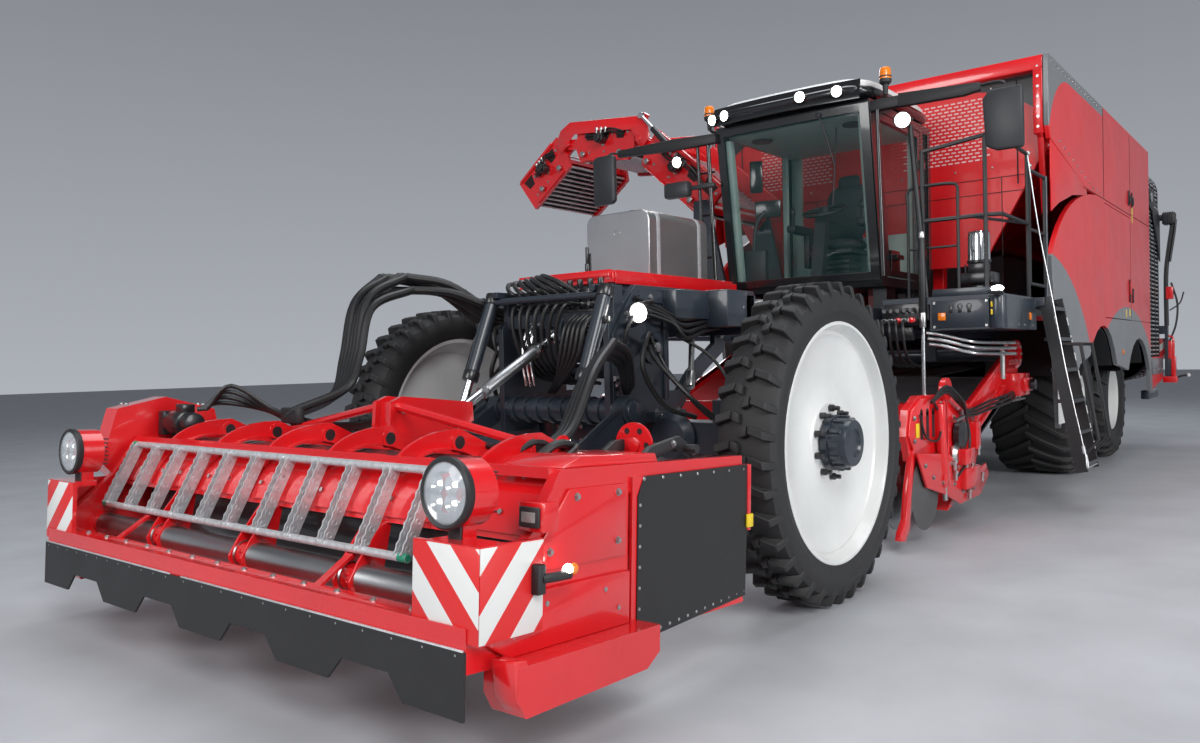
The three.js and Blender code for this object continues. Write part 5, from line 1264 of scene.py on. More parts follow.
            face.deliver(MOULDED, self.body, Slot.BLACK)
            lens = self.piece(f"{label}_side_lamp_lens")
            lens.block((2.508, 2.5145), (low + 0.026, high - 0.026), (0.732, 0.768), 0.004)
            lens.deliver(LensFinish("Smoked lens", (0.25, 0.25, 0.24), 0.1, coat=0.6, dust=0.0),
                         self.body, Slot.STEEL)
        else:
            small.mesh.free()

    def grating(self) -> None:
        """Galvanised step of two rails and serrated rungs, with green caps."""
        left, right, rungs = 1.04, -1.53, 11
        front, rear = Vector((2.531, 0, 0.545)), Vector((2.378, 0, 0.862))
        piece = self.piece("step_grating")
        for place in (front, rear):
            piece.rod((place.x, right, place.z), (place.x, left, place.z), 0.0168, 16)
        run = (rear - front).normalized()
        rise = Vector((run.z, 0, -run.x))
        length = (rear - front).length
        for i in range(rungs):
            y = right + 0.04 + (left - right - 0.08) * i / (rungs - 1)
            rung = Workpiece("rung")
            outline = [(0.0, -0.026)]
            teeth = 17
            outline.append((length, -0.026))
            for t in range(teeth, -1, -1):
                along = length * t / teeth
                outline.append((along, 0.022 if t % 2 else 0.0275))
            rung.plate(outline, "y", (-0.0035, 0.0035))
            for t in range(6):
                along = length * (t + 0.6) / 6.4
                rung.lathe([(0.009, -0.006), (0.014, -0.006), (0.014, 0.006), (0.009, 0.006)],
                           (along, 0, 0), "y", 10)
            turn = Matrix(((run.x, 0, rise.x, front.x), (0, 1, 0, y), (run.z, 0, rise.z, front.z),
                           (0, 0, 0, 1)))
            piece.repeat(rung, [Matrix.Translation((0, offset, 0)) @ turn for offset in (-0.02, 0.02)])
        piece.deliver(ZINC, self.body, Slot.STEEL, replaces=["header_step"])
        caps = self.piece("step_caps")
        for place in (front, rear):
            caps.rod((place.x, left - 0.05, place.z), (place.x, left + 0.0002, place.z), 0.0176, 16,
                     round_by=0.003)
            caps.rod((place.x, right + 0.05, place.z), (place.x, right - 0.0002, place.z), 0.0176, 16,
                     round_by=0.003)
        caps.deliver(GREEN, self.body, Slot.STEEL)

    def drive(self) -> None:
        """Oil motor, its pipes and the bolts of the drive cover at the right end."""
        motor = self.piece("drive_motor")
        motor.rod((2.16, -1.52, 0.98), (2.16, -1.36, 0.98), 0.075, 24, round_by=0.008)
        motor.rod((2.16, -1.37, 0.98), (2.16, -1.28, 0.98), 0.06, 24, round_by=0.006)
        motor.block((2.09, 2.23), (-1.58, -1.52), (0.91, 1.05), 0.01)
        motor.block((2.12, 2.2), (-1.44, -1.36), (1.04, 1.09), 0.008)
        motor.deliver(BLACK, self.body, Slot.BLACK)
        lid = self.piece("drive_cover_lid")
        lid.plate([(1.8, 0.72), (1.895, 1.045), (2.18, 1.11), (2.435, 1.045), (2.51, 0.765), (2.32, 0.58),
                   (1.94, 0.58)], "y", (-1.7395, -1.733), 0.003)
        lid.deliver(RED, self.body, Slot.RED)
        bolts = self.piece("drive_cover_bolts")
        for x, z in ((1.84, 0.73), (1.92, 1.02), (2.18, 1.08), (2.41, 1.02), (2.48, 0.76), (2.3, 0.61),
                     (1.96, 0.61)):
            bolts.dome((x, -1.7365, z), (0.012, 0.0035, 0.012), 10)
        for y in (-1.6, -1.66):
            bolts.bolt((2.4, y, 1.082), "z", 0.011)
            bolts.bolt((1.95, y, 1.082), "z", 0.011)
        bolts.deliver(BOLT_ZINC, self.body, Slot.STEEL)
        lines = self.piece("header_hoses")
        for k in range(4):
            s = 0.032 * k
            lines.hose([(2.14, -1.3 + s, 1.06), (2.05, -1.2 + s, 1.1 + s), (1.86, -1.05 + s, 1.06),
                        (1.76, -0.85 + s * 1.6, 0.97 + s * 0.3), (1.74, -0.5 + s, 0.97 + s * 0.3),
                        (1.68, -0.2, 1.0 + s * 0.4)], 0.0125, 8)
        for k in range(2):
            lines.hose([(1.79 + 0.03 * k, 0.25, 0.935), (1.8 + 0.03 * k, 0.7, 0.93),
                        (1.82 + 0.03 * k, 1.1, 0.94), (1.95, 1.36, 0.93 + 0.03 * k), (2.15, 1.44, 0.9)],
                       0.0115, 8)
        lines.deliver(HOSE, self.body, Slot.BLACK)

    def trim(self) -> None:
        """Beam bolts, lifting eyes, curtain straps and the left end cover."""
        bolts = self.piece("beam_bolts")
        for i in range(15):
            y = -1.5 + 3.0 * i / 14
            bolts.bolt((2.71, y, 0.425), "z", 0.01)
        for y in (-0.5, 0.5):
            for x, z in ((1.65, 0.6), (1.65, 0.78), (1.55, 0.5)):
                bolts.bolt((x, y + 0.061 * (1 if y > 0 else -1), z), "y", 0.013, 1 if y > 0 else -1)
        for side in (-1, 1):
            for x, z in ((1.8, 0.86), (1.78, 1.08)):
                bolts.bolt((x, side * 0.072, z), "y", 0.013, side)
        bolts.deliver(BOLT_ZINC, self.body, Slot.STEEL)
        eyes = self.piece("lifting_eyes")
        for y in (-1.1, 1.15):
            eyes.lathe([(0.026, -0.007), (0.042, -0.007), (0.042, 0.007), (0.026, 0.007)],
                       (1.79, y, 0.95), "y", 20)
        eyes.deliver(RED, self.body, Slot.RED)
        straps = self.piece("curtain_straps")
        for y in (1.18, 1.32):
            straps.hose([(1.9, y, 0.9), (1.96, y + 0.02, 0.96), (2.06, y + 0.02, 0.965), (2.16, y, 0.9)],
                        0.018, 8)
        straps.deliver(RUBBER, self.body, Slot.RUBBER)
        top = self.piece("end_cover_left")
        top.plate([(1.72, 0.9), (1.74, 0.935), (2.2, 0.94), (2.3, 0.905), (2.3, 0.9)], "y", (1.3, 1.6), 0.004)
        top.deliver(RED, self.body, Slot.RED)

    def build(self) -> None:
        """All of the header."""
        self.frame_skin()
        self.drum_cover()
        self.arches()
        self.feed_roller()
        self.front_flap()
        for side in SIDES.values():
            self.side_flap(side)
            self.side_panel(side)
            self.corner_board(side)
            self.headlamp(side)
        self.grating()
        self.drive()
        self.trim()


# -------------------------------------------------------------------- work lamps
@dataclass(frozen=True)
class WorkLamp:
    """A round work lamp, lit, with a finned housing and a bracket."""

    name: str
    place: Point
    aim: Point
    radius: float = 0.055
    body: str = "chassis"

    def build(self) -> None:
        """Housing, bezel, lens and bracket."""
        turn = Vector((1, 0, 0)).rotation_difference(Vector(self.aim)).to_matrix().to_4x4()
        put = Matrix.Translation(self.place) @ turn
        r = self.radius
        housing = Workpiece(f"{self.name}_housing", put)
        housing.lathe([(POLE, -r * 0.9), (r * 0.6, -r * 0.85), (r * 0.95, -r * 0.3), (r * 1.12, 0),
                       (r * 1.12, r * 0.2), (r, r * 0.22), (r * 0.96, r * 0.02), (POLE, 0)], (0, 0, 0),
                      "x", 28)
        for i in range(5):
            z = r * (0.34 * i - 0.68)
            housing.block((-r * 1.2, -r * 0.5), (-r * 0.55, r * 0.55), (z - r * 0.05, z + r * 0.05))
        housing.block((-r * 0.5, -r * 0.1), (-r * 1.3, r * 1.3), (-r * 0.2, r * 0.2), r * 0.05)
        housing.deliver(MOULDED, self.body, Slot.BLACK)
        lens = Workpiece(f"{self.name}_lens", put)
        lens.lathe([(POLE, r * 0.2), (r * 0.6, r * 0.16), (r * 0.94, r * 0.08), (r * 0.94, r * 0.01),
                    (POLE, r * 0.01)], (0, 0, 0), "x", 28)
        lens.deliver(LIT, self.body, Slot.STEEL)


# ---------------------------------------------------------- front frame and lift
@dataclass
class FrontFrame:
    """Tall frame over the front axle, with its oil pipes, valves, lamps and steering gear."""

    body: str = "chassis"
    plate_y: float = 0.43
    bank_x: float = 0.3
    bank_z: float = 1.66

    def skins(self) -> None:
        """Frame pieces with their edges rounded."""
        for node in ("main_frame", "front_frame", "front_axle", "rear_axles", "elevator_bracket",
                     "rear_frame"):
            refine(node, SLATE, self.body, Slot.DARK, 0.004)
        for label in SIDES:
            refine(f"{label}_knuckle", SLATE, f"{label}_knuckle", Slot.DARK, 0.004)
        refine("lift_arms", SLATE, "lift_arms", Slot.DARK, 0.004)
        refine("lift_barrels", SLATE, "lift_barrels", Slot.DARK, 0.002)
        refine("lift_rods", CHROME, "lift_rods", Slot.STEEL)
        refine("top_link", CHROME, "top_link", Slot.STEEL)

    def plates(self) -> None:
        """Stiffeners, access rings and bolts of the tall plates."""
        ribs = Workpiece("tower_ribs")
        for side in SIDES.values():
            face = side * (self.plate_y + 0.02)
            outer = sorted((face, face + side * 0.014))
            for outline in ([(0.44, 1.0), (0.5, 1.0), (0.5, 1.5), (0.3, 1.75), (0.23, 1.75),
                             (0.44, 1.46)], [(-0.06, 1.1), (-0.02, 1.1), (-0.02, 1.7), (-0.06, 1.7)],
                            [(-0.74, 1.68), (0.24, 1.7), (0.22, 1.76), (-0.5, 1.78), (-0.74, 1.74)]):
                ribs.plate(outline, "y", tuple(outer), 0.002)
            ribs.lathe([(0.06, 0), (0.1, 0), (0.1, side * 0.02), (0.06, side * 0.02)], (0.1, face, 1.42),
                       "y", 28)
        ribs.deliver(SLATE, self.body, Slot.DARK)
        bolts = Workpiece("tower_bolts")
        for side in SIDES.values():
            for x, z in ((0.47, 1.06), (0.47, 1.2), (0.47, 1.34), (0.36, 1.62), (-0.7, 1.5), (-0.7, 1.64),
                         (0.12, 1.73), (-0.1, 1.73), (-0.3, 1.73)):
                bolts.bolt((x, side * (self.plate_y + 0.034), z), "y", 0.014, side)
            for x in (-0.12, 0.12):
                bolts.bolt((x, side * (self.plate_y + 0.06), 1.03), "z", 0.016)
        bolts.deliver(BOLT_ZINC, self.body, Slot.STEEL)
        collars = Workpiece("pivot_tube_collars")
        for y in (-0.34, -0.24, -0.14, -0.04, 0.06, 0.16, 0.26, 0.35):
            collars.lathe([(0.066, -0.012), (0.084, -0.012), (0.084, 0.012), (0.066, 0.012)],
                          (0.45, y, 1.05), "y", 28)
        collars.deliver(SLATE, self.body, Slot.DARK)

    def valve_bank(self) -> None:
        """Row of oil valves on the cross box, with bent steel pipes that run to the right rear."""
        blocks = Workpiece("valve_blocks")
        for i in range(8):
            y = -0.34 + i * 0.082
            blocks.block((self.bank_x, self.bank_x + 0.11), (y, y + 0.07),
                         (self.bank_z - 0.01, self.bank_z + 0.13), 0.006)
            blocks.rod((self.bank_x + 0.055, y + 0.035, self.bank_z + 0.13),
                       (self.bank_x + 0.055, y + 0.035, self.bank_z + 0.19), 0.019, 14, round_by=0.003)
        blocks.block((0.28, 0.44), (-0.37, 0.36), (1.638, self.bank_z), 0.003)
        blocks.deliver(BLACK, self.body, Slot.BLACK)
        unions = Workpiece("valve_unions")
        for i in range(8):
            y = -0.305 + i * 0.082
            for z in (self.bank_z + 0.03, self.bank_z + 0.09):
                unions.rod((self.bank_x + 0.1, y, z), (self.bank_x + 0.15, y, z), 0.0155, 6)
                unions.rod((self.bank_x + 0.15, y, z), (self.bank_x + 0.178, y, z), 0.0125, 12)
        for i in range(6):
            y = -0.56 + i * 0.03
            unions.rod((0.25, y - 0.02, 1.66 + 0.025 * i), (0.33, y - 0.05, 1.6 + 0.025 * i), 0.013, 10)
            unions.rod((0.2, y, 1.7 + 0.025 * i), (0.25, y - 0.02, 1.66 + 0.025 * i), 0.0165, 6)
        unions.deliver(BOLT_ZINC, self.body, Slot.STEEL)
        pipes = Workpiece("oil_pipes")
        for i in range(6):
            s = 0.028 * i
            pipes.hose([(0.22, -0.56 + s, 1.69 + s * 0.8), (0.08, -0.58 + s, 1.78 + s * 0.6),
                        (-0.1, -0.62 + s, 1.83 + s * 0.2), (-0.4, -0.64 + s * 0.8, 1.845 + s * 0.15),
                        (-0.86, -0.72 + s * 0.6, 1.86)], 0.0115, 8, 5)
        for i in range(4):
            s = 0.03 * i
            pipes.hose([(-0.1, -0.5 - s, 1.6 + s), (-0.25, -0.56 - s, 1.68 + s),
                        (-0.5, -0.62 - s, 1.72 + s), (-0.95, -0.7 - s, 1.725 + s * 0.4)], 0.0085, 8, 5)
        for i in range(3):
            s = 0.034 * i
            pipes.hose([(0.53, -0.2 + s, 1.2), (0.55, -0.21 + s, 1.35), (0.52, -0.22 + s, 1.5),
                        (0.46, -0.22 + s, 1.6)], 0.0095, 8, 5)
        pipes.deliver(CHROME, self.body, Slot.STEEL)
        lines = Workpiece("frame_hoses")
        for i in range(7):
            s = 0.03 * i
            lines.hose([(0.47, -0.26 + 0.075 * i, 1.69), (0.58, -0.25 + 0.07 * i, 1.68),
                        (0.6, -0.24 + 0.06 * i, 1.55), (0.545, -0.22 + 0.05 * i, 1.38),
                        (0.4, -0.2 + 0.045 * i, 1.25), (0.1, -0.2 + 0.04 * i, 1.2)], 0.0125, 8, 5)
            lines.hose([(0.46, -0.3 + 0.08 * i, 1.75), (0.52, -0.34 + 0.07 * i, 1.79 + s * 0.2),
                        (0.42, -0.44 + 0.05 * i, 1.85 + s * 0.2),
                        (0.2, -0.52 + 0.03 * i, 1.86 + s * 0.15),
                        (-0.2, -0.56 + 0.02 * i, 1.85 + s * 0.1), (-0.7, -0.62, 1.84)], 0.0145, 8, 5)
        for side in SIDES.values():
            lines.hose([(0.2, side * 0.5, 1.45), (0.3, side * 0.62, 1.35), (0.28, side * 0.82, 1.15),
                        (0.14, side * 0.93, 1.0)], 0.013, 8, 6)
            lines.hose([(0.12, side * 0.5, 1.42), (0.2, side * 0.64, 1.28), (0.18, side * 0.8, 1.1),
                        (0.1, side * 0.88, 0.99)], 0.011, 8, 6)
            lines.hose([(-0.1, side * 0.5, 1.5), (-0.2, side * 0.7, 1.35), (-0.15, side * 0.9, 1.12),
                        (-0.1, side * 0.98, 1.02)], 0.011, 8, 6)
        for side in SIDES.values():
            y = side * (self.plate_y + 0.05)
            for i in range(4):
                s = 0.03 * i
                lines.hose([(0.3 - s, y, 1.72 - s), (0.1 - s, y + side * (0.03 + s * 0.4), 1.66 - s),
                            (-0.1, y + side * (0.06 + s * 0.5), 1.6 - s * 1.4),
                            (-0.4, y + side * 0.05, 1.62 - s), (-0.8, y + side * 0.02, 1.66 - s)], 0.0135,
                           8, 6)
            lines.hose([(0.42, y, 1.3), (0.47, y + side * 0.06, 1.5), (0.36, y + side * 0.08, 1.66),
                        (0.16, y + side * 0.03, 1.7)], 0.0135, 8, 6)
            lines.hose([(0.12, y, 1.42), (0.3, y + side * 0.1, 1.5), (0.42, y + side * 0.14, 1.3),
                        (0.3, y + side * 0.2, 1.08), (0.12, y + side * 0.3, 1.0)], 0.0155, 8, 6)
        for i in range(5):
            s = 0.036 * i
            lines.hose([(0.46, 0.3 - s, 1.62), (0.56, 0.3 - s, 1.55), (0.57, 0.26 - s, 1.38),
                        (0.52, 0.1 - s * 0.4, 1.24), (0.44, -0.05 - s * 0.3, 1.16)], 0.0145, 8, 6)
        lines.deliver(HOSE, self.body, Slot.BLACK)
        shelf = Workpiece("oil_cooler_case")
        shelf.block((-0.35, 0.12), (-1.14, -0.52), (1.66, 1.81), 0.012)
        shelf.block((-0.3, -0.05), (-1.1, -0.6), (1.5, 1.66), 0.01)
        shelf.block((-0.45, -0.02), (0.46, 0.56), (1.6, 1.78), 0.01)
        shelf.block((-0.75, -0.4), (0.46, 0.7), (1.55, 1.79), 0.012)
        shelf.deliver(SLATE, self.body, Slot.DARK)
        steel = Workpiece("frame_bright_parts")
        for side in SIDES.values():
            y = side * (self.plate_y + 0.06)
            steel.rod((-0.3, y, 1.52), (-0.12, y + side * 0.1, 1.2), 0.019, 14)
            steel.rod((-0.16, y + side * 0.08, 1.26), (-0.1, y + side * 0.11, 1.17), 0.028, 14,
                      round_by=0.004)
            for z in (1.24, 1.34, 1.44):
                steel.rod((0.44, y - side * 0.02, z), (0.5, y - side * 0.02, z), 0.016, 6)
            steel.rod((0.16, y, 1.42), (0.16, y + side * 0.06, 1.42), 0.03, 18, round_by=0.004)
        for i in range(6):
            steel.rod((0.31, -0.44 - 0.055 * i, 1.62 + 0.02 * i),
                      (0.42, -0.47 - 0.055 * i, 1.56 + 0.02 * i), 0.017, 12)
            steel.rod((0.4, -0.465 - 0.055 * i, 1.57 + 0.02 * i),
                      (0.44, -0.475 - 0.055 * i, 1.55 + 0.02 * i), 0.021, 6)
        steel.deliver(BOLT_ZINC, self.body, Slot.STEEL)
        drum = Workpiece("frame_oil_filter")
        drum.rod((0.2, -0.14, 1.42), (0.2, 0.12, 1.42), 0.085, 28, round_by=0.012)
        drum.rod((0.2, -0.2, 1.42), (0.2, -0.14, 1.42), 0.06, 24, round_by=0.006)
        drum.rod((0.1, -0.4, 1.28), (0.1, 0.4, 1.28), 0.05, 20)
        drum.deliver(SLATE, self.body, Slot.DARK)

    def axle_gear(self) -> None:
        """Steering cylinder, its rods, and the covers and bolts on the axle beam."""
        gear = Workpiece("steering_cylinder")
        for start, end, reach in (((-0.17, -0.42, 0.875), (-0.17, 0.42, 0.875), 0.04),
                                  ((-0.17, -0.47, 0.875), (-0.17, -0.42, 0.875), 0.048),
                                  ((-0.17, 0.42, 0.875), (-0.17, 0.47, 0.875), 0.048)):
            gear.rod(start, end, reach, 24, round_by=0.006)
        gear.block((-0.17, -0.1), (-0.3, -0.24), (0.84, 0.91), 0.006)
        gear.block((-0.17, -0.1), (0.24, 0.3), (0.84, 0.91), 0.006)
        gear.deliver(SLATE, self.body, Slot.DARK)
        rods = Workpiece("steering_cylinder_rods")
        for side in SIDES.values():
            rods.rod((-0.17, side * 0.46, 0.875), (-0.17, side * 0.78, 0.875), 0.018, 16)
            rods.dome((-0.17, side * 0.79, 0.875), (0.03, 0.03, 0.03), 16)
        rods.deliver(CHROME, self.body, Slot.STEEL)
        cover = Workpiece("axle_covers")
        cover.block((0.1, 0.135), (-0.36, 0.36), (0.81, 0.94), 0.012)
        cover.lathe([(POLE, 0.0), (0.15, 0.0), (0.16, 0.03), (0.12, 0.08), (POLE, 0.09)],
                    (0.11, 0.62, 0.875), "x", 32)
        cover.lathe([(POLE, 0.0), (0.15, 0.0), (0.16, 0.03), (0.12, 0.08), (POLE, 0.09)],
                    (0.11, -0.62, 0.875), "x", 32)
        cover.deliver(SLATE, self.body, Slot.DARK)
        bolts = Workpiece("axle_bolts")
        for y in (-0.3, -0.1, 0.1, 0.3):
            for z in (0.83, 0.92):
                bolts.bolt((0.135, y, z), "x", 0.011)
        for y in (-0.62, 0.62):
            for place in arc((y, 0.875), 0.135, 0, 330, 11):
                bolts.bolt((0.142, place[0], place[1]), "x", 0.009)
        bolts.deliver(BOLT_ZINC, self.body, Slot.STEEL)

    def knuckle_motors(self) -> None:
        """Wheel motors with their ribs, on the steering knuckles."""
        for label, side in SIDES.items():
            motor = Workpiece(f"{label}_wheel_motor")
            motor.lathe([(POLE, 0.0), (0.15, 0.0), (0.17, side * 0.03), (0.17, side * 0.1),
                         (0.12, side * 0.115), (POLE, side * 0.115)], (0, side * 1.2, 0.875), "y", 36)
            motor.block((-0.05, 0.09), ordered(side * 1.19, side * 1.27), (1.02, 1.09), 0.008)
            motor.deliver(BLACK, f"{label}_knuckle", Slot.BLACK)
            links = Workpiece(f"{label}_wheel_motor_unions")
            for z in (1.0, 0.94, 0.82):
                links.rod((0.1, side * 1.19, z), (0.16, side * 1.17, z), 0.015, 6)
                links.rod((0.16, side * 1.17, z), (0.19, side * 1.16, z), 0.012, 10)
            links.deliver(BOLT_ZINC, f"{label}_knuckle", Slot.STEEL)

    def lift_trim(self) -> None:
        """Cylinder eyes, grease lines and bosses of the lift gear."""
        bosses = Workpiece("lift_arm_bosses")
        for side in SIDES.values():
            for x, z, radius in ((0.45, 1.05, 0.06), (1.3, 0.61, 0.04)):
                bosses.rod((x, side * 0.55, z), (x, side * 0.578, z), radius, 24, round_by=0.004)
            bosses.plate([(0.55, 1.1), (1.2, 0.76), (1.2, 0.72), (0.55, 1.06)], "y",
                         ordered(side * 0.542, side * 0.556), 0.002)
        bosses.deliver(SLATE, "lift_arms", Slot.DARK)
        ends = Workpiece("lift_barrel_glands")
        for side in SIDES.values():
            start, end = Vector((0.56, side * 0.46, 1.73)), Vector((0.76337, side * 0.46, 1.25))
            way = (end - start).normalized()
            ends.rod(tuple(end - way * 0.05), tuple(end + way * 0.012), 0.051, 24, round_by=0.004)
            ends.rod(tuple(start - way * 0.05), tuple(start + way * 0.02), 0.05, 24, round_by=0.006)
            side_y = side * 0.5
            ends.block((0.6, 0.64), ordered(side_y, side_y + side * 0.03), (1.56, 1.6), 0.005)
        ends.deliver(BLACK, "lift_barrels", Slot.BLACK)
        pipes = Workpiece("lift_barrel_pipes")
        for side in SIDES.values():
            pipes.hose([(0.6, side * 0.515, 1.6), (0.66, side * 0.52, 1.5), (0.75, side * 0.515, 1.3)],
                       0.007, 8, 5)
        pipes.deliver(CHROME, "lift_barrels", Slot.STEEL)
        sleeve = Workpiece("top_link_turnbuckle")
        a, b = Vector((0.45, 0, 1.52)), Vector((1.3, 0, 1.08))
        way = b - a
        sleeve.rod(tuple(a + way * 0.26), tuple(a + way * 0.74), 0.034, 20, round_by=0.004)
        for t in (0.24, 0.75):
            sleeve.rod(tuple(a + way * t), tuple(a + way * (t + 0.03)), 0.04, 6)
        sleeve.deliver(STEEL, "top_link", Slot.STEEL)

    def lamps(self) -> None:
        """Work lamps on their stalks."""
        WorkLamp("right_front_lamp", (0.46, -0.9, 1.8), (1, 0.1, -0.15), 0.058).build()
        WorkLamp("left_front_lamp", (0.42, 0.6, 1.62), (1, 0.1, -0.15), 0.058).build()
        stalks = Workpiece("front_lamp_stalks")
        stalks.hose([(0.3, -0.45, 1.62), (0.36, -0.7, 1.64), (0.4, -0.88, 1.7), (0.41, -0.9, 1.79)], 0.02,
                    10, 5)
        stalks.hose([(0.36, 0.45, 1.55), (0.38, 0.54, 1.56), (0.38, 0.6, 1.6)], 0.018, 10, 5)
        stalks.deliver(SLATE, self.body, Slot.DARK)

    def build(self) -> None:
        """All of the front frame."""
        self.skins()
        self.plates()
        self.valve_bank()
        self.axle_gear()
        self.knuckle_motors()
        self.lift_trim()
        self.lamps()


@dataclass
class LiftHoses:
    """Oil hoses from the frame to the header, in two lengths that meet on the lift arms."""

    bundle: int = 6
    spread: float = 0.045

    def length(self, name: str, runs: Sequence[Sequence[Point]], bodies: tuple[str, str], start: Point,
               end: Point) -> None:
        """One set of lengths between two bodies."""
        piece = Workpiece(name)
        for run in runs:
            piece.hose(run, 0.0255, 10, 7)
        made = piece.deliver(HOSE, None, Slot.BLACK)
        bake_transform(made)

    def build(self) -> None:
        """The arched bundle on the right and the loop on the left."""
        rear, front = [], []
        for i in range(self.bundle):
            s = self.spread * i
            wave = 0.03 * math.sin(i * 2.1)
            peak = (1.06 - 0.02 * i, -0.93 + s * 0.8, 1.9 - 0.03 * (i % 3) + wave)
            rear.append([(0.3, -0.56 + s * 0.55, 1.54 + s * 0.5), (0.5, -0.62 + s * 0.6, 1.6 + s * 0.4),
                         (0.76, -0.76 + s * 0.7, 1.82 + wave), peak])
            front.append([peak, (1.28, -0.92 + s * 0.8, 1.72 + wave), (1.42, -0.84 + s * 0.7, 1.4),
                          (1.55, -0.78 + s * 0.6, 1.17 + 0.01 * i),
                          (1.78, -0.9 + s * 0.4, 1.06 + 0.008 * i)])
        self.length("right_hose_bundle_rear", rear, ("chassis", "lift_arms"), (0.5, -0.6, 1.6),
                    (1.02, -0.9, 1.9))
        self.length("right_hose_bundle_front", front, ("lift_arms", "header"), (1.1, -0.9, 1.88),
                    (1.5, -0.78, 1.2))
        rear, front = [], []
        for i in range(3):
            s = 0.05 * i
            peak = (1.0, 0.78 + s * 0.8, 1.38 + s * 0.6)
            rear.append([(0.42, 0.5 + s * 0.3, 1.16 + s * 0.4), (0.62, 0.6 + s * 0.6, 1.33 + s * 0.5), peak])
            front.append([peak, (1.3, 0.9 + s * 0.7, 1.24 + s * 0.5),
                          (1.55, 0.98 + s * 0.6, 1.02 + s * 0.2), (1.74, 1.0 + s * 0.5, 0.96)])
        self.length("left_hose_loop_rear", rear, ("chassis", "lift_arms"), (0.5, 0.55, 1.2),
                    (0.96, 0.8, 1.38))
        self.length("left_hose_loop_front", front, ("lift_arms", "header"), (1.04, 0.8, 1.38),
                    (1.55, 1.0, 1.0))
        ends = Workpiece("hose_ferrules")
        for i in range(self.bundle):
            s = self.spread * i
            ends.rod((0.24, -0.55 + s * 0.55, 1.53 + s * 0.5), (0.33, -0.565 + s * 0.55, 1.545 + s * 0.5),
                     0.025, 12)
        ends.deliver(BOLT_ZINC, "chassis", Slot.STEEL)
        tails = Workpiece("header_hose_clamps")
        tails.block((1.74, 1.79), (-0.93, -0.76), (1.03, 1.12), 0.01)
        tails.block((1.7, 1.76), (0.97, 1.12), (0.93, 0.99), 0.01)
        tails.deliver(MOULDED, "header", Slot.BLACK)


@dataclass
class HeaderBackTrim:
    """Flap arms, hand disc and stubs on the rear left of the header."""

    body: str = "header"

    def build(self) -> None:
        """Arms, disc and their bolts."""
        arms = Workpiece("flap_arms")
        arms.plate([(1.14, 0.9), (1.3, 1.0), (1.5, 0.99), (1.68, 0.9), (1.62, 0.88), (1.46, 0.94),
                    (1.32, 0.95), (1.2, 0.88)], "y", (1.22, 1.25), 0.005)
        arms.plate([(1.2, 0.92), (1.34, 1.01), (1.56, 0.98), (1.72, 0.9), (1.66, 0.88), (1.5, 0.93),
                    (1.36, 0.96), (1.24, 0.9)], "y", (1.46, 1.49), 0.005)
        arms.rod((1.3, 1.15, 0.95), (1.3, 1.55, 0.95), 0.02, 14)
        arms.deliver(MOULDED, self.body, Slot.BLACK)
        disc = Workpiece("hand_disc")
        disc.lathe([(0.035, 0.0), (0.1, 0.0), (0.1, 0.012), (0.035, 0.012)], (1.42, 1.3, 0.97), "x", 32)
        disc.rod((1.36, 1.3, 0.97), (1.44, 1.3, 0.97), 0.034, 20, round_by=0.004)
        disc.deliver(RED, self.body, Slot.RED)
        # Dark discs on the hand disc's face stand for its holes: painted shade.
        holes = Workpiece("hand_disc_hole_shade")
        for y, z in arc((1.3, 0.97), 0.07, 0, 300, 5):
            holes.rod((1.4305, y, z), (1.4335, y, z), 0.014, 12)
        holes.deliver(SHADOW, self.body, Slot.BLACK)
        bolts = Workpiece("flap_arm_bolts")
        for y in (1.25, 1.49):
            for x, z in ((1.24, 0.93), (1.4, 0.98), (1.6, 0.92)):
                bolts.bolt((x, y, z), "y", 0.012)
        bolts.deliver(BOLT_ZINC, self.body, Slot.STEEL)


# ------------------------------------------------------------------ deck and tank
@dataclass(frozen=True)
class DeckPaint(Finish):
    """Red sheet above a level, slate below it."""

    level: float = 1.949
    below: Colour = (0.022, 0.03, 0.042)

    def base_colour(self, w: Wiring, place: bpy.types.NodeSocket) -> object:
        """Two colours by height."""
        split = w.node("ShaderNodeSeparateXYZ")
        w.join(place, split.inputs[0])
        return w.mix(w.math("GREATER_THAN", split.outputs["Z"], self.level), rgba(self.below),
                     super().base_colour(w, place))


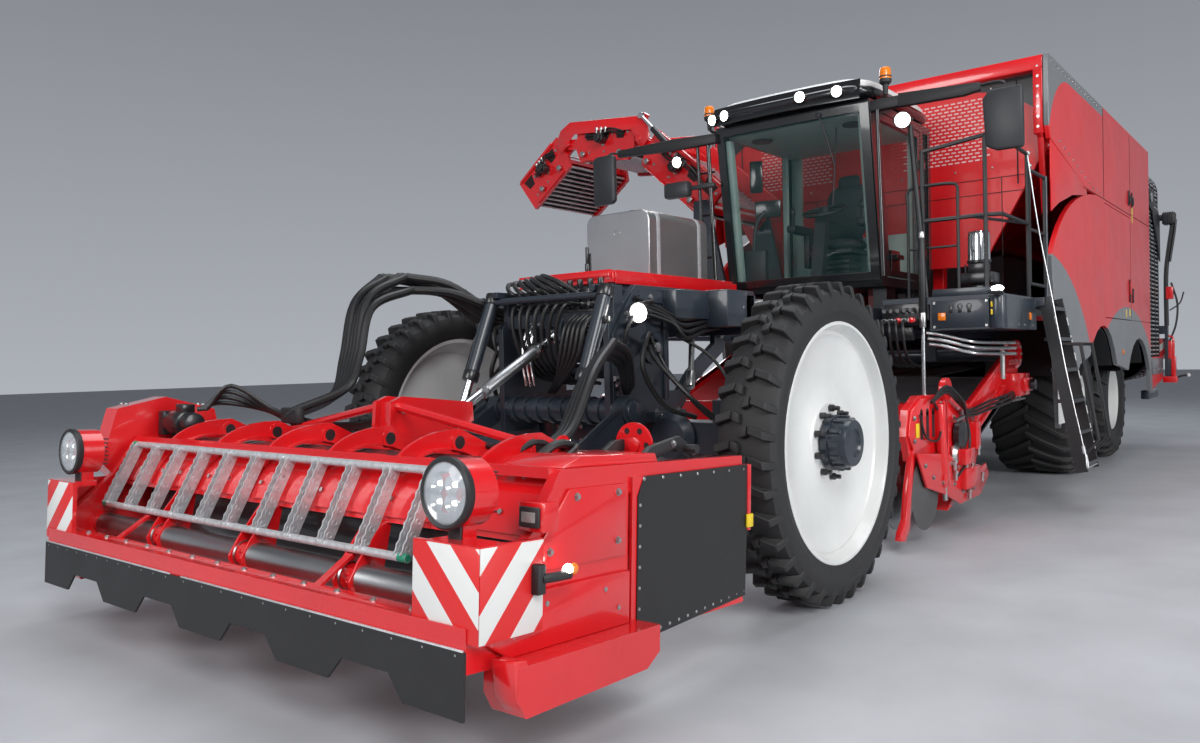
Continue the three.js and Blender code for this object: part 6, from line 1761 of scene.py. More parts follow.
@dataclass
class DeckAndTank:
    """Right-hand deck with its folded edge, steel fuel tank, exhaust stub and pipes."""

    body: str = "chassis"
    deck: tuple[Span, Span, float] = ((-2.74, -0.88), (-1.6, -0.6), 2.03)
    tank: tuple[Span, Span, float] = ((-2.56, -1.64), (-1.48, -0.8), 2.63)

    def build(self) -> None:
        """Deck, tank and exhaust."""
        (x0, x1), (y0, y1), top = self.deck
        paint = DeckPaint("Deck paint", RED.colour, 0.24, coat=0.8, grain_scale=420, grain_depth=0.00008,
                          dust=0.03)
        refine("deck", paint, self.body, Slot.RED, 0.006)
        lip = Workpiece("deck_edge_fold")
        lip.plate([(x1 - 0.3, top), (x1 + 0.02, top + 0.02), (x1 + 0.03, top - 0.03),
                   (x1 - 0.02, top - 0.075)], "y", (y0 + 0.02, y1 - 0.02), 0.004)
        lip.block((x0 + 0.1, x1 - 0.02), (y1 + 0.0005, y1 + 0.012), (top - 0.09, top + 0.015), 0.003)
        lip.deliver(RED, self.body, Slot.RED)
        seams = Workpiece("deck_box_doors")
        for low, high in ((-2.6, -2.0), (-1.96, -1.4), (-1.36, -0.98)):
            seams.block((low, high), (y1 - 0.04, y1 - 0.026), (top - 0.24, top - 0.1), 0.006)
        seams.block((x1 - 0.064, x1 - 0.05), (y0 + 0.1, y1 - 0.1), (top - 0.24, top - 0.1), 0.006)
        seams.deliver(SLATE, self.body, Slot.DARK)
        (a, b), (c, d), high = self.tank
        refine("fuel_tank", TANK_STEEL, self.body, Slot.STEEL, 0.008)
        bands = Workpiece("tank_straps")
        for x in (a + 0.14, b - 0.14):
            bands.plate([(c - 0.004, top), (c - 0.004, high - 0.09),
                         *arc((c + 0.09, high - 0.09), 0.094, 180, 90, 6),
                         *arc((d - 0.09, high - 0.09), 0.094, 90, 0, 6), (d + 0.004, high - 0.09),
                         (d + 0.004, top), (d - 0.002, top), (d - 0.002, high - 0.09),
                         *arc((d - 0.09, high - 0.09), 0.088, 0, 90, 6),
                         *arc((c + 0.09, high - 0.09), 0.088, 90, 180, 6), (c + 0.002, top)], "x",
                        (x - 0.02, x + 0.02))
        bands.deliver(ZINC, self.body, Slot.STEEL)
        cap = Workpiece("tank_filler_cap")
        cap.rod((b - 0.3, c + 0.3, high - 0.005), (b - 0.3, c + 0.3, high + 0.035), 0.06, 28, round_by=0.006)
        cap.rod((b - 0.3, c + 0.3, high + 0.03), (b - 0.3, c + 0.3, high + 0.055), 0.045, 10, round_by=0.005)
        cap.deliver(MOULDED, self.body, Slot.BLACK)
        level = Workpiece("tank_end_seam")
        level.lathe([(0.03, 0), (0.036, 0), (0.036, 0.004), (0.03, 0.004)], (b, (c + d) / 2, 2.45), "x", 20)
        level.deliver(TANK_STEEL, self.body, Slot.STEEL)
        stub = Workpiece("aerial_stub")
        stub.rod((-0.95, -0.91, 2.02), (-0.95, -0.91, 2.12), 0.022, 14, round_by=0.004)
        stub.rod((-0.95, -0.91, 2.1), (-0.95, -0.91, 2.25), 0.016, 14, round_by=0.003)
        stub.rod((-0.95, -0.88, 2.02), (-0.95, -0.88, 2.2), 0.009, 10)
        stub.deliver(BLACK, self.body, Slot.BLACK)
        side = Workpiece("deck_oil_pipes")
        for i in range(4):
            s = 0.028 * i
            side.hose([(-0.95, -0.57 + s * 0.3, 1.76 - s), (-1.3, -0.57 + s * 0.3, 1.76 - s),
                       (-1.6, -0.57, 1.72 - s), (-2.2, -0.57, 1.71 - s)], 0.009, 8, 4)
        side.deliver(CHROME, self.body, Slot.STEEL)


# -------------------------------------------------------------------- upholstery
@dataclass(frozen=True)
class Cushion:
    """A cloth pad, blown up from a slightly smaller shape, with sewn channels across it."""

    name: str
    centre: Point
    radii: Point
    lean: float = 0.0
    channels: tuple[float, ...] = ()
    depth: float = 0.012
    voxel: float = 0.011
    limit: float = 0.012

    def build(self, body: str, replaces: Sequence[str] = ()) -> None:
        """Shapes, inflates, sews and delivers the pad."""
        put = Matrix.Translation(self.centre) @ Matrix.Rotation(self.lean, 4, "Y")
        form = Workpiece(f"{self.name}_form")
        form.shell((0, 0, 0), tuple(r - 0.008 for r in self.radii), 5.0, 2.6, 40)
        data = bpy.data.meshes.new(self.name)
        form.mesh.to_mesh(data)
        form.mesh.free()
        draft = bpy.data.objects.new(f"{self.name}_draft", data)
        bpy.context.scene.collection.objects.link(draft)
        remesh = draft.modifiers.new("Voxels", "REMESH")
        remesh.mode = "VOXEL"
        remesh.voxel_size = self.voxel
        flat = self.evaluated(draft)
        before = [v.co.copy() for v in flat.vertices]
        draft.modifiers.clear()
        draft.data = flat
        cloth = draft.modifiers.new("Cloth", "CLOTH")
        cloth.settings.use_pressure = True
        cloth.settings.uniform_pressure_force = 4.0
        cloth.settings.effector_weights.gravity = 0.0
        for step in range(1, 21):
            bpy.context.scene.frame_set(step)
        blown = self.evaluated(draft)
        draft.modifiers.clear()
        for vert, old in zip(blown.vertices, before):
            shift = vert.co - old
            if shift.length > self.limit:
                vert.co = old + shift.normalized() * self.limit
        draft.data = blown
        bpy.context.scene.frame_set(1)
        pad = Workpiece(self.name, put)
        pad.mesh.from_mesh(draft.data)
        bpy.data.objects.remove(draft)
        half = self.radii[2]
        for vert in pad.mesh.verts:
            for place in self.channels:
                near = math.exp(-((vert.co.x - place) / 0.009) ** 2)
                vert.co.z -= math.copysign(min(self.depth, half * 0.3) * near, vert.co.z)
        piece = pad.deliver(CLOTH, body, Slot.CLOTH, replaces=replaces)
        smooth = piece.modifiers.new("Smooth", "SUBSURF")
        smooth.levels = smooth.render_levels = 1

    def evaluated(self, draft: bpy.types.Object) -> bpy.types.Mesh:
        """The mesh of an object with its modifiers applied."""
        graph = bpy.context.evaluated_depsgraph_get()
        return bpy.data.meshes.new_from_object(draft.evaluated_get(graph))


# --------------------------------------------------------------------------- cab
@dataclass
class Cab:
    """Glazed cab with its roof shell, visor, lamps, mirrors and interior."""

    body: str = "chassis"
    front: float = -2.85
    lean: float = 0.2 / 1.46
    rear: float = -4.08
    half: float = 0.74
    sill: float = 2.01
    eaves: float = 3.47

    def front_at(self, z: float) -> float:
        """The front face's X at a height."""
        return self.front + (z - self.sill) * self.lean

    def frame(self) -> None:
        """Cab frame and door with rounded edges, seals and a lining."""
        refine("cab_frame", CAB_BLACK, self.body, Slot.BLACK, 0.006)
        refine("cab_door", CAB_BLACK, "cab_door", Slot.BLACK, 0.004)
        refine("steering_column", MOULDED, self.body, Slot.BLACK, 0.006)
        lining = Workpiece("ceiling_lining")
        lining.block((-4.0, -2.74), (-0.66, 0.66), (3.372, 3.396), 0.006)
        for side in SIDES.values():
            for t in (0.0, 0.5):
                z0, z1 = 2.05 + t * 1.3, 2.05 + (t + 0.5) * 1.3
                lining.plate([(self.front_at(z0) - 0.03, z0), (self.front_at(z0) - 0.1, z0),
                              (self.front_at(z1) - 0.1, z1), (self.front_at(z1) - 0.03, z1)], "y",
                             ordered(side * 0.615, side * 0.667), 0.004)
            lining.block((-4.06, -4.0), ordered(side * 0.56, side * 0.667), (2.05, 3.38), 0.01)
            lining.block((-3.86, -3.8), ordered(side * 0.62, side * 0.667), (2.05, 3.38), 0.01)
        lining.block((-4.0, -3.98), (-0.6, 0.6), (2.02, 2.5), 0.01)
        lining.deliver(LINING, self.body, Slot.BLACK)
        grilles = Workpiece("speaker_grilles")
        for y in (-0.45, 0.45):
            grilles.lathe([(POLE, 0.0), (0.1, 0.0), (0.095, -0.014), (POLE, -0.014)], (-3.0, y, 3.372),
                          "z", 28)
        grilles.deliver(MOULDED, self.body, Slot.BLACK)
        seal = Workpiece("windscreen_border")
        for low, high in ((self.sill - 0.02, self.sill + 0.045), (self.eaves - 0.09, self.eaves - 0.03)):
            seal.pane((-0.73, 0.73), (low, high), lambda y,
                      z: self.front_at(z) + 0.012 + 0.028 * (1 - (y / 0.73) ** 2), 0.004, 14)
        for side in SIDES.values():
            ends = sorted((side * 0.655, side * 0.73))
            seal.pane((ends[0], ends[1]), (self.sill - 0.02, self.eaves - 0.03), lambda y,
                      z: self.front_at(z) + 0.012 + 0.028 * (1 - (y / 0.73) ** 2), 0.004, 6)
        seal.deliver(CAB_BLACK, self.body, Slot.BLACK)

    def glazing(self) -> None:
        """Curved windscreen, side, quarter and rear panes, and the door's pane."""
        screen = Workpiece("windscreen")
        screen.pane((-0.725, 0.725), (self.sill - 0.015, self.eaves - 0.035), lambda y,
                    z: self.front_at(z) + 0.006 + 0.028 * (1 - (y / 0.73) ** 2), 0.005, 14)
        screen.deliver(GLASS, self.body, Slot.BLACK)
        panes = Workpiece("cab_side_glass")
        low, high = self.sill + 0.03, self.eaves - 0.06
        panes.plate([(self.rear + 0.13, low), (self.front_at(low) - 0.13, low),
                     (self.front_at(high) - 0.13, high), (self.rear + 0.13, high)], "y", (-0.733, -0.728))
        panes.plate([(self.rear + 0.06, low), (-3.87, low), (-3.87, high), (self.rear + 0.06, high)], "y",
                    (0.728, 0.733))
        panes.block((self.rear + 0.006, self.rear + 0.011), (-0.61, 0.61), (2.49, 3.41))
        panes.deliver(GLASS, self.body, Slot.BLACK)
        door = Workpiece("cab_door_glass")
        back, frame = -3.81 + 0.055, 0.06
        low, high = self.sill + frame, self.eaves - 0.07 - frame
        edge = [self.front_at(z) - 0.13 - frame for z in (low, high)]
        door.plate([(back, low), (edge[0], low), (edge[1], high), (back, high)], "y", (0.722, 0.727))
        door.deliver(GLASS, "cab_door", Slot.BLACK)
        wiper = Workpiece("windscreen_wiper")
        x = self.front_at(3.36) + 0.045
        wiper.hose([(x, 0.3, 3.4), (x - 0.02, 0.36, 3.2), (self.front_at(2.95) + 0.05, 0.42, 2.95)],
                   0.007, 8, 4)
        wiper.block((self.front_at(3.0) + 0.03, self.front_at(3.0) + 0.04), (0.405, 0.417), (2.62, 3.3),
                    0.002, Matrix.Rotation(-0.137, 4, "Y"))
        wiper.rod((x - 0.02, 0.3, 3.4), (x + 0.02, 0.3, 3.4), 0.022, 14, round_by=0.003)
        wiper.deliver(MOULDED, self.body, Slot.BLACK)

    def roof(self) -> None:
        """White moulded shell over a black visor, with an air unit behind."""
        visor = Workpiece("roof_visor")
        visor.shell((-3.3, 0, 3.535), (0.81, 0.785, 0.085), 7.0, 3.2, 56)
        visor.pane((-0.7, 0.7), (3.475, 3.62), lambda y,
                   z: -2.5 + 0.012 - 0.05 * (y / 0.7) ** 2 - (z - 3.475) * 0.2, 0.02, 14)
        visor.deliver(CAB_BLACK, self.body, Slot.BLACK, replaces=["cab_roof"])
        shell = Workpiece("roof_shell")
        shell.shell((-3.34, 0, 3.6), (0.8, 0.75, 0.105), 6.0, 2.8, 56)
        shell.shell((-3.5, -0.25, 3.69), (0.32, 0.28, 0.06), 6.0, 3.0, 32)
        shell.deliver(ROOF_WHITE, self.body, Slot.GREY)
        hatch = Workpiece("roof_hatch")
        hatch.shell((-3.5, 0.3, 3.695), (0.22, 0.2, 0.022), 6.0, 3.0, 32)
        hatch.deliver(MOULDED, self.body, Slot.BLACK)
        for i, (y, z) in enumerate(((-0.7, 3.52), (-0.56, 3.53), (0.2, 3.545), (0.52, 3.535))):
            WorkLamp(f"visor_lamp_{i}", (-2.47 - 0.06 * (y / 0.7) ** 2, y, z), (1, y * 0.25, -0.12),
                     0.046).build()
        for label, side in SIDES.items():
            y = side * 0.85
            base = Workpiece(f"{label}_beacon_base")
            base.hose([(-2.8, side * 0.74, 3.46), (-2.74, side * 0.82, 3.47), (-2.72, y, 3.5)], 0.014, 10, 5)
            base.rod((-2.72, y, 3.49), (-2.72, y, 3.58), 0.018, 14, end_radius=0.026)
            base.lathe([(POLE, 0.0), (0.03, 0.0), (0.048, 0.018), (0.05, 0.045), (POLE, 0.045)],
                       (-2.72, y, 3.57), "z", 32)
            base.deliver(MOULDED, self.body, Slot.BLACK)
            lens = Workpiece(f"{label}_beacon")
            lens.lathe([(POLE, 0.0), (0.048, 0.0), (0.047, 0.05), (0.044, 0.082), (0.036, 0.094),
                        (POLE, 0.098)], (-2.72, y, 3.615), "z", 32)
            lens.deliver(AMBER, self.body, Slot.RED)
            rib = Workpiece(f"{label}_beacon_band")
            rib.lathe([(0.046, 0.0), (0.0505, 0.0), (0.0505, 0.01), (0.046, 0.01)], (-2.72, y, 3.63), "z", 32)
            rib.deliver(MOULDED, self.body, Slot.BLACK)

    def mirrors(self) -> None:
        """Two long mirror arms with their mirrors, and the lamps under them."""
        arms = Workpiece("mirror_arms")
        arms.block((-2.74, -2.66), (0.72, 1.02), (3.36, 3.45), 0.012)
        arms.plate([(0.98, 3.46), (0.98, 3.35), (1.5, 3.34), (1.62, 3.36), (1.62, 3.42), (1.5, 3.43)],
                   "x", (-2.7, -2.64), 0.01)
        arms.hose([(-2.67, 1.6, 3.4), (-2.66, 1.74, 3.4), (-2.64, 1.8, 3.37), (-2.62, 1.8, 3.3)], 0.011, 8, 5)
        arms.plate([(-0.72, 3.42), (-0.72, 3.33), (-1.2, 3.335), (-1.86, 3.37), (-1.86, 3.44),
                    (-1.2, 3.445)], "x", (-2.66, -2.6), 0.012)
        arms.hose([(-2.63, -1.84, 3.41), (-2.6, -1.94, 3.42), (-2.56, -1.96, 3.36), (-2.55, -1.96, 3.3)],
                  0.011, 8, 5)
        arms.deliver(MOULDED, self.body, Slot.BLACK)
        backs = Workpiece("mirror_housings")
        backs.plate([(1.68, 2.9), (1.66, 3.26), (1.71, 3.32), (1.95, 3.32), (1.95, 2.86), (1.76, 2.86)],
                    "x", (-2.6, -2.54), 0.02)
        backs.plate([(-2.1, 2.9), (-2.1, 3.36), (-2.06, 3.39), (-1.86, 3.39), (-1.83, 3.36),
                     (-1.83, 2.93), (-1.87, 2.9)], "x", (-2.56, -2.5), 0.02)
        backs.block((-2.68, -2.58), (-1.3, -1.02), (2.88, 3.03), 0.03)
        backs.block((-2.67, -2.63), (-1.06, -0.76), (2.94, 2.98), 0.008)
        backs.deliver(MIRROR_GREY, self.body, Slot.BLACK)
        glass = Workpiece("mirror_glass")
        glass.block((-2.605, -2.6005), (1.7, 1.93), (2.9, 3.28), 0.0)
        glass.block((-2.565, -2.5605), (-2.08, -1.85), (2.93, 3.36), 0.0)
        glass.deliver(CHROME, self.body, Slot.STEEL)
        WorkLamp("left_pole_lamp", (-2.66, 1.01, 3.24), (1, 0.25, -0.1), 0.062).build()
        WorkLamp("right_arm_lamp", (-2.58, -1.13, 3.21), (1, 0.0, -0.2), 0.05).build()
        posts = Workpiece("cab_corner_pipes")
        posts.rod((-2.735, 0.8, 2.0), (-2.66, 0.8, 3.36), 0.016, 12)
        posts.rod((-2.735, -0.82, 1.9), (-2.64, -0.82, 3.36), 0.02, 12)
        posts.rod((-2.76, -0.95, 1.9), (-2.66, -0.95, 3.34), 0.016, 12)
        for z in (2.3, 2.7, 3.1):
            posts.rod((-2.745, -0.82, z), (-2.735, -0.95, z), 0.01, 8)
        posts.deliver(CAB_BLACK, self.body, Slot.BLACK)

    def interior(self) -> None:
        """Seat, monitors, joystick consoles and the wheel's column cover."""
        x = self.front - 0.83
        base = self.sill + 0.003
        stand = Workpiece("driver_stand")
        stand.block((x - 0.2, x + 0.2), (-0.2, 0.2), (base, base + 0.05), 0.01)
        for i in range(5):
            stand.block((x - 0.15 + 0.008 * (i % 2), x + 0.15 - 0.008 * (i % 2)), (-0.15, 0.15),
                        (base + 0.05 + i * 0.05, base + 0.1 + i * 0.05), 0.012)
        stand.block((x - 0.2, x + 0.24), (-0.22, 0.22), (base + 0.29, base + 0.335), 0.01)
        stand.plate([(x - 0.2, base + 0.3), (x - 0.15, base + 0.3), (x - 0.23, base + 1.0),
                     (x - 0.28, base + 1.0)], "y", (-0.14, 0.14), 0.01)
        stand.deliver(MOULDED, self.body, Slot.BLACK)
        Cushion("driver_cushion", (x + 0.02, 0, base + 0.385), (0.245, 0.24, 0.06), 0.03,
                (-0.08, 0.06)).build(self.body, ["driver_seat"])
        Cushion("driver_back_cushion", (x - 0.165, 0, base + 0.72), (0.28, 0.225, 0.055),
                math.radians(-98), (-0.1, 0.04)).build(self.body)
        Cushion("driver_head_rest", (x - 0.235, 0, base + 1.035), (0.075, 0.12, 0.04),
                math.radians(-98)).build(self.body)
        consoles = Workpiece("armrest_consoles")
        for side in SIDES.values():
            consoles.block((x - 0.12, x + 0.34), ordered(side * 0.3, side * 0.4),
                           (base + 0.52, base + 0.6), 0.025)
            consoles.block((x - 0.08, x + 0.05), ordered(side * 0.3, side * 0.36),
                           (base + 0.2, base + 0.54), 0.01)
            consoles.rod((x + 0.28, side * 0.35, base + 0.59), (x + 0.29, side * 0.35, base + 0.7), 0.016, 12)
            consoles.dome((x + 0.29, side * 0.35, base + 0.72), (0.03, 0.026, 0.045), 16)
        consoles.block((-3.0, -2.93), (-0.64, -0.4), (2.05, 2.35), 0.02)
        consoles.hose([(-2.97, -0.55, 2.3), (-2.99, -0.52, 2.6), (-3.05, -0.46, 2.72)], 0.018, 10, 5)
        consoles.deliver(MOULDED, self.body, Slot.BLACK)
        screens = Workpiece("monitor_cases")
        tilt = Matrix.Rotation(0.35, 4, "Z")
        screens.block((-3.09, -3.05), (-0.56, -0.32), (2.66, 2.82), 0.01, tilt)
        screens.block((-3.05, -3.02), (-0.6, -0.48), (2.9, 3.2), 0.01, tilt)
        screens.deliver(CAB_BLACK, self.body, Slot.BLACK)
        faces = Workpiece("monitor_screens")
        faces.block((-3.098, -3.086), (-0.545, -0.335), (2.68, 2.8), 0.0, tilt)
        faces.deliver(SCREEN, self.body, Slot.BLACK)

    def build(self) -> None:
        """All of the cab."""
        self.frame()
        self.glazing()
        self.roof()
        self.mirrors()
        self.interior()


# ---------------------------------------------------------------------- platform
@dataclass
class Platform:
    """Boarding platform with its apron, lamps, filter bowl, railing, gate and ladder."""

    body: str = "chassis"
    front: float = -2.73
    rear: float = -4.19
    inner: float = 0.79
    outer: float = 1.75
    bottom: float = 1.53
    top: float = 1.8

    def skins(self) -> None:
        """CAD pieces with rounded edges."""
        refine("platform", SLATE, self.body, Slot.DARK, 0.012)
        refine("railing", RAIL_PAINT, self.body, Slot.BLACK)
        refine("platform_gate", RAIL_PAINT, "platform_gate", Slot.BLACK)
        refine("ladder", LADDER_PAINT, "ladder", Slot.BLACK, 0.003)

    def surface(self) -> None:
        """Tread plate with its edge strip."""
        plate = Workpiece("platform_tread")
        plate.block((self.rear + 0.06, self.front - 0.01), (self.inner + 0.01, self.outer - 0.09),
                    (self.top + 0.0002, self.top + 0.004))
        plate.deliver(TREAD, self.body, Slot.DARK)
        edge = Workpiece("platform_kick_strip")
        edge.block((self.front - 0.012, self.front - 0.004), (1.2, 1.66), (self.top, self.top + 0.06), 0.002)
        edge.deliver(SLATE, self.body, Slot.DARK)

    def apron(self) -> None:
        """Recessed front panel with three slots, rounded corner column, reflector, seams, bolts and a lamp.
        """
        x = self.front
        panel = Workpiece("apron_panel")
        panel.block((x + 0.0005, x + 0.012), (1.2, 1.64), (self.bottom + 0.02, self.top - 0.035), 0.004)
        panel.deliver(SLATE, self.body, Slot.DARK)
        # Three black keyhole shapes on the panel stand for open slots: painted shade.
        slots = Workpiece("apron_slot_shade")
        for y in (1.35, 1.42, 1.49):
            slots.lathe([(0.016, 0.0), (0.022, 0.0), (0.022, 0.006), (0.016, 0.006)],
                        (x + 0.01, y, 1.715), "x", 18)
            slots.block((x + 0.0105, x + 0.0155), (y - 0.014, y + 0.014), (1.665, 1.715), 0.001)
        slots.deliver(BLACK, self.body, Slot.BLACK)
        corner = Workpiece("apron_corner_column")
        corner.rod((x - 0.045, 1.69, self.bottom + 0.004), (x - 0.045, 1.69, self.top - 0.01), 0.068, 36,
                   round_by=0.006)
        corner.deliver(SLATE, self.body, Slot.DARK)
        reflector = Workpiece("apron_reflector")
        reflector.block((x + 0.011, x + 0.02), (1.25, 1.31), (1.61, 1.67), 0.003)
        reflector.block((-3.5, -3.44), (self.outer + 0.0005, self.outer + 0.008), (1.61, 1.67), 0.003)
        reflector.deliver(AMBER, self.body, Slot.RED)
        seams = Workpiece("apron_seams")
        seams.block((-3.66, -2.83), (self.outer + SKIN_GAP, self.outer + 0.0012),
                    (self.top - 0.03, self.top - 0.024))
        seams.block((-3.2, -3.194), (self.outer + SKIN_GAP, self.outer + 0.0012),
                    (self.bottom + 0.01, self.top - 0.03))
        seams.deliver(BLACK, self.body, Slot.BLACK)
        bolts = Workpiece("apron_bolts")
        for y in (1.22, 1.62):
            for z in (1.56, 1.75):
                bolts.bolt((x + 0.012, y, z), "x", 0.008)
        for px in (-2.9, -3.12, -3.3, -3.55):
            bolts.bolt((px, self.outer, 1.565), "y", 0.008)
        bolts.deliver(BOLT_ZINC, self.body, Slot.STEEL)
        marks = Workpiece("apron_yellow_marks")
        for z in (1.72, 1.66):
            marks.block((x - 0.01, x + 0.024), (1.655, 1.668), (z - 0.02, z + 0.02), 0.002)
        marks.deliver(YELLOW, self.body, Slot.RED)
        lamp = Workpiece("oval_lamp")
        lamp.dome((-2.66, 1.72, 1.835), (0.028, 0.046, 0.024), 24)
        lamp.deliver(LIT, self.body, Slot.STEEL)
        base = Workpiece("oval_lamp_base")
        base.block((-2.7, -2.6), (1.66, 1.76), (1.795, 1.82), 0.008)
        base.deliver(MOULDED, self.body, Slot.BLACK)

    def pipes(self) -> None:
        """Bright pipes under the apron, hose fittings on its inner end, the pole and the filter bowl."""
        pipes = Workpiece("apron_pipes")
        for i in range(3):
            s = 0.045 * i
            pipes.hose([(-2.7, 1.16 + s * 0.2, 1.515 - s), (-2.76, 1.24 + s * 0.2, 1.5 - s),
                        (-2.84, 1.42, 1.45 - s), (-2.98, 1.5 + s * 0.2, 1.43 - s),
                        (-3.5, 1.62, 1.425 - s)], 0.0135, 10, 5)
        pipes.rod((-2.71, 1.13, 1.0), (-2.71, 1.13, 1.5), 0.015, 16)
        pipes.deliver(PALE_PIPE, self.body, Slot.STEEL)
        unions = Workpiece("apron_unions")
        for i in range(5):
            y = 0.84 + 0.055 * i
            unions.rod((-2.72, y, 1.62), (-2.64, y, 1.62), 0.018, 6)
            unions.rod((-2.64, y, 1.62), (-2.6, y, 1.62), 0.014, 12)
            unions.rod((-2.72, y, 1.71), (-2.63, y, 1.7), 0.016, 12)
        unions.rod((-2.71, 1.13, 1.56), (-2.71, 1.13, 1.68), 0.028, 16, round_by=0.004)
        unions.rod((-2.71, 1.13, 2.26), (-2.71, 1.13, 2.33), 0.024, 16, round_by=0.004)
        unions.deliver(BOLT_ZINC, self.body, Slot.STEEL)
        blocks = Workpiece("apron_valve_blocks")
        blocks.block((-2.8, -2.72), (0.8, 1.1), (1.58, 1.76), 0.008)
        blocks.block((-2.79, -2.73), (0.86, 1.04), (1.46, 1.57), 0.006)
        blocks.deliver(BLACK, self.body, Slot.BLACK)
        caps = Workpiece("quick_coupler_caps")
        for y in (0.97, 1.08):
            caps.rod((-2.63, y, 1.62), (-2.585, y, 1.62), 0.022, 16, round_by=0.003)
        caps.deliver(RED, self.body, Slot.RED)
        poles = Workpiece("platform_poles")
        poles.rod((-2.755, 1.16, 1.62), (-2.72, 1.05, 3.2), 0.02, 14)
        poles.rod((-2.77, 1.0, 1.8), (-2.77, 1.0, 2.6), 0.012, 12)
        poles.hose([(-2.77, 1.0, 2.58), (-2.77, 1.0, 2.66), (-2.77, 1.06, 2.7), (-2.77, 1.34, 2.7),
                    (-2.77, 1.4, 2.66), (-2.77, 1.4, 2.58), (-2.77, 1.4, 1.82)], 0.013, 10, 4)
        poles.rod((-2.77, 1.0, 2.2), (-2.77, 1.4, 2.2), 0.01, 10)
        poles.rod((-2.8, 1.5, 2.42), (-3.5, 1.7, 2.42), 0.012, 10)
        poles.rod((-2.71, 1.13, 1.66), (-2.71, 1.13, 2.28), 0.0275, 20, round_by=0.004)
        poles.deliver(RAIL_PAINT, self.body, Slot.BLACK)
        rod = Workpiece("bright_lift_rod")
        rod.rod((-2.71, 1.13, 1.5), (-2.71, 1.13, 1.67), 0.0145, 16)
        rod.deliver(CHROME, self.body, Slot.STEEL)
        lines = Workpiece("apron_hoses")
        for i in range(4):
            y = 0.85 + 0.055 * i
            lines.hose([(-2.6, y, 1.62), (-2.52, y + 0.02, 1.6), (-2.5, y + 0.03, 1.5),
                        (-2.58, y + 0.02, 1.36), (-2.75, y, 1.28), (-3.1, y - 0.05, 1.24)], 0.012, 8, 5)
        lines.deliver(HOSE, self.body, Slot.BLACK)
        bowl = Workpiece("filter_bowl")
        bowl.lathe([(POLE, 0.0), (0.075, 0.0), (0.085, 0.01), (0.085, 0.22), (0.078, 0.25), (0.04, 0.265),
                    (POLE, 0.265)], (-3.0, 1.49, 2.07), "z", 36)
        bowl.deliver(CHROME, self.body, Slot.STEEL)
        stand = Workpiece("filter_stand")
        stand.block((-3.07, -2.93), (1.42, 1.56), (1.99, 2.07), 0.01)
        stand.block((-3.1, -2.9), (1.36, 1.62), (1.9, 1.99), 0.014)
        stand.block((-3.04, -2.96), (1.44, 1.54), (1.8, 1.9), 0.006)
        stand.lathe([(0.075, 0.0), (0.092, 0.0), (0.092, 0.02), (0.075, 0.02)], (-3.0, 1.49, 2.07), "z", 30)
        for y in (1.4, 1.58):
            stand.rod((-2.94, y, 1.97), (-2.94, y, 2.06), 0.008, 8)
        stand.deliver(BLACK, self.body, Slot.BLACK)

    def ladder(self) -> None:
        """Reflecting marks on the ladder's stringers, treads and the bright pull line beside it."""
        marks = Workpiece("ladder_marks")
        top, foot = Vector((0, 1.81, 1.8)), Vector((0, 2.08, 0.34))
        run = foot - top
        out = Vector((0, run.z, -run.y)).normalized() * -1
        turn = Matrix.Rotation(math.atan2(0.27, 1.46), 4, "X")
        for x in (-4.13, -3.69):
            for i in range(8):
                at = top + run * (0.14 + 0.105 * i) + out * 0.0462
                marks.block((x - 0.011, x + 0.011), (at.y - 0.002, at.y + 0.002),
                            (at.z - 0.035, at.z + 0.035), 0.0, turn)
        marks.deliver(REFLECT_WHITE, "ladder", Slot.STEEL)
        foot_plate = Workpiece("ladder_foot_tread")
        foot_plate.block((-4.1, -3.72), (2.02, 2.12), (0.372, 0.38), 0.002)
        foot_plate.deliver(ZINC, "ladder", Slot.STEEL)
        line = Workpiece("ladder_pull_line")
        line.hose([(-3.52, 1.735, 2.98), (-3.6, 1.79, 2.4), (-3.655, 1.86, 1.9), (-3.67, 1.97, 1.2),
                   (-3.68, 2.06, 0.72), (-3.68, 2.1, 0.52)], 0.0055, 8, 6)
        made = line.deliver(STEEL, None, Slot.STEEL)
        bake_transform(made)
        loop = Workpiece("ladder_pull_loop")
        loop.hose([(-3.68, 2.1, 0.52), (-3.67, 2.115, 0.46), (-3.66, 2.12, 0.4), (-3.69, 2.12, 0.38),
                   (-3.71, 2.12, 0.42), (-3.69, 2.11, 0.5)], 0.007, 8, 5)
        loop.rod((-3.68, 2.09, 0.56), (-3.68, 2.1, 0.5), 0.014, 10)
        loop.deliver(ZINC, "ladder", Slot.STEEL)
        clamps = Workpiece("railing_clamps")
        for place in ((-3.54, 1.735, 3.0), (-3.56, 1.74, 2.9)):
            clamps.dome(place, (0.02, 0.02, 0.02), 12)
        clamps.deliver(BOLT_ZINC, self.body, Slot.STEEL)

    def build(self) -> None:
        """All of the platform."""
        self.skins()
        self.surface()
        self.apron()
        self.pipes()
        self.ladder()


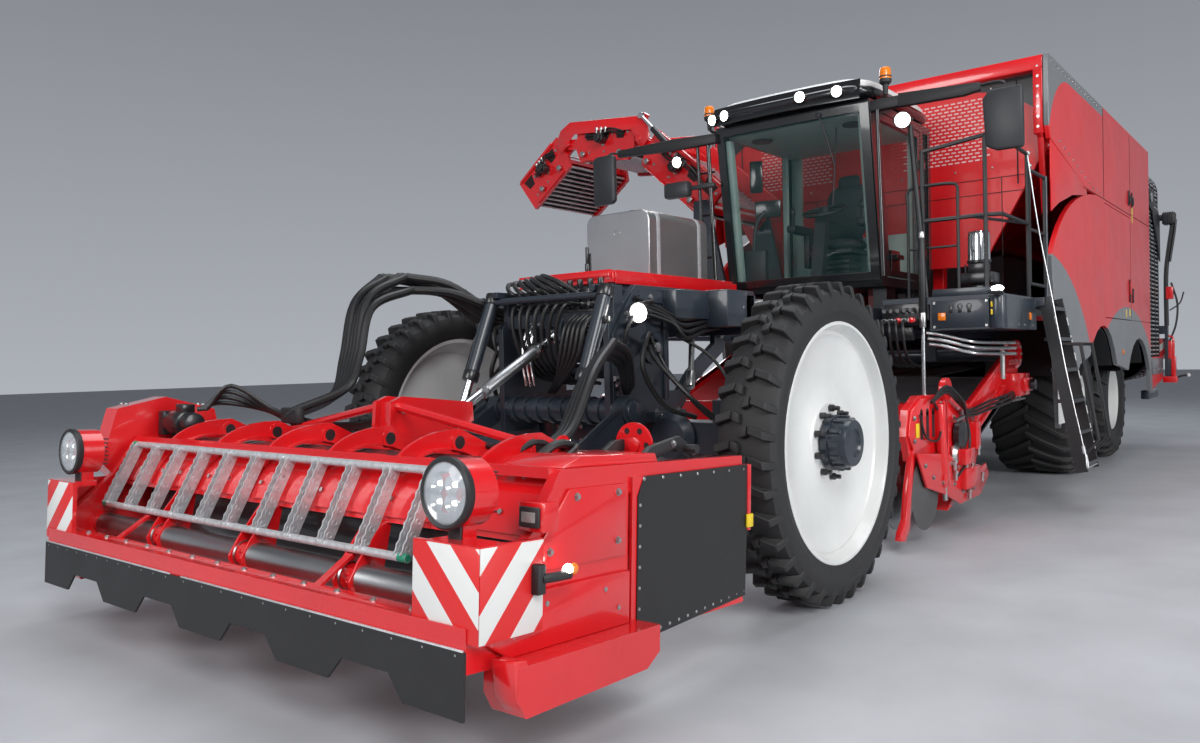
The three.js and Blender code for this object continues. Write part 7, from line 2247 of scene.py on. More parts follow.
# ------------------------------------------------------------------------ bunker
@dataclass
class Bunker:
    """Crop bunker: perforated front, corner posts, seams, latches and the grey sweeps."""

    body: str = "chassis"
    front: float = -4.2
    rear: float = -9.64
    side: float = 1.75
    wall_x: float = -4.36
    top: float = 4.0
    seam: float = 2.99
    web: tuple[Flat, ...] = ((-4.25, 3.24), (-5.72, 2.99), (-5.76, 2.93), (-5.1, 2.85), (-4.55, 2.71),
                             (-4.25, 2.6))

    def skins(self) -> None:
        """CAD sheets with rounded edges."""
        for node in ("bunker_left_side", "bunker_right_side", "body_left", "body_right"):
            refine(node, RED_SIDE, self.body, Slot.RED, 0.006)
        for label in SIDES:
            refine(f"{label}_service_door", RED_SIDE, f"{label}_service_door", Slot.RED, 0.004)
        refine("bunker_front", FRONT_SWEEP, self.body, Slot.RED, 0.004)
        refine("bunker_hopper", RED, self.body, Slot.RED, 0.004)
        refine("engine_block", GREY, self.body, Slot.GREY, 0.02)

    def perforation(self) -> None:
        """Staggered air slots, drawn as pale patches of painted light shining through them, in two fields."""
        slot = Workpiece("slot")
        slot.block((self.wall_x + 0.0002, self.wall_x + 0.0012), (-0.021, 0.021), (-0.0065, 0.0065))
        places = []
        for side in SIDES.values():
            for row in range(18):
                for column in range(13):
                    y = 0.4 + column * 0.0625 + (row % 2) * 0.031
                    places.append(Matrix.Translation((0, side * y, 3.17 + row * 0.0335)))
        field = Workpiece("air_slot_light")
        field.repeat(slot, places)
        field.deliver(PAINTED_SLOT_LIGHT, self.body, Slot.RED)
        bolts = Workpiece("air_field_bolts")
        for side in SIDES.values():
            for y in (0.36, 0.62, 0.88, 1.22):
                for z in (3.08, 3.82):
                    bolts.dome((self.wall_x + 0.001, side * y, z), (0.005, 0.011, 0.011), 10)
            for z in (3.3, 3.5, 3.7):
                bolts.dome((self.wall_x + 0.001, side * 1.28, z), (0.005, 0.011, 0.011), 10)
        bolts.deliver(BOLT_ZINC, self.body, Slot.STEEL)

    def folds(self) -> None:
        """Folds of the front wall, drawn as thin dark strips of painted shade, corner posts and the bolted
        flanges.
        """
        # Thin dark strips along the folds and joints of the front wall: painted shade in the creases.
        seams = Workpiece("front_wall_fold_shade")
        x = self.wall_x
        for z in (2.98, 2.84):
            seams.block((x + SKIN_GAP, x + 0.004), (-1.6, 1.6), (z - 0.003, z + 0.003))
        for side in SIDES.values():
            for y in (0.55, 1.3):
                seams.block((x + SKIN_GAP, x + 0.004), ordered(side * y, side * (y + 0.006)), (2.25, 2.98))
            seams.block((x + SKIN_GAP, x + 0.004), ordered(side * 1.44, side * 1.452), (2.9, 3.86))
        seams.deliver(SHADOW, self.body, Slot.BLACK)
        posts = Workpiece("bunker_corner_posts")
        for side in SIDES.values():
            posts.block((self.front - 0.15, self.front - 0.004), ordered(side * 1.62, side * 1.7),
                        (3.3, self.top - 0.01), 0.006)
            posts.plate([(self.front - 0.15, 3.3), (self.front - 0.004, 3.3), (self.front - 0.06, 3.27),
                         (self.front - 0.16, 2.6), (self.front - 0.19, 2.6)], "y",
                        ordered(side * 1.64, side * 1.69), 0.004)
        posts.block((self.front - 0.16, self.front + 0.002), (-1.7, 1.7),
                    (self.top - 0.13, self.top - 0.005), 0.008)
        posts.deliver(RED, self.body, Slot.RED)
        bolts = Workpiece("corner_post_bolts")
        for side in SIDES.values():
            for i in range(7):
                bolts.bolt((self.front - 0.004, side * 1.66, 3.36 + i * 0.09), "x", 0.009)
            for i in range(16):
                bolts.bolt((self.front - 0.15 - i * 0.14, side * self.side, 3.955), "y", 0.008, side)
            for i in range(11):
                bolts.bolt((-4.6 - i * 0.18, side * self.side,
                            self.seam + 0.05 + max(0, 0.24 - i * 0.03)), "y", 0.009, side)
        bolts.deliver(BOLT_ZINC, self.body, Slot.STEEL)

    def flank(self) -> None:
        """Seams, latches and markers of the side panels."""
        for label, side in SIDES.items():
            y = side * self.side
            proud = ordered(y + side * SKIN_GAP, y + side * 0.0012)
            # Thin dark strips along the panel joints: painted shade in the seams.
            seams = Workpiece(f"{label}_side_seam_shade")
            for x, half in ((-6.6, 0.011), (-8.2, 0.006)):
                seams.block((x - half, x + half), proud, (self.seam + 0.02, self.top - 0.03))
            for along, height in (((-9.62, -5.6), (self.seam + 0.003, self.seam + 0.009)),
                                  ((-8.2, -8.193), (1.72, 2.9)), ((-9.62, -8.2), (1.7, 1.706))):
                seams.block(along, proud, height)
            seams.deliver(SHADOW, self.body, Slot.BLACK)
            latches = Workpiece(f"{label}_side_latches")
            for x in (-8.09, -8.3):
                latches.block((x - 0.022, x + 0.022), ordered(y, y + side * 0.014), (3.1, 3.28), 0.006)
                latches.block((x - 0.012, x + 0.012), ordered(y + side * 0.012, y + side * 0.028),
                              (3.12, 3.22), 0.006)
            latches.block((-8.322, -8.278), ordered(y, y + side * 0.014), (1.92, 2.1), 0.006)
            latches.deliver(MOULDED, self.body, Slot.BLACK)
            grip = Workpiece(f"{label}_door_latch")
            grip.block((-8.122, -8.078), ordered(y, y + side * 0.014), (1.92, 2.2), 0.006)
            grip.deliver(MOULDED, f"{label}_service_door", Slot.BLACK)
            marks = Workpiece(f"{label}_side_markers")
            for x, z in ((-7.63, 1.32), (-4.68, 1.0)):
                marks.block((x - 0.03, x + 0.03), ordered(y + side * SKIN_GAP, y + side * 0.009),
                            (z - 0.03, z + 0.03), 0.003)
            marks.deliver(AMBER, self.body, Slot.RED)
            tags = Workpiece(f"{label}_yellow_tags")
            for x, z in ((-8.34, 3.06), (-8.34, 2.96), (-7.86, 1.78), (-8.1, 1.8)):
                tags.block((x - 0.035, x + 0.035), ordered(y + side * SKIN_GAP, y + side * 0.002),
                           (z - 0.045, z + 0.045))
            tags.deliver(YELLOW, self.body, Slot.RED)
            web = Workpiece(f"{label}_upper_web_sheet")
            web.plate(self.web, "y", ordered(y - side * 0.01, y), 0.002)
            web.deliver(RED_SIDE, self.body, Slot.RED)
            strip = Workpiece(f"{label}_skirt_reflector")
            strip.plate([(-4.4, 0.68), (-4.372, 1.18), (-4.49, 1.18), (-4.62, 0.94), (-4.64, 0.68)], "y",
                        ordered(y + side * SKIN_GAP, y + side * 0.002))
            strip.deliver(REFLECT_WHITE, self.body, Slot.STEEL)
            arches = Workpiece(f"{label}_arch_liners")
            for x, z, half in ((-6.46, 0.745, 0.86), (-8.5, 0.745, 0.86)):
                arches.plate([*arc((x, z), half, 24, 150, 18), *arc((x, z), half - 0.012, 150, 24, 18)],
                             "y", ordered(side * 0.74, side * 1.7))
            arches.deliver(MOULDED, self.body, Slot.BLACK)

    def build(self) -> None:
        """All of the bunker."""
        self.skins()
        self.perforation()
        self.folds()
        self.flank()


# ----------------------------------------------------------------- digging unit
@dataclass
class DiggingUnit:
    """Lifting unit under the cab: side plates, discs, hook tines, motors and the bar web."""

    body: str = "digger"
    plate_y: float = 1.42

    def plates(self) -> None:
        """Side plates with folded rims, dark slots of painted shade, and bolts."""
        refine("digger_frame", RED, self.body, Slot.RED, 0.005)
        rims = Workpiece("digger_plate_rims")
        slots = Workpiece("digger_plate_slot_shade")
        bolts = Workpiece("digger_bolts")
        for side in SIDES.values():
            y = side * self.plate_y
            out = ordered(y, y + side * 0.03)
            for outline, across, rounding in (([(-1.55, 0.78), (-1.6, 0.95), (-1.78, 1.03), (-2.2, 1.03),
                    (-2.24, 0.74), (-1.64, 0.66)], ordered(y, y + side * 0.018), 0.004),
                    ([(-2.32, 1.03), (-2.5, 1.035), (-2.98, 0.9), (-3.03, 0.54), (-2.9, 0.3),
                      (-2.66, 0.24), (-2.52, 0.46), (-2.3, 0.6)], ordered(y, y + side * 0.024), 0.005),
                    ([(-4.24, 1.46), (-2.84, 0.94), (-2.84, 0.64), (-4.24, 1.16)],
                     ordered(y, y + side * 0.012), 0.004),
                    ([(-4.24, 1.46), (-2.84, 0.94), (-2.84, 0.9), (-4.24, 1.42)], out, 0.003),
                    ([(-4.24, 1.2), (-2.84, 0.68), (-2.84, 0.64), (-4.24, 1.16)], out, 0.003)):
                rims.plate(outline, "y", across, rounding)
            rims.block((-2.3, -2.22), out, (0.5, 1.12), 0.006)
            cover = ordered(y + side * 0.032, y + side * 0.052)
            rims.plate([(-1.6, 0.66), (-1.78, 0.4), (-2.18, 0.3), (-2.5, 0.19), (-3.0, 0.2),
                        (-3.24, 0.34), (-3.16, 0.44), (-2.9, 0.4), (-2.52, 0.5), (-2.24, 0.6)], "y",
                       cover, 0.006)
            rims.lathe([(POLE, 0.0), (0.075, 0.0), (0.085, side * 0.012), (0.085, side * 0.05),
                        (POLE, side * 0.05)], (-2.26, y, 1.08), "y", 28)
            # The three slots are thin dark insets on the plate: painted shade where open slots would look
            # dark.
            for i in range(3):
                x = -1.78 - i * 0.12
                slots.block((x - 0.026, x + 0.026), ordered(y + side * 0.0181, y + side * 0.0195),
                            (0.74, 0.93), 0.0)
                slots.rod((x, y + side * 0.0181, 0.93), (x, y + side * 0.0195, 0.93), 0.026, 16)
            for x, z in ((-1.62, 0.9), (-1.62, 0.74), (-2.16, 0.98), (-2.16, 0.78), (-2.6, 0.95),
                         (-2.9, 0.82), (-2.9, 0.5), (-2.7, 0.36), (-2.5, 0.6), (-2.45, 0.86)):
                bolts.bolt((x, y + side * 0.024, z), "y", 0.013, side)
            for x, z in ((-1.74, 0.56), (-1.9, 0.46), (-2.1, 0.4), (-2.36, 0.36), (-2.56, 0.28),
                         (-2.8, 0.28), (-3.04, 0.32), (-2.3, 0.52)):
                bolts.bolt((x, y + side * 0.052, z), "y", 0.014, side)
            for i in range(8):
                place = arc((-4.35, 1.33), 0.09, i * 45, i * 45, 1)[0]
                bolts.bolt((place[0], side * 1.43, place[1]), "y", 0.011, side)
        rims.deliver(RED, self.body, Slot.RED)
        slots.deliver(SHADOW, self.body, Slot.RED)
        bolts.deliver(BOLT_ZINC, self.body, Slot.STEEL)
        tube = Workpiece("digger_pivot_sleeve")
        tube.rod((-4.35, -1.28, 1.33), (-4.35, 1.28, 1.33), 0.0635, 32, round_by=0.002)
        tube.deliver(SLATE, self.body, Slot.BLACK)
        marks = Workpiece("digger_front_reflectors")
        for side in SIDES.values():
            marks.block((-1.72, -1.66),
                        ordered(side * (self.plate_y + 0.0181), side * (self.plate_y + 0.026)),
                        (0.76, 0.86), 0.003)
        marks.deliver(YELLOW, self.body, Slot.RED)

    def machinery(self) -> None:
        """Oil motors, gear cases, small cylinders and hoses on the outer faces."""
        for label, side in SIDES.items():
            y = side * self.plate_y
            cases = Workpiece(f"{label}_digger_cases")
            def block(x: Span, along: Span, z: Span, rounding: float = 0.01) -> None:
                """A block standing out from the side plate."""
                cases.block(x, ordered(y + side * along[0], y + side * along[1]), z, rounding)
            block((-4.16, -3.84), (0.0, 0.15), (0.96, 1.16))
            block((-4.1, -3.9), (0.15, 0.19), (1.0, 1.12), 0.006)
            block((-2.86, -2.5), (0.02, 0.1), (0.3, 0.46))
            block((-2.62, -2.4), (0.02, 0.13), (0.5, 0.62))
            block((-2.95, -2.84), (0.02, 0.08), (0.58, 0.8))
            cases.plate([(-2.3, 0.38), (-2.36, 0.26), (-2.62, 0.2), (-2.88, 0.25), (-3.02, 0.4),
                         (-2.96, 0.44), (-2.6, 0.34), (-2.36, 0.4)], "y", ordered(y, y + side * 0.05),
                        0.006)
            cases.rod((-2.08, y + side * 0.04, 0.98), (-2.16, y + side * 0.04, 0.42), 0.038, 20,
                      round_by=0.004)
            cases.block((-2.2, -2.1), ordered(y, y + side * 0.07), (0.36, 0.46), 0.012)
            cases.deliver(RED, self.body, Slot.RED)
            motors = Workpiece(f"{label}_digger_motors")
            motors.rod((-4.0, y + side * 0.19, 1.06), (-4.0, y + side * 0.24, 1.06), 0.045, 24,
                       round_by=0.006)
            motors.lathe([(POLE, 0.0), (0.1, 0.0), (0.115, side * 0.01), (0.115, side * 0.05),
                          (0.09, side * 0.06), (POLE, side * 0.06)], (-2.5, y + side * 0.03, 0.72), "y",
                         32)
            motors.deliver(BLACK, self.body, Slot.BLACK)
            bright = Workpiece(f"{label}_digger_unions")
            bright.lathe([(0.02, 0.0), (0.075, 0.0), (0.085, side * 0.02), (0.06, side * 0.045),
                          (0.02, side * 0.045)], (-2.42, y + side * 0.03, 0.58), "y", 28)
            bright.rod((-2.3, y + side * 0.08, 0.84), (-2.5, y + side * 0.08, 0.86), 0.016, 12)
            for x, z in ((-3.9, 0.94), (-4.0, 0.94), (-4.1, 0.94), (-2.6, 0.47), (-2.74, 0.47),
                         (-2.32, 0.5), (-2.34, 0.42), (-2.9, 0.56), (-2.66, 0.24), (-2.98, 0.34)):
                bright.rod((x, y + side * 0.07, z - 0.03), (x, y + side * 0.07, z + 0.03), 0.014, 10)
                bright.rod((x, y + side * 0.07, z + 0.02), (x, y + side * 0.07, z + 0.045), 0.019, 6)
            bright.rod((-2.165, y + side * 0.04, 0.42), (-2.19, y + side * 0.04, 0.26), 0.018, 14)
            bright.rod((-3.5, y + side * 0.1, 1.12), (-3.5, y + side * 0.1, 1.36), 0.02, 16)
            bright.rod((-4.16, y + side * 0.1, 0.93), (-3.84, y + side * 0.1, 0.93), 0.012, 10)
            bright.deliver(BOLT_ZINC, self.body, Slot.STEEL)
            lines = Workpiece(f"{label}_digger_hoses")
            for i in range(3):
                s = 0.022 * i
                lines.hose([(-3.86 - s, y + side * 0.08, 1.0), (-3.6, y + side * (0.1 + s), 0.98 - s),
                            (-3.1, y + side * (0.08 + s), 0.94 - s), (-2.7, y + side * 0.06, 0.9 - s),
                            (-2.4, y + side * (0.07 + s), 0.98), (-2.2, y + side * 0.06, 1.06 + s),
                            (-1.9, y + side * 0.05, 1.0)], 0.011, 8, 5)
            lines.hose([(-2.0, y + side * 0.03, 1.0), (-2.1, y + side * 0.05, 0.86),
                        (-2.02, y + side * 0.05, 0.72), (-1.8, y + side * 0.04, 0.76),
                        (-1.72, y + side * 0.03, 0.92)], 0.008, 8, 5)
            lines.hose([(-2.34, y + side * 0.07, 0.4), (-2.5, y + side * 0.1, 0.52),
                        (-2.62, y + side * 0.09, 0.7), (-2.6, y + side * 0.06, 0.9)], 0.01, 8, 5)
            lines.deliver(HOSE, self.body, Slot.BLACK)
            disc = Workpiece(f"{label}_cutting_disc")
            disc.lathe([(POLE, -0.012), (0.07, -0.012), (0.09, -0.005), (0.255, -0.003), (0.27, 0.0),
                        (0.255, 0.003), (0.09, 0.005), (0.07, 0.012), (POLE, 0.012)],
                       (-1.84, y + side * 0.016, 0.36), "y", 48)
            disc.deliver(DISC_STEEL, self.body, Slot.STEEL)
            hook = Workpiece(f"{label}_hook_tine")
            hook.plate([(-1.66, 0.68), (-1.6, 0.68), (-1.49, 0.4), (-1.45, 0.22), (-1.36, 0.14),
                        (-1.34, 0.09), (-1.44, 0.07), (-1.53, 0.14), (-1.56, 0.34)], "y",
                       ordered(y - side * 0.02, y + side * 0.02), 0.005)
            hook.deliver(RED, self.body, Slot.RED)

    def web(self) -> None:
        """Bar web on two belts round its end shafts, and the discs of the ridge rollers."""
        ends = (Vector((-4.48, 0, 1.01)), Vector((-2.88, 0, 0.44)))
        bar_web("digger_bar_web", ends, 0.11, 1.27, self.body, ["digger_web"])
        refine("ridge_rollers", STEEL, "ridge_rollers", Slot.STEEL)

    def build(self) -> None:
        """All of the digging unit."""
        self.plates()
        self.machinery()
        self.web()


def loop_places(ends: tuple[Vector, Vector], radius: float, pitch: float) -> list[Vector]:
    """Points a pitch apart round a loop in the X-Z plane about two roller centres."""
    a, b = ends
    way = (b - a).normalized()
    up = Vector((-way.z, 0, way.x))
    run = (b - a).length
    whole = 2 * run + 2 * math.pi * radius
    places = []
    for i in range(int(whole / pitch)):
        s = i * whole / int(whole / pitch)
        if s < run:
            places.append(a + way * s + up * radius)
        elif s < run + math.pi * radius:
            turn = (s - run) / radius
            places.append(b + (up * math.cos(turn) + way * math.sin(turn)) * radius)
        elif s < 2 * run + math.pi * radius:
            places.append(b - way * (s - run - math.pi * radius) - up * radius)
        else:
            turn = (s - 2 * run - math.pi * radius) / radius
            places.append(a - (up * math.cos(turn) + way * math.sin(turn)) * radius)
    return places


def belt_band(piece: Workpiece, ends: tuple[Vector, Vector], radius: float, y: Span,
              thickness: float = 0.022) -> None:
    """A closed belt round two roller centres in the X-Z plane."""
    count = 48
    loops = []
    for reach, across in ((radius, y[0]), (radius, y[1]), (radius - thickness, y[1]),
                          (radius - thickness, y[0])):
        whole = 2 * (ends[1] - ends[0]).length + 2 * math.pi * reach
        places = loop_places(ends, reach, whole / count)[:count]
        verts = [piece.mesh.verts.new((p.x, across, p.z)) for p in places]
        loops.append([piece.mesh.edges.new(pair) for pair in zip(verts, [*verts[1:], verts[0]])])
    for a, b in zip(loops, [*loops[1:], loops[0]]):
        bmesh.ops.bridge_loops(piece.mesh, edges=[*a, *b])


def bar_web(name: str, ends: tuple[Vector, Vector], radius: float, half: float, body: str,
            replaces: Sequence[str]) -> None:
    """A conveyor web of steel bars between rubber belts, with its end shafts.

    Args:
        name: Name of the bars.
        ends: Centres of the two end rollers.
        radius: Outer radius of the loop.
        half: Half of the web's width.
        body: The body that it rides on.
        replaces: CAD nodes that it stands for.
    """
    bar = Workpiece("bar").rod((0, -half, 0), (0, half, 0), 0.0075, 8)
    bars = Workpiece(name)
    bars.repeat(bar, [Matrix.Translation(place) for place in loop_places(ends, radius - 0.012, 0.036)])
    for end in ends:
        bars.rod((end.x, -half - 0.08, end.z), (end.x, half + 0.08, end.z), 0.03, 20)
        for y in (-half * 0.9, -half * 0.3, half * 0.3, half * 0.9):
            bars.rod((end.x, y - 0.03, end.z), (end.x, y + 0.03, end.z), radius - 0.03, 24)
    bars.deliver(WEB_STEEL, body, Slot.STEEL, replaces=replaces)
    belts = Workpiece(f"{name}_belts")
    for y in (-half + 0.03, 0.0, half - 0.03):
        belt_band(belts, ends, radius, (y - 0.028, y + 0.028))
    belts.deliver(RUBBER, body, Slot.RUBBER)


# -------------------------------------------------------------------- conveyors
@dataclass
class RingElevator:
    """Ring elevator behind the bunker: bars between belts round a flattened ring."""

    body: str = "chassis"
    front: float = -9.7
    rear: float = -10.7
    half: float = 1.72
    bottom: float = 0.9
    top: float = 3.96
    bend: float = 0.38

    def outline(self, inset: float, steps: int = 9) -> list[Flat]:
        """The ring's outline in Y and Z, shrunk by an inset."""
        r = self.bend - inset
        y, high, low = self.half - self.bend, self.top - self.bend, self.bottom + self.bend
        return [*arc((y, high), r, 0, 90, steps), *arc((-y, high), r, 90, 180, steps),
                *arc((-y, low), r, 180, 270, steps), *arc((y, low), r, 270, 360, steps)]

    def build(self) -> None:
        """Belts, bars, fingers and the side guards."""
        belts = Workpiece("ring_belts")
        outer, inner = self.outline(0.008), self.outline(0.034)
        for x in (self.rear + 0.03, self.rear + 0.34, self.front - 0.34, self.front - 0.03):
            self.hoop(belts, outer, inner, (x - 0.028, x + 0.028))
        belts.deliver(RUBBER, self.body, Slot.RUBBER, replaces=["ring_elevator"])
        path = [Vector((0, y, z)) for y, z in self.outline(0.02, 24)]
        path.append(path[0])
        bar = Workpiece("bar").rod((self.rear + 0.004, 0, 0), (self.front - 0.004, 0, 0), 0.0115, 8)
        bars = Workpiece("ring_bars")
        bars.repeat(bar, [Matrix.Translation(p) for p in self.spaced(path, 0.058)])
        bars.deliver(ZINC, self.body, Slot.STEEL)
        flight = Workpiece("flight").block((self.rear + 0.01, self.front - 0.01), (-0.006, 0.006),
                                           (-0.03, 0.0), 0.002)
        flights = Workpiece("ring_flights")
        spots = []
        points = self.spaced(path, 0.34)
        for here, after in zip(points, [*points[1:], points[0]]):
            way = after - here
            spots.append(Matrix.Translation(here) @ Matrix.Rotation(math.atan2(way.z, way.y) + math.pi, 4,
                    "X") @ Matrix.Translation((0, 0, 0.002)))
        flights.repeat(flight, spots)
        flights.deliver(RUBBER, self.body, Slot.RUBBER)
        cheeks = Workpiece("ring_cheeks")
        hubs = Workpiece("ring_bearings")
        for side in SIDES.values():
            y = ordered(side * (self.half + 0.006), side * (self.half + 0.018))
            cheeks.plate([(-9.72, 3.54), (-10.05, 3.56), (-10.68, 3.24), (-10.69, 2.6), (-10.6, 2.62),
                          (-10.45, 2.85), (-10.0, 3.26), (-9.72, 3.32)], "y", y, 0.004)
            hubs.lathe([(POLE, 0.0), (0.05, 0.0), (0.07, side * 0.006), (0.07, side * 0.014),
                        (POLE, side * 0.014)], (-9.9, side * (self.half + 0.018), 3.43), "y", 24)
            for x in (-10.2, -10.35, -10.5):
                hubs.bolt((x, side * (self.half + 0.018), 3.32), "y", 0.012, side)
        cheeks.deliver(MOULDED, self.body, Slot.BLACK)
        hubs.deliver(BOLT_ZINC, self.body, Slot.STEEL)

    def spaced(self, path: Sequence[Vector], pitch: float) -> list[Vector]:
        """Points a pitch apart along a path."""
        places, left = [], 0.0
        for a, b in zip(path, path[1:]):
            step = (b - a).length
            at = left
            while at < step:
                places.append(a.lerp(b, at / step))
                at += pitch
            left = at - step
        return places

    def hoop(self, piece: Workpiece, outer: Sequence[Flat], inner: Sequence[Flat], x: Span) -> None:
        """A closed band between two outlines of as many points."""
        loops = []
        for outline, at in ((outer, x[0]), (outer, x[1]), (inner, x[1]), (inner, x[0])):
            verts = [piece.mesh.verts.new((at, y, z)) for y, z in outline]
            loops.append([piece.mesh.edges.new(pair) for pair in zip(verts, [*verts[1:], verts[0]])])
        for a, b in zip(loops, [*loops[1:], loops[0]]):
            bmesh.ops.bridge_loops(piece.mesh, edges=[*a, *b])


@dataclass
class UnloadingElevator:
    """Folding elevator on the right: red plates with ribs and the web of bars inside them."""

    front: float = -3.05
    rear: float = -4.15
    depth: float = 0.4
    path: tuple[Flat, ...] = ((-1.02, 2.86), (-1.9, 3.64), (-2.88, 3.74), (-3.52, 3.25))
    bodies: tuple[str, ...] = ("elevator_base", "elevator_middle", "elevator_tip")

    def section(self, index: int) -> None:
        """Plates, ribs, rollers and bars of one section."""
        body = self.bodies[index]
        a, b = (Vector((0, *p)) for p in self.path[index:index + 2])
        way = (b - a).normalized()
        up = Vector((0, way.z, -way.y))
        run = (b - a).length
        refine(body, RED, body, Slot.RED, 0.005)
        start, end = (0.16 if index else 0.03), run - (0.2 if index < 2 else 0.03)
        def at(s: float, n: float) -> Flat:
            """A point of the section's own plane, as Y and Z."""
            spot = a + way * s + up * n
            return (spot.y, spot.z)
        ribs = Workpiece(f"{body}_ribs")
        # The windows are dark sheets on the side plates: painted shade standing for open holes.
        holes = Workpiece(f"{body}_window_shade")
        bolts = Workpiece(f"{body}_bolts")
        for face, out in ((self.front, 1), (self.rear, -1)):
            span = ordered(face, face + out * 0.022)
            ribs.plate([at(start, 0.2), at(end, 0.2), at(end, 0.17), at(start, 0.17)], "x", span, 0.003)
            ribs.plate([at(start + 0.06, -0.17), at(end - 0.06, -0.17), at(end - 0.06, -0.19),
                        at(start + 0.06, -0.19)], "x", span, 0.003)
            count = max(3, round((end - start) / 0.22))
            skin = ordered(face + out * SKIN_GAP, face + out * 0.0012)
            for i in range(count):
                s0 = start + (end - start) * (i + 0.14) / count
                s1 = start + (end - start) * (i + 0.86) / count
                holes.plate([at(s0, 0.15), at(s1, 0.15), at(s1 - 0.03, 0.03), at(s0 + 0.03, 0.03)], "x", skin)
                bolts.bolt((face + out * 0.0005, *at(s0 - 0.02, 0.09)), "x", 0.012, out)
                bolts.bolt((face + out * 0.0005, *at((s0 + s1) / 2, -0.1)), "x", 0.01, out)
            bolts.bolt((face + out * 0.0005, *at(run * 0.5, -0.02)), "x", 0.016, out)
            if index == 1:
                hood = [at(-0.15, 0.02), at(-0.1, 0.15), at(0.03, 0.235), at(run - 0.03, 0.235),
                        at(run + 0.1, 0.15), at(run + 0.15, 0.02), at(run + 0.06, -0.1),
                        at(run - 0.1, 0.1), at(0.1, 0.1), at(-0.06, -0.1)]
                ribs.plate(hood, "x", ordered(face + out * 0.026, face + out * 0.037), 0.003)
                for knee in (a, b):
                    ribs.rod((face, knee.y, knee.z), (face + out * 0.045, knee.y, knee.z), 0.035, 24,
                             round_by=0.004)
        ribs.deliver(RED, body, Slot.RED)
        holes.deliver(SHADOW, body, Slot.RED)
        bolts.deliver(BOLT_ZINC, body, Slot.STEEL)
        inner = (self.rear + 0.055, self.front - 0.055)
        bar = Workpiece("bar").rod((inner[0], 0, 0), (inner[1], 0, 0), 0.011, 8)
        bars = Workpiece(f"{body}_bars")
        places = []
        count = int((end - start) / 0.058)
        for i in range(count + 1):
            s = start + (end - start) * i / count
            for n in (0.02, -0.16):
                places.append(Matrix.Translation(a + way * s + up * n))
        bars.repeat(bar, places)
        for s in (start + 0.02, end - 0.02):
            bars.rod((inner[0], *at(s, -0.07)), (inner[1], *at(s, -0.07)), 0.034, 16)
        bars.deliver(ZINC, body, Slot.STEEL)
        belts = Workpiece(f"{body}_belts")
        belts.plate([at(start, -0.132), at(end, -0.132), at(end, -0.146), at(start, -0.146)], "x", inner)
        for x in (inner[0] + 0.04, (inner[0] + inner[1]) / 2, inner[1] - 0.04):
            for n in (0.004, -0.144):
                belts.plate([at(start, n), at(end, n), at(end, n - 0.014), at(start, n - 0.014)], "x",
                            (x - 0.03, x + 0.03))
        belts.deliver(RUBBER, body, Slot.RUBBER)

    def fittings(self, index: int) -> None:
        """Oil lines, a motor and its unions on the front plate of one section."""
        body = self.bodies[index]
        a, b = (Vector((self.front, *p)) for p in self.path[index:index + 2])
        way = (b - a).normalized()
        up = Vector((0, way.z, -way.y))
        run = (b - a).length
        def at(s: float, n: float, out: float = 0.03) -> Point:
            """A point out from the front plate."""
            return tuple(a + way * s + up * n + Vector((out, 0, 0)))
        lines = Workpiece(f"{body}_oil_lines")
        for n in (0.06, 0.09):
            lines.hose([at(0.2, n), at(run * 0.4, n + 0.04, 0.05), at(run * 0.62, n - 0.02, 0.04),
                        at(run - 0.26, n, 0.03)], 0.011, 8, 5)
        lines.deliver(HOSE, body, Slot.BLACK)
        motor = Workpiece(f"{body}_motor")
        motor.rod(at(run * 0.5, 0.03, 0.0), at(run * 0.5, 0.03, 0.1), 0.055, 24, round_by=0.006)
        motor.rod(at(run * 0.5, 0.03, 0.1), at(run * 0.5, 0.03, 0.13), 0.04, 24, round_by=0.004)
        motor.deliver(BLACK, body, Slot.BLACK)
        bright = Workpiece(f"{body}_unions")
        for s in (0.44, 0.5, 0.56):
            bright.rod(at(run * s, 0.09, 0.05), at(run * s, 0.15, 0.05), 0.013, 10)
            bright.rod(at(run * s, 0.12, 0.05), at(run * s, 0.14, 0.05), 0.018, 6)
        bright.rod(at(0.24, -0.12, 0.02), at(0.24, -0.12, 0.05), 0.03, 20, round_by=0.004)
        bright.rod(at(run - 0.24, -0.12, 0.02), at(run - 0.24, -0.12, 0.05), 0.03, 20, round_by=0.004)
        bright.deliver(BOLT_ZINC, body, Slot.STEEL)

    def build(self) -> None:
        """All three sections and the folding cylinder."""
        for index in range(3):
            self.section(index)
        for index in (0, 1, 2):
            self.fittings(index)
        refine("elevator_barrel", BLACK, "elevator_barrel", Slot.BLACK)
        refine("elevator_rod", CHROME, "elevator_rod", Slot.STEEL)


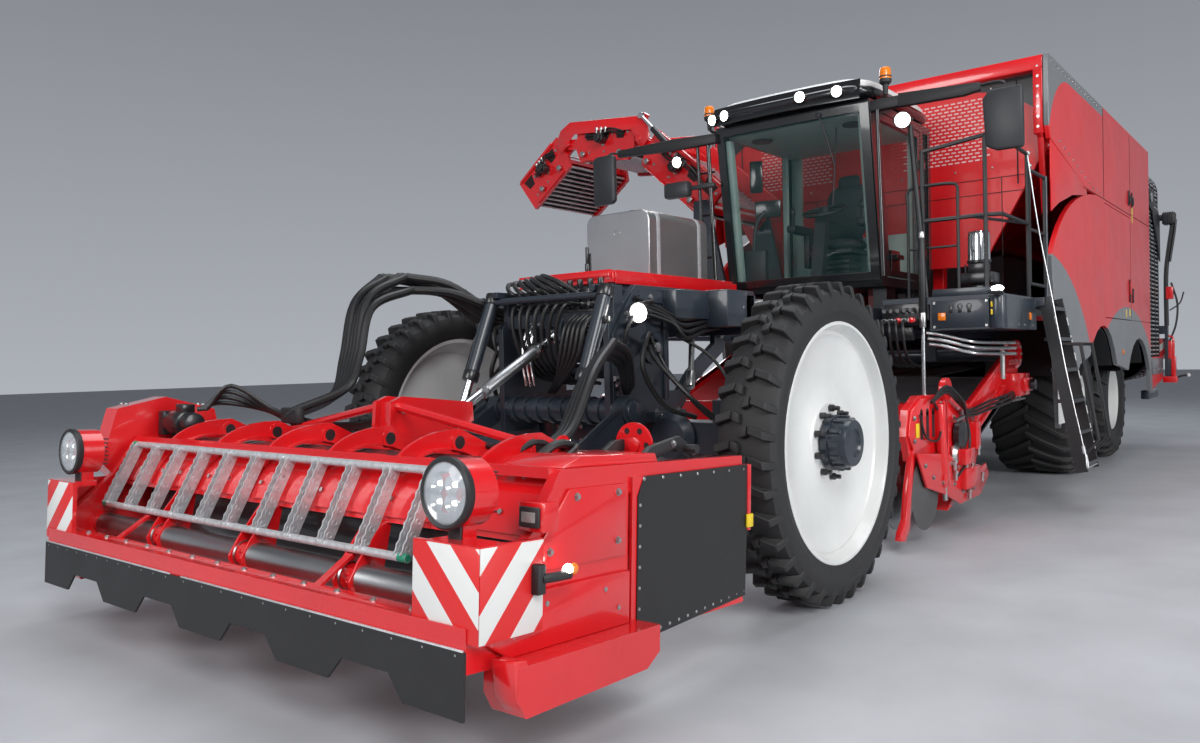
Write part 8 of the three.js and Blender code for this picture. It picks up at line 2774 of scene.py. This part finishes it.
# -------------------------------------------------------------------------- tail
@dataclass
class Tail:
    """Rear lamps, boards, bracket and the guards at the back."""

    body: str = "chassis"

    def build(self) -> None:
        """All of the tail."""
        for label, side in SIDES.items():
            self.lamps(label, side)
            self.outer_side(label, side)

    def lamps(self, label: str, side: int) -> None:
        """Lamp group and striped board of one side."""
        x = -10.908
        case = Workpiece(f"{label}_tail_case")
        case.block((x + 0.002, x + 0.05), ordered(side * 1.28, side * 1.68), (1.02, 1.12), 0.01)
        case.deliver(MOULDED, self.body, Slot.BLACK)
        for name, finish, low, high in (("red", RED_LENS, 1.3, 1.42), ("amber", AMBER, 1.43, 1.54),
                                        ("tail", RED_LENS, 1.55, 1.66)):
            lens = Workpiece(f"{label}_{name}_lens")
            lens.block((x, x + 0.01), ordered(side * low, side * high), (1.032, 1.108), 0.004)
            lens.deliver(finish, self.body, Slot.RED)
        board = Workpiece(f"{label}_rear_board")
        board.block((-10.868, -10.856), ordered(side * 1.4, side * 1.76), (1.2, 1.5), 0.003)
        stripes = StripeFinish(f"Rear stripes {label}", RED.colour, 0.3, dust=0.02, along="Y", lean=-side,
                               pitch=0.2)
        board.deliver(stripes, self.body, Slot.RED)

    def outer_side(self, label: str, side: int) -> None:
        """Camera box, its struts, red brackets, lamp arm and lines outside the ring."""
        def across(low: float, high: float) -> Span:
            """A span along Y on this side."""
            return ordered(side * low, side * high)
        box = Workpiece(f"{label}_rear_camera_box")
        box.block((-10.86, -10.7), across(1.76, 1.92), (3.14, 3.3), 0.012)
        box.block((-10.84, -10.76), across(1.3, 1.8), (3.2, 3.28), 0.008)
        for i in range(5):
            box.block((-10.87, -10.69), across(1.78 + i * 0.026, 1.79 + i * 0.026), (3.13, 3.31), 0.002)
        box.hose([(-10.8, side * 1.88, 3.15), (-10.8, side * 1.83, 2.8), (-10.8, side * 1.79, 2.4),
                  (-10.8, side * 1.79, 1.68)], 0.03, 10, 4)
        box.hose([(-10.78, side * 1.92, 3.2), (-10.78, side * 1.9, 3.0), (-10.78, side * 1.84, 2.6)],
                 0.018, 8, 4)
        box.hose([(-10.82, side * 1.85, 2.3), (-10.84, side * 1.92, 2.0), (-10.84, side * 1.9, 1.7),
                  (-10.82, side * 1.82, 1.45)], 0.014, 8, 6)
        box.hose([(-10.8, side * 1.83, 1.9), (-10.84, side * 1.95, 2.0), (-10.85, side * 2.0, 2.16)],
                 0.01, 8, 5)
        box.deliver(MOULDED, self.body, Slot.BLACK)
        red = Workpiece(f"{label}_tail_brackets")
        red.block((-10.85, -10.74), across(1.79, 1.88), (2.06, 2.24), 0.01)
        red.block((-10.86, -10.78), across(1.76, 1.86), (1.2, 1.46), 0.01)
        red.hose([(-10.82, side * 1.78, 1.44), (-10.82, side * 1.79, 1.52), (-10.82, side * 1.85, 1.52),
                  (-10.82, side * 1.87, 1.44), (-10.82, side * 1.87, 1.2)], 0.014, 8, 4)
        red.block((-10.88, -10.78), across(1.84, 1.9), (0.94, 1.24), 0.01)
        red.block((-10.88, -10.74), across(1.74, 1.92), (0.86, 0.95), 0.01)
        red.deliver(RED, self.body, Slot.RED)
        plate = Workpiece(f"{label}_tail_plate")
        plate.block((-10.84, -10.8), across(1.76, 1.84), (0.95, 1.2), 0.004)
        plate.block((-10.6, -9.8), across(1.6, 1.7), (0.66, 0.78), 0.01)
        plate.deliver(SLATE, self.body, Slot.DARK)
        foot = Workpiece(f"{label}_ring_foot_case")
        foot.block((-10.66, -9.72), across(1.7502, 1.762), (1.0, 1.22), 0.006)
        foot.deliver(GREY, self.body, Slot.GREY)
        stalk = Workpiece(f"{label}_width_marker_arm")
        stalk.hose([(-10.82, side * 1.9, 0.92), (-10.82, side * 1.95, 0.95),
                    (-10.82, side * 2.03, 0.965)], 0.014, 10, 5)
        stalk.deliver(RUBBER, self.body, Slot.RUBBER)
        tip = Workpiece(f"{label}_width_marker")
        tip.dome((-10.82, side * 2.05, 0.965), (0.026, 0.024, 0.028), 16)
        tip.deliver(ROOF_WHITE, self.body, Slot.GREY)
        bolts = Workpiece(f"{label}_ring_foot_bolts")
        for x in (-9.8, -10.2, -10.6):
            bolts.bolt((x, side * 1.762, 1.06), "y", 0.012, side)
        bolts.deliver(BOLT_ZINC, self.body, Slot.STEEL)


@dataclass
class SievingWeb:
    """Long bar web under the bunker that carries the crop to the ring."""

    def build(self) -> None:
        """Bars, belts and rollers."""
        ends = (Vector((-9.25, 0, 1.18)), Vector((-4.82, 0, 1.01)))
        bar_web("sieving_bar_web", ends, 0.12, 0.515, "chassis", ["sieving_web"])


# ------------------------------------------------------------------------- frame
PLAIN_NODES: dict[str, Finish] = {"main_frame": SLATE, "front_frame": SLATE, "deck": RED,
                                  "elevator_bracket": SLATE, "rear_frame": SLATE, "front_axle": SLATE,
                                  "left_knuckle": SLATE, "right_knuckle": SLATE, "rear_axles": SLATE,
                                  "fuel_tank": TANK_STEEL, "cab_frame": BLACK, "cab_roof": BLACK,
                                  "cab_door": BLACK, "driver_seat": CLOTH, "steering_column": MOULDED,
                                  "platform": SLATE, "railing": BLACK, "platform_gate": BLACK,
                                  "ladder": BLACK, "bunker_left_side": RED_SIDE,
                                  "bunker_right_side": RED_SIDE, "bunker_front": RED,
                                  "bunker_hopper": RED, "body_left": RED_SIDE, "body_right": RED_SIDE,
                                  "left_service_door": RED_SIDE, "right_service_door": RED_SIDE,
                                  "engine_block": GREY, "sieving_web": STEEL, "ring_elevator": RUBBER,
                                  "lift_arms": SLATE, "lift_barrels": SLATE, "lift_rods": CHROME,
                                  "top_link": CHROME, "digger_frame": RED, "digger_web": STEEL,
                                  "ridge_rollers": STEEL, "elevator_base": RED, "elevator_middle": RED,
                                  "elevator_tip": RED, "elevator_barrel": BLACK, "elevator_rod": CHROME,
                                  "header_flap": RUBBER, "header_step": ZINC, "topper_rotor": BLACK,
                                  "header_frame": RED,}


def dress_frame() -> None:
    """Gives every CAD node its finish; some are replaced by finer pieces later."""
    for node, finish in PLAIN_NODES.items():
        dress(node, finish)


# ------------------------------------------------------------------------ studio
@dataclass(frozen=True)
class AreaLight:
    """One soft light."""

    name: str
    place: Point
    target: Point
    size: float
    power: float
    colour: Colour = (1.0, 1.0, 1.0)

    def build(self) -> None:
        """Hangs the light and turns it to its target."""
        data = bpy.data.lights.new(self.name, "AREA")
        data.shape = "DISK"
        data.size = self.size
        data.energy = self.power
        data.color = self.colour
        lamp = bpy.data.objects.new(self.name, data)
        bpy.context.scene.collection.objects.link(lamp)
        place = ORIGIN @ Vector(self.place)
        lamp.location = place
        lamp.rotation_euler = (ORIGIN @ Vector(self.target) - place).to_track_quat("-Z", "Y").to_euler()


@dataclass
class Studio:
    """Floor, soft lights and the camera."""

    eye: Point = (4.70, 3.755, 1.348)
    right: Point = (-0.628, 0.778, -0.021)
    up: Point = (-0.022, 0.009, 1.0)
    forward: Point = (-0.778, -0.628, -0.012)
    lens: float = 27.57
    lights: tuple[AreaLight, ...] = (
        AreaLight("key_light", (7.0, 9.0, 8.5), (-1.0, 0.5, 1.2), 6.0, 900.0),
        AreaLight("front_light", (9.5, -1.0, 5.0), (1.5, 0.0, 0.8), 5.0, 420.0),
        AreaLight("side_light", (-1.0, 12.0, 4.0), (-6.5, 1.75, 2.0), 5.0, 620.0),
        AreaLight("top_light", (-4.0, 0.0, 12.0), (-4.0, 0.0, 0.0), 10.0, 800.0, (0.95, 0.97, 1.0)),
        AreaLight("back_light", (-14.0, -8.0, 7.0), (-6.0, 0.0, 1.5), 7.0, 600.0, (0.92, 0.95, 1.0)),
    )

    def floor(self) -> None:
        """Large pale floor with a faint mottling."""
        made = Workpiece("studio_floor")
        bmesh.ops.create_grid(made.mesh, x_segments=1, y_segments=1, size=FLOOR_HALF)
        data = bpy.data.meshes.new("studio_floor")
        made.mesh.to_mesh(data)
        made.mesh.free()
        ground = bpy.data.objects.new("studio_floor", data)
        bpy.context.scene.collection.objects.link(ground)
        data.materials.append(Finish("Studio floor", (0.44, 0.455, 0.48), 0.5, grain_scale=8.0,
                                     grain_depth=0.0005, spread=0.06, dust=0.0).material())

    def air(self) -> None:
        """Even pale light from all round."""
        world = bpy.data.worlds.new("studio_air")
        bpy.context.scene.world = world
        world.use_nodes = True
        w = Wiring(world.node_tree)
        backdrop = world.node_tree.nodes["Background"]
        split = w.node("ShaderNodeSeparateXYZ")
        w.join(w.node("ShaderNodeTexCoord").outputs["Generated"], split.inputs[0])
        height = w.ramp(split.outputs["Z"], -0.02, 0.6)
        w.join(w.mix(height, (0.56, 0.59, 0.64, 1), (0.16, 0.175, 0.2, 1)), backdrop.inputs["Color"])
        backdrop.inputs["Strength"].default_value = 0.75

    def camera(self) -> None:
        """The camera, low and close to the left front corner."""
        data = bpy.data.cameras.new("studio_camera")
        data.lens = self.lens
        data.sensor_width = SENSOR_WIDTH
        data.clip_end = FAR_CLIP
        eye = bpy.data.objects.new("studio_camera", data)
        bpy.context.scene.collection.objects.link(eye)
        forward = Vector(self.forward).normalized()
        right = forward.cross(Vector(self.up)).normalized()
        up = right.cross(forward)
        place = ORIGIN @ Vector(self.eye)
        eye.matrix_world = Matrix((
            (right.x, up.x, -forward.x, place.x), (right.y, up.y, -forward.y, place.y),
            (right.z, up.z, -forward.z, place.z), (0, 0, 0, 1)))
        bpy.context.scene.camera = eye

    def build(self) -> None:
        """The whole studio."""
        self.camera()
        self.floor()
        self.air()
        for light in self.lights:
            light.build()
        bpy.context.scene.view_settings.view_transform = "Standard"
        bpy.context.scene.view_settings.look = "None"


def main() -> None:
    """Builds every sub-assembly in order."""
    logging.basicConfig(level=logging.INFO, format="%(name)s: %(message)s")
    random.seed(RANDOM_SEED)
    Studio().build()
    dress_frame()
    build_wheels()
    Header().build()
    FrontFrame().build()
    LiftHoses().build()
    HeaderBackTrim().build()
    DeckAndTank().build()
    Cab().build()
    Platform().build()
    Bunker().build()
    DiggingUnit().build()
    SievingWeb().build()
    RingElevator().build()
    UnloadingElevator().build()
    Tail().build()


if __name__ == "__main__":
    main()
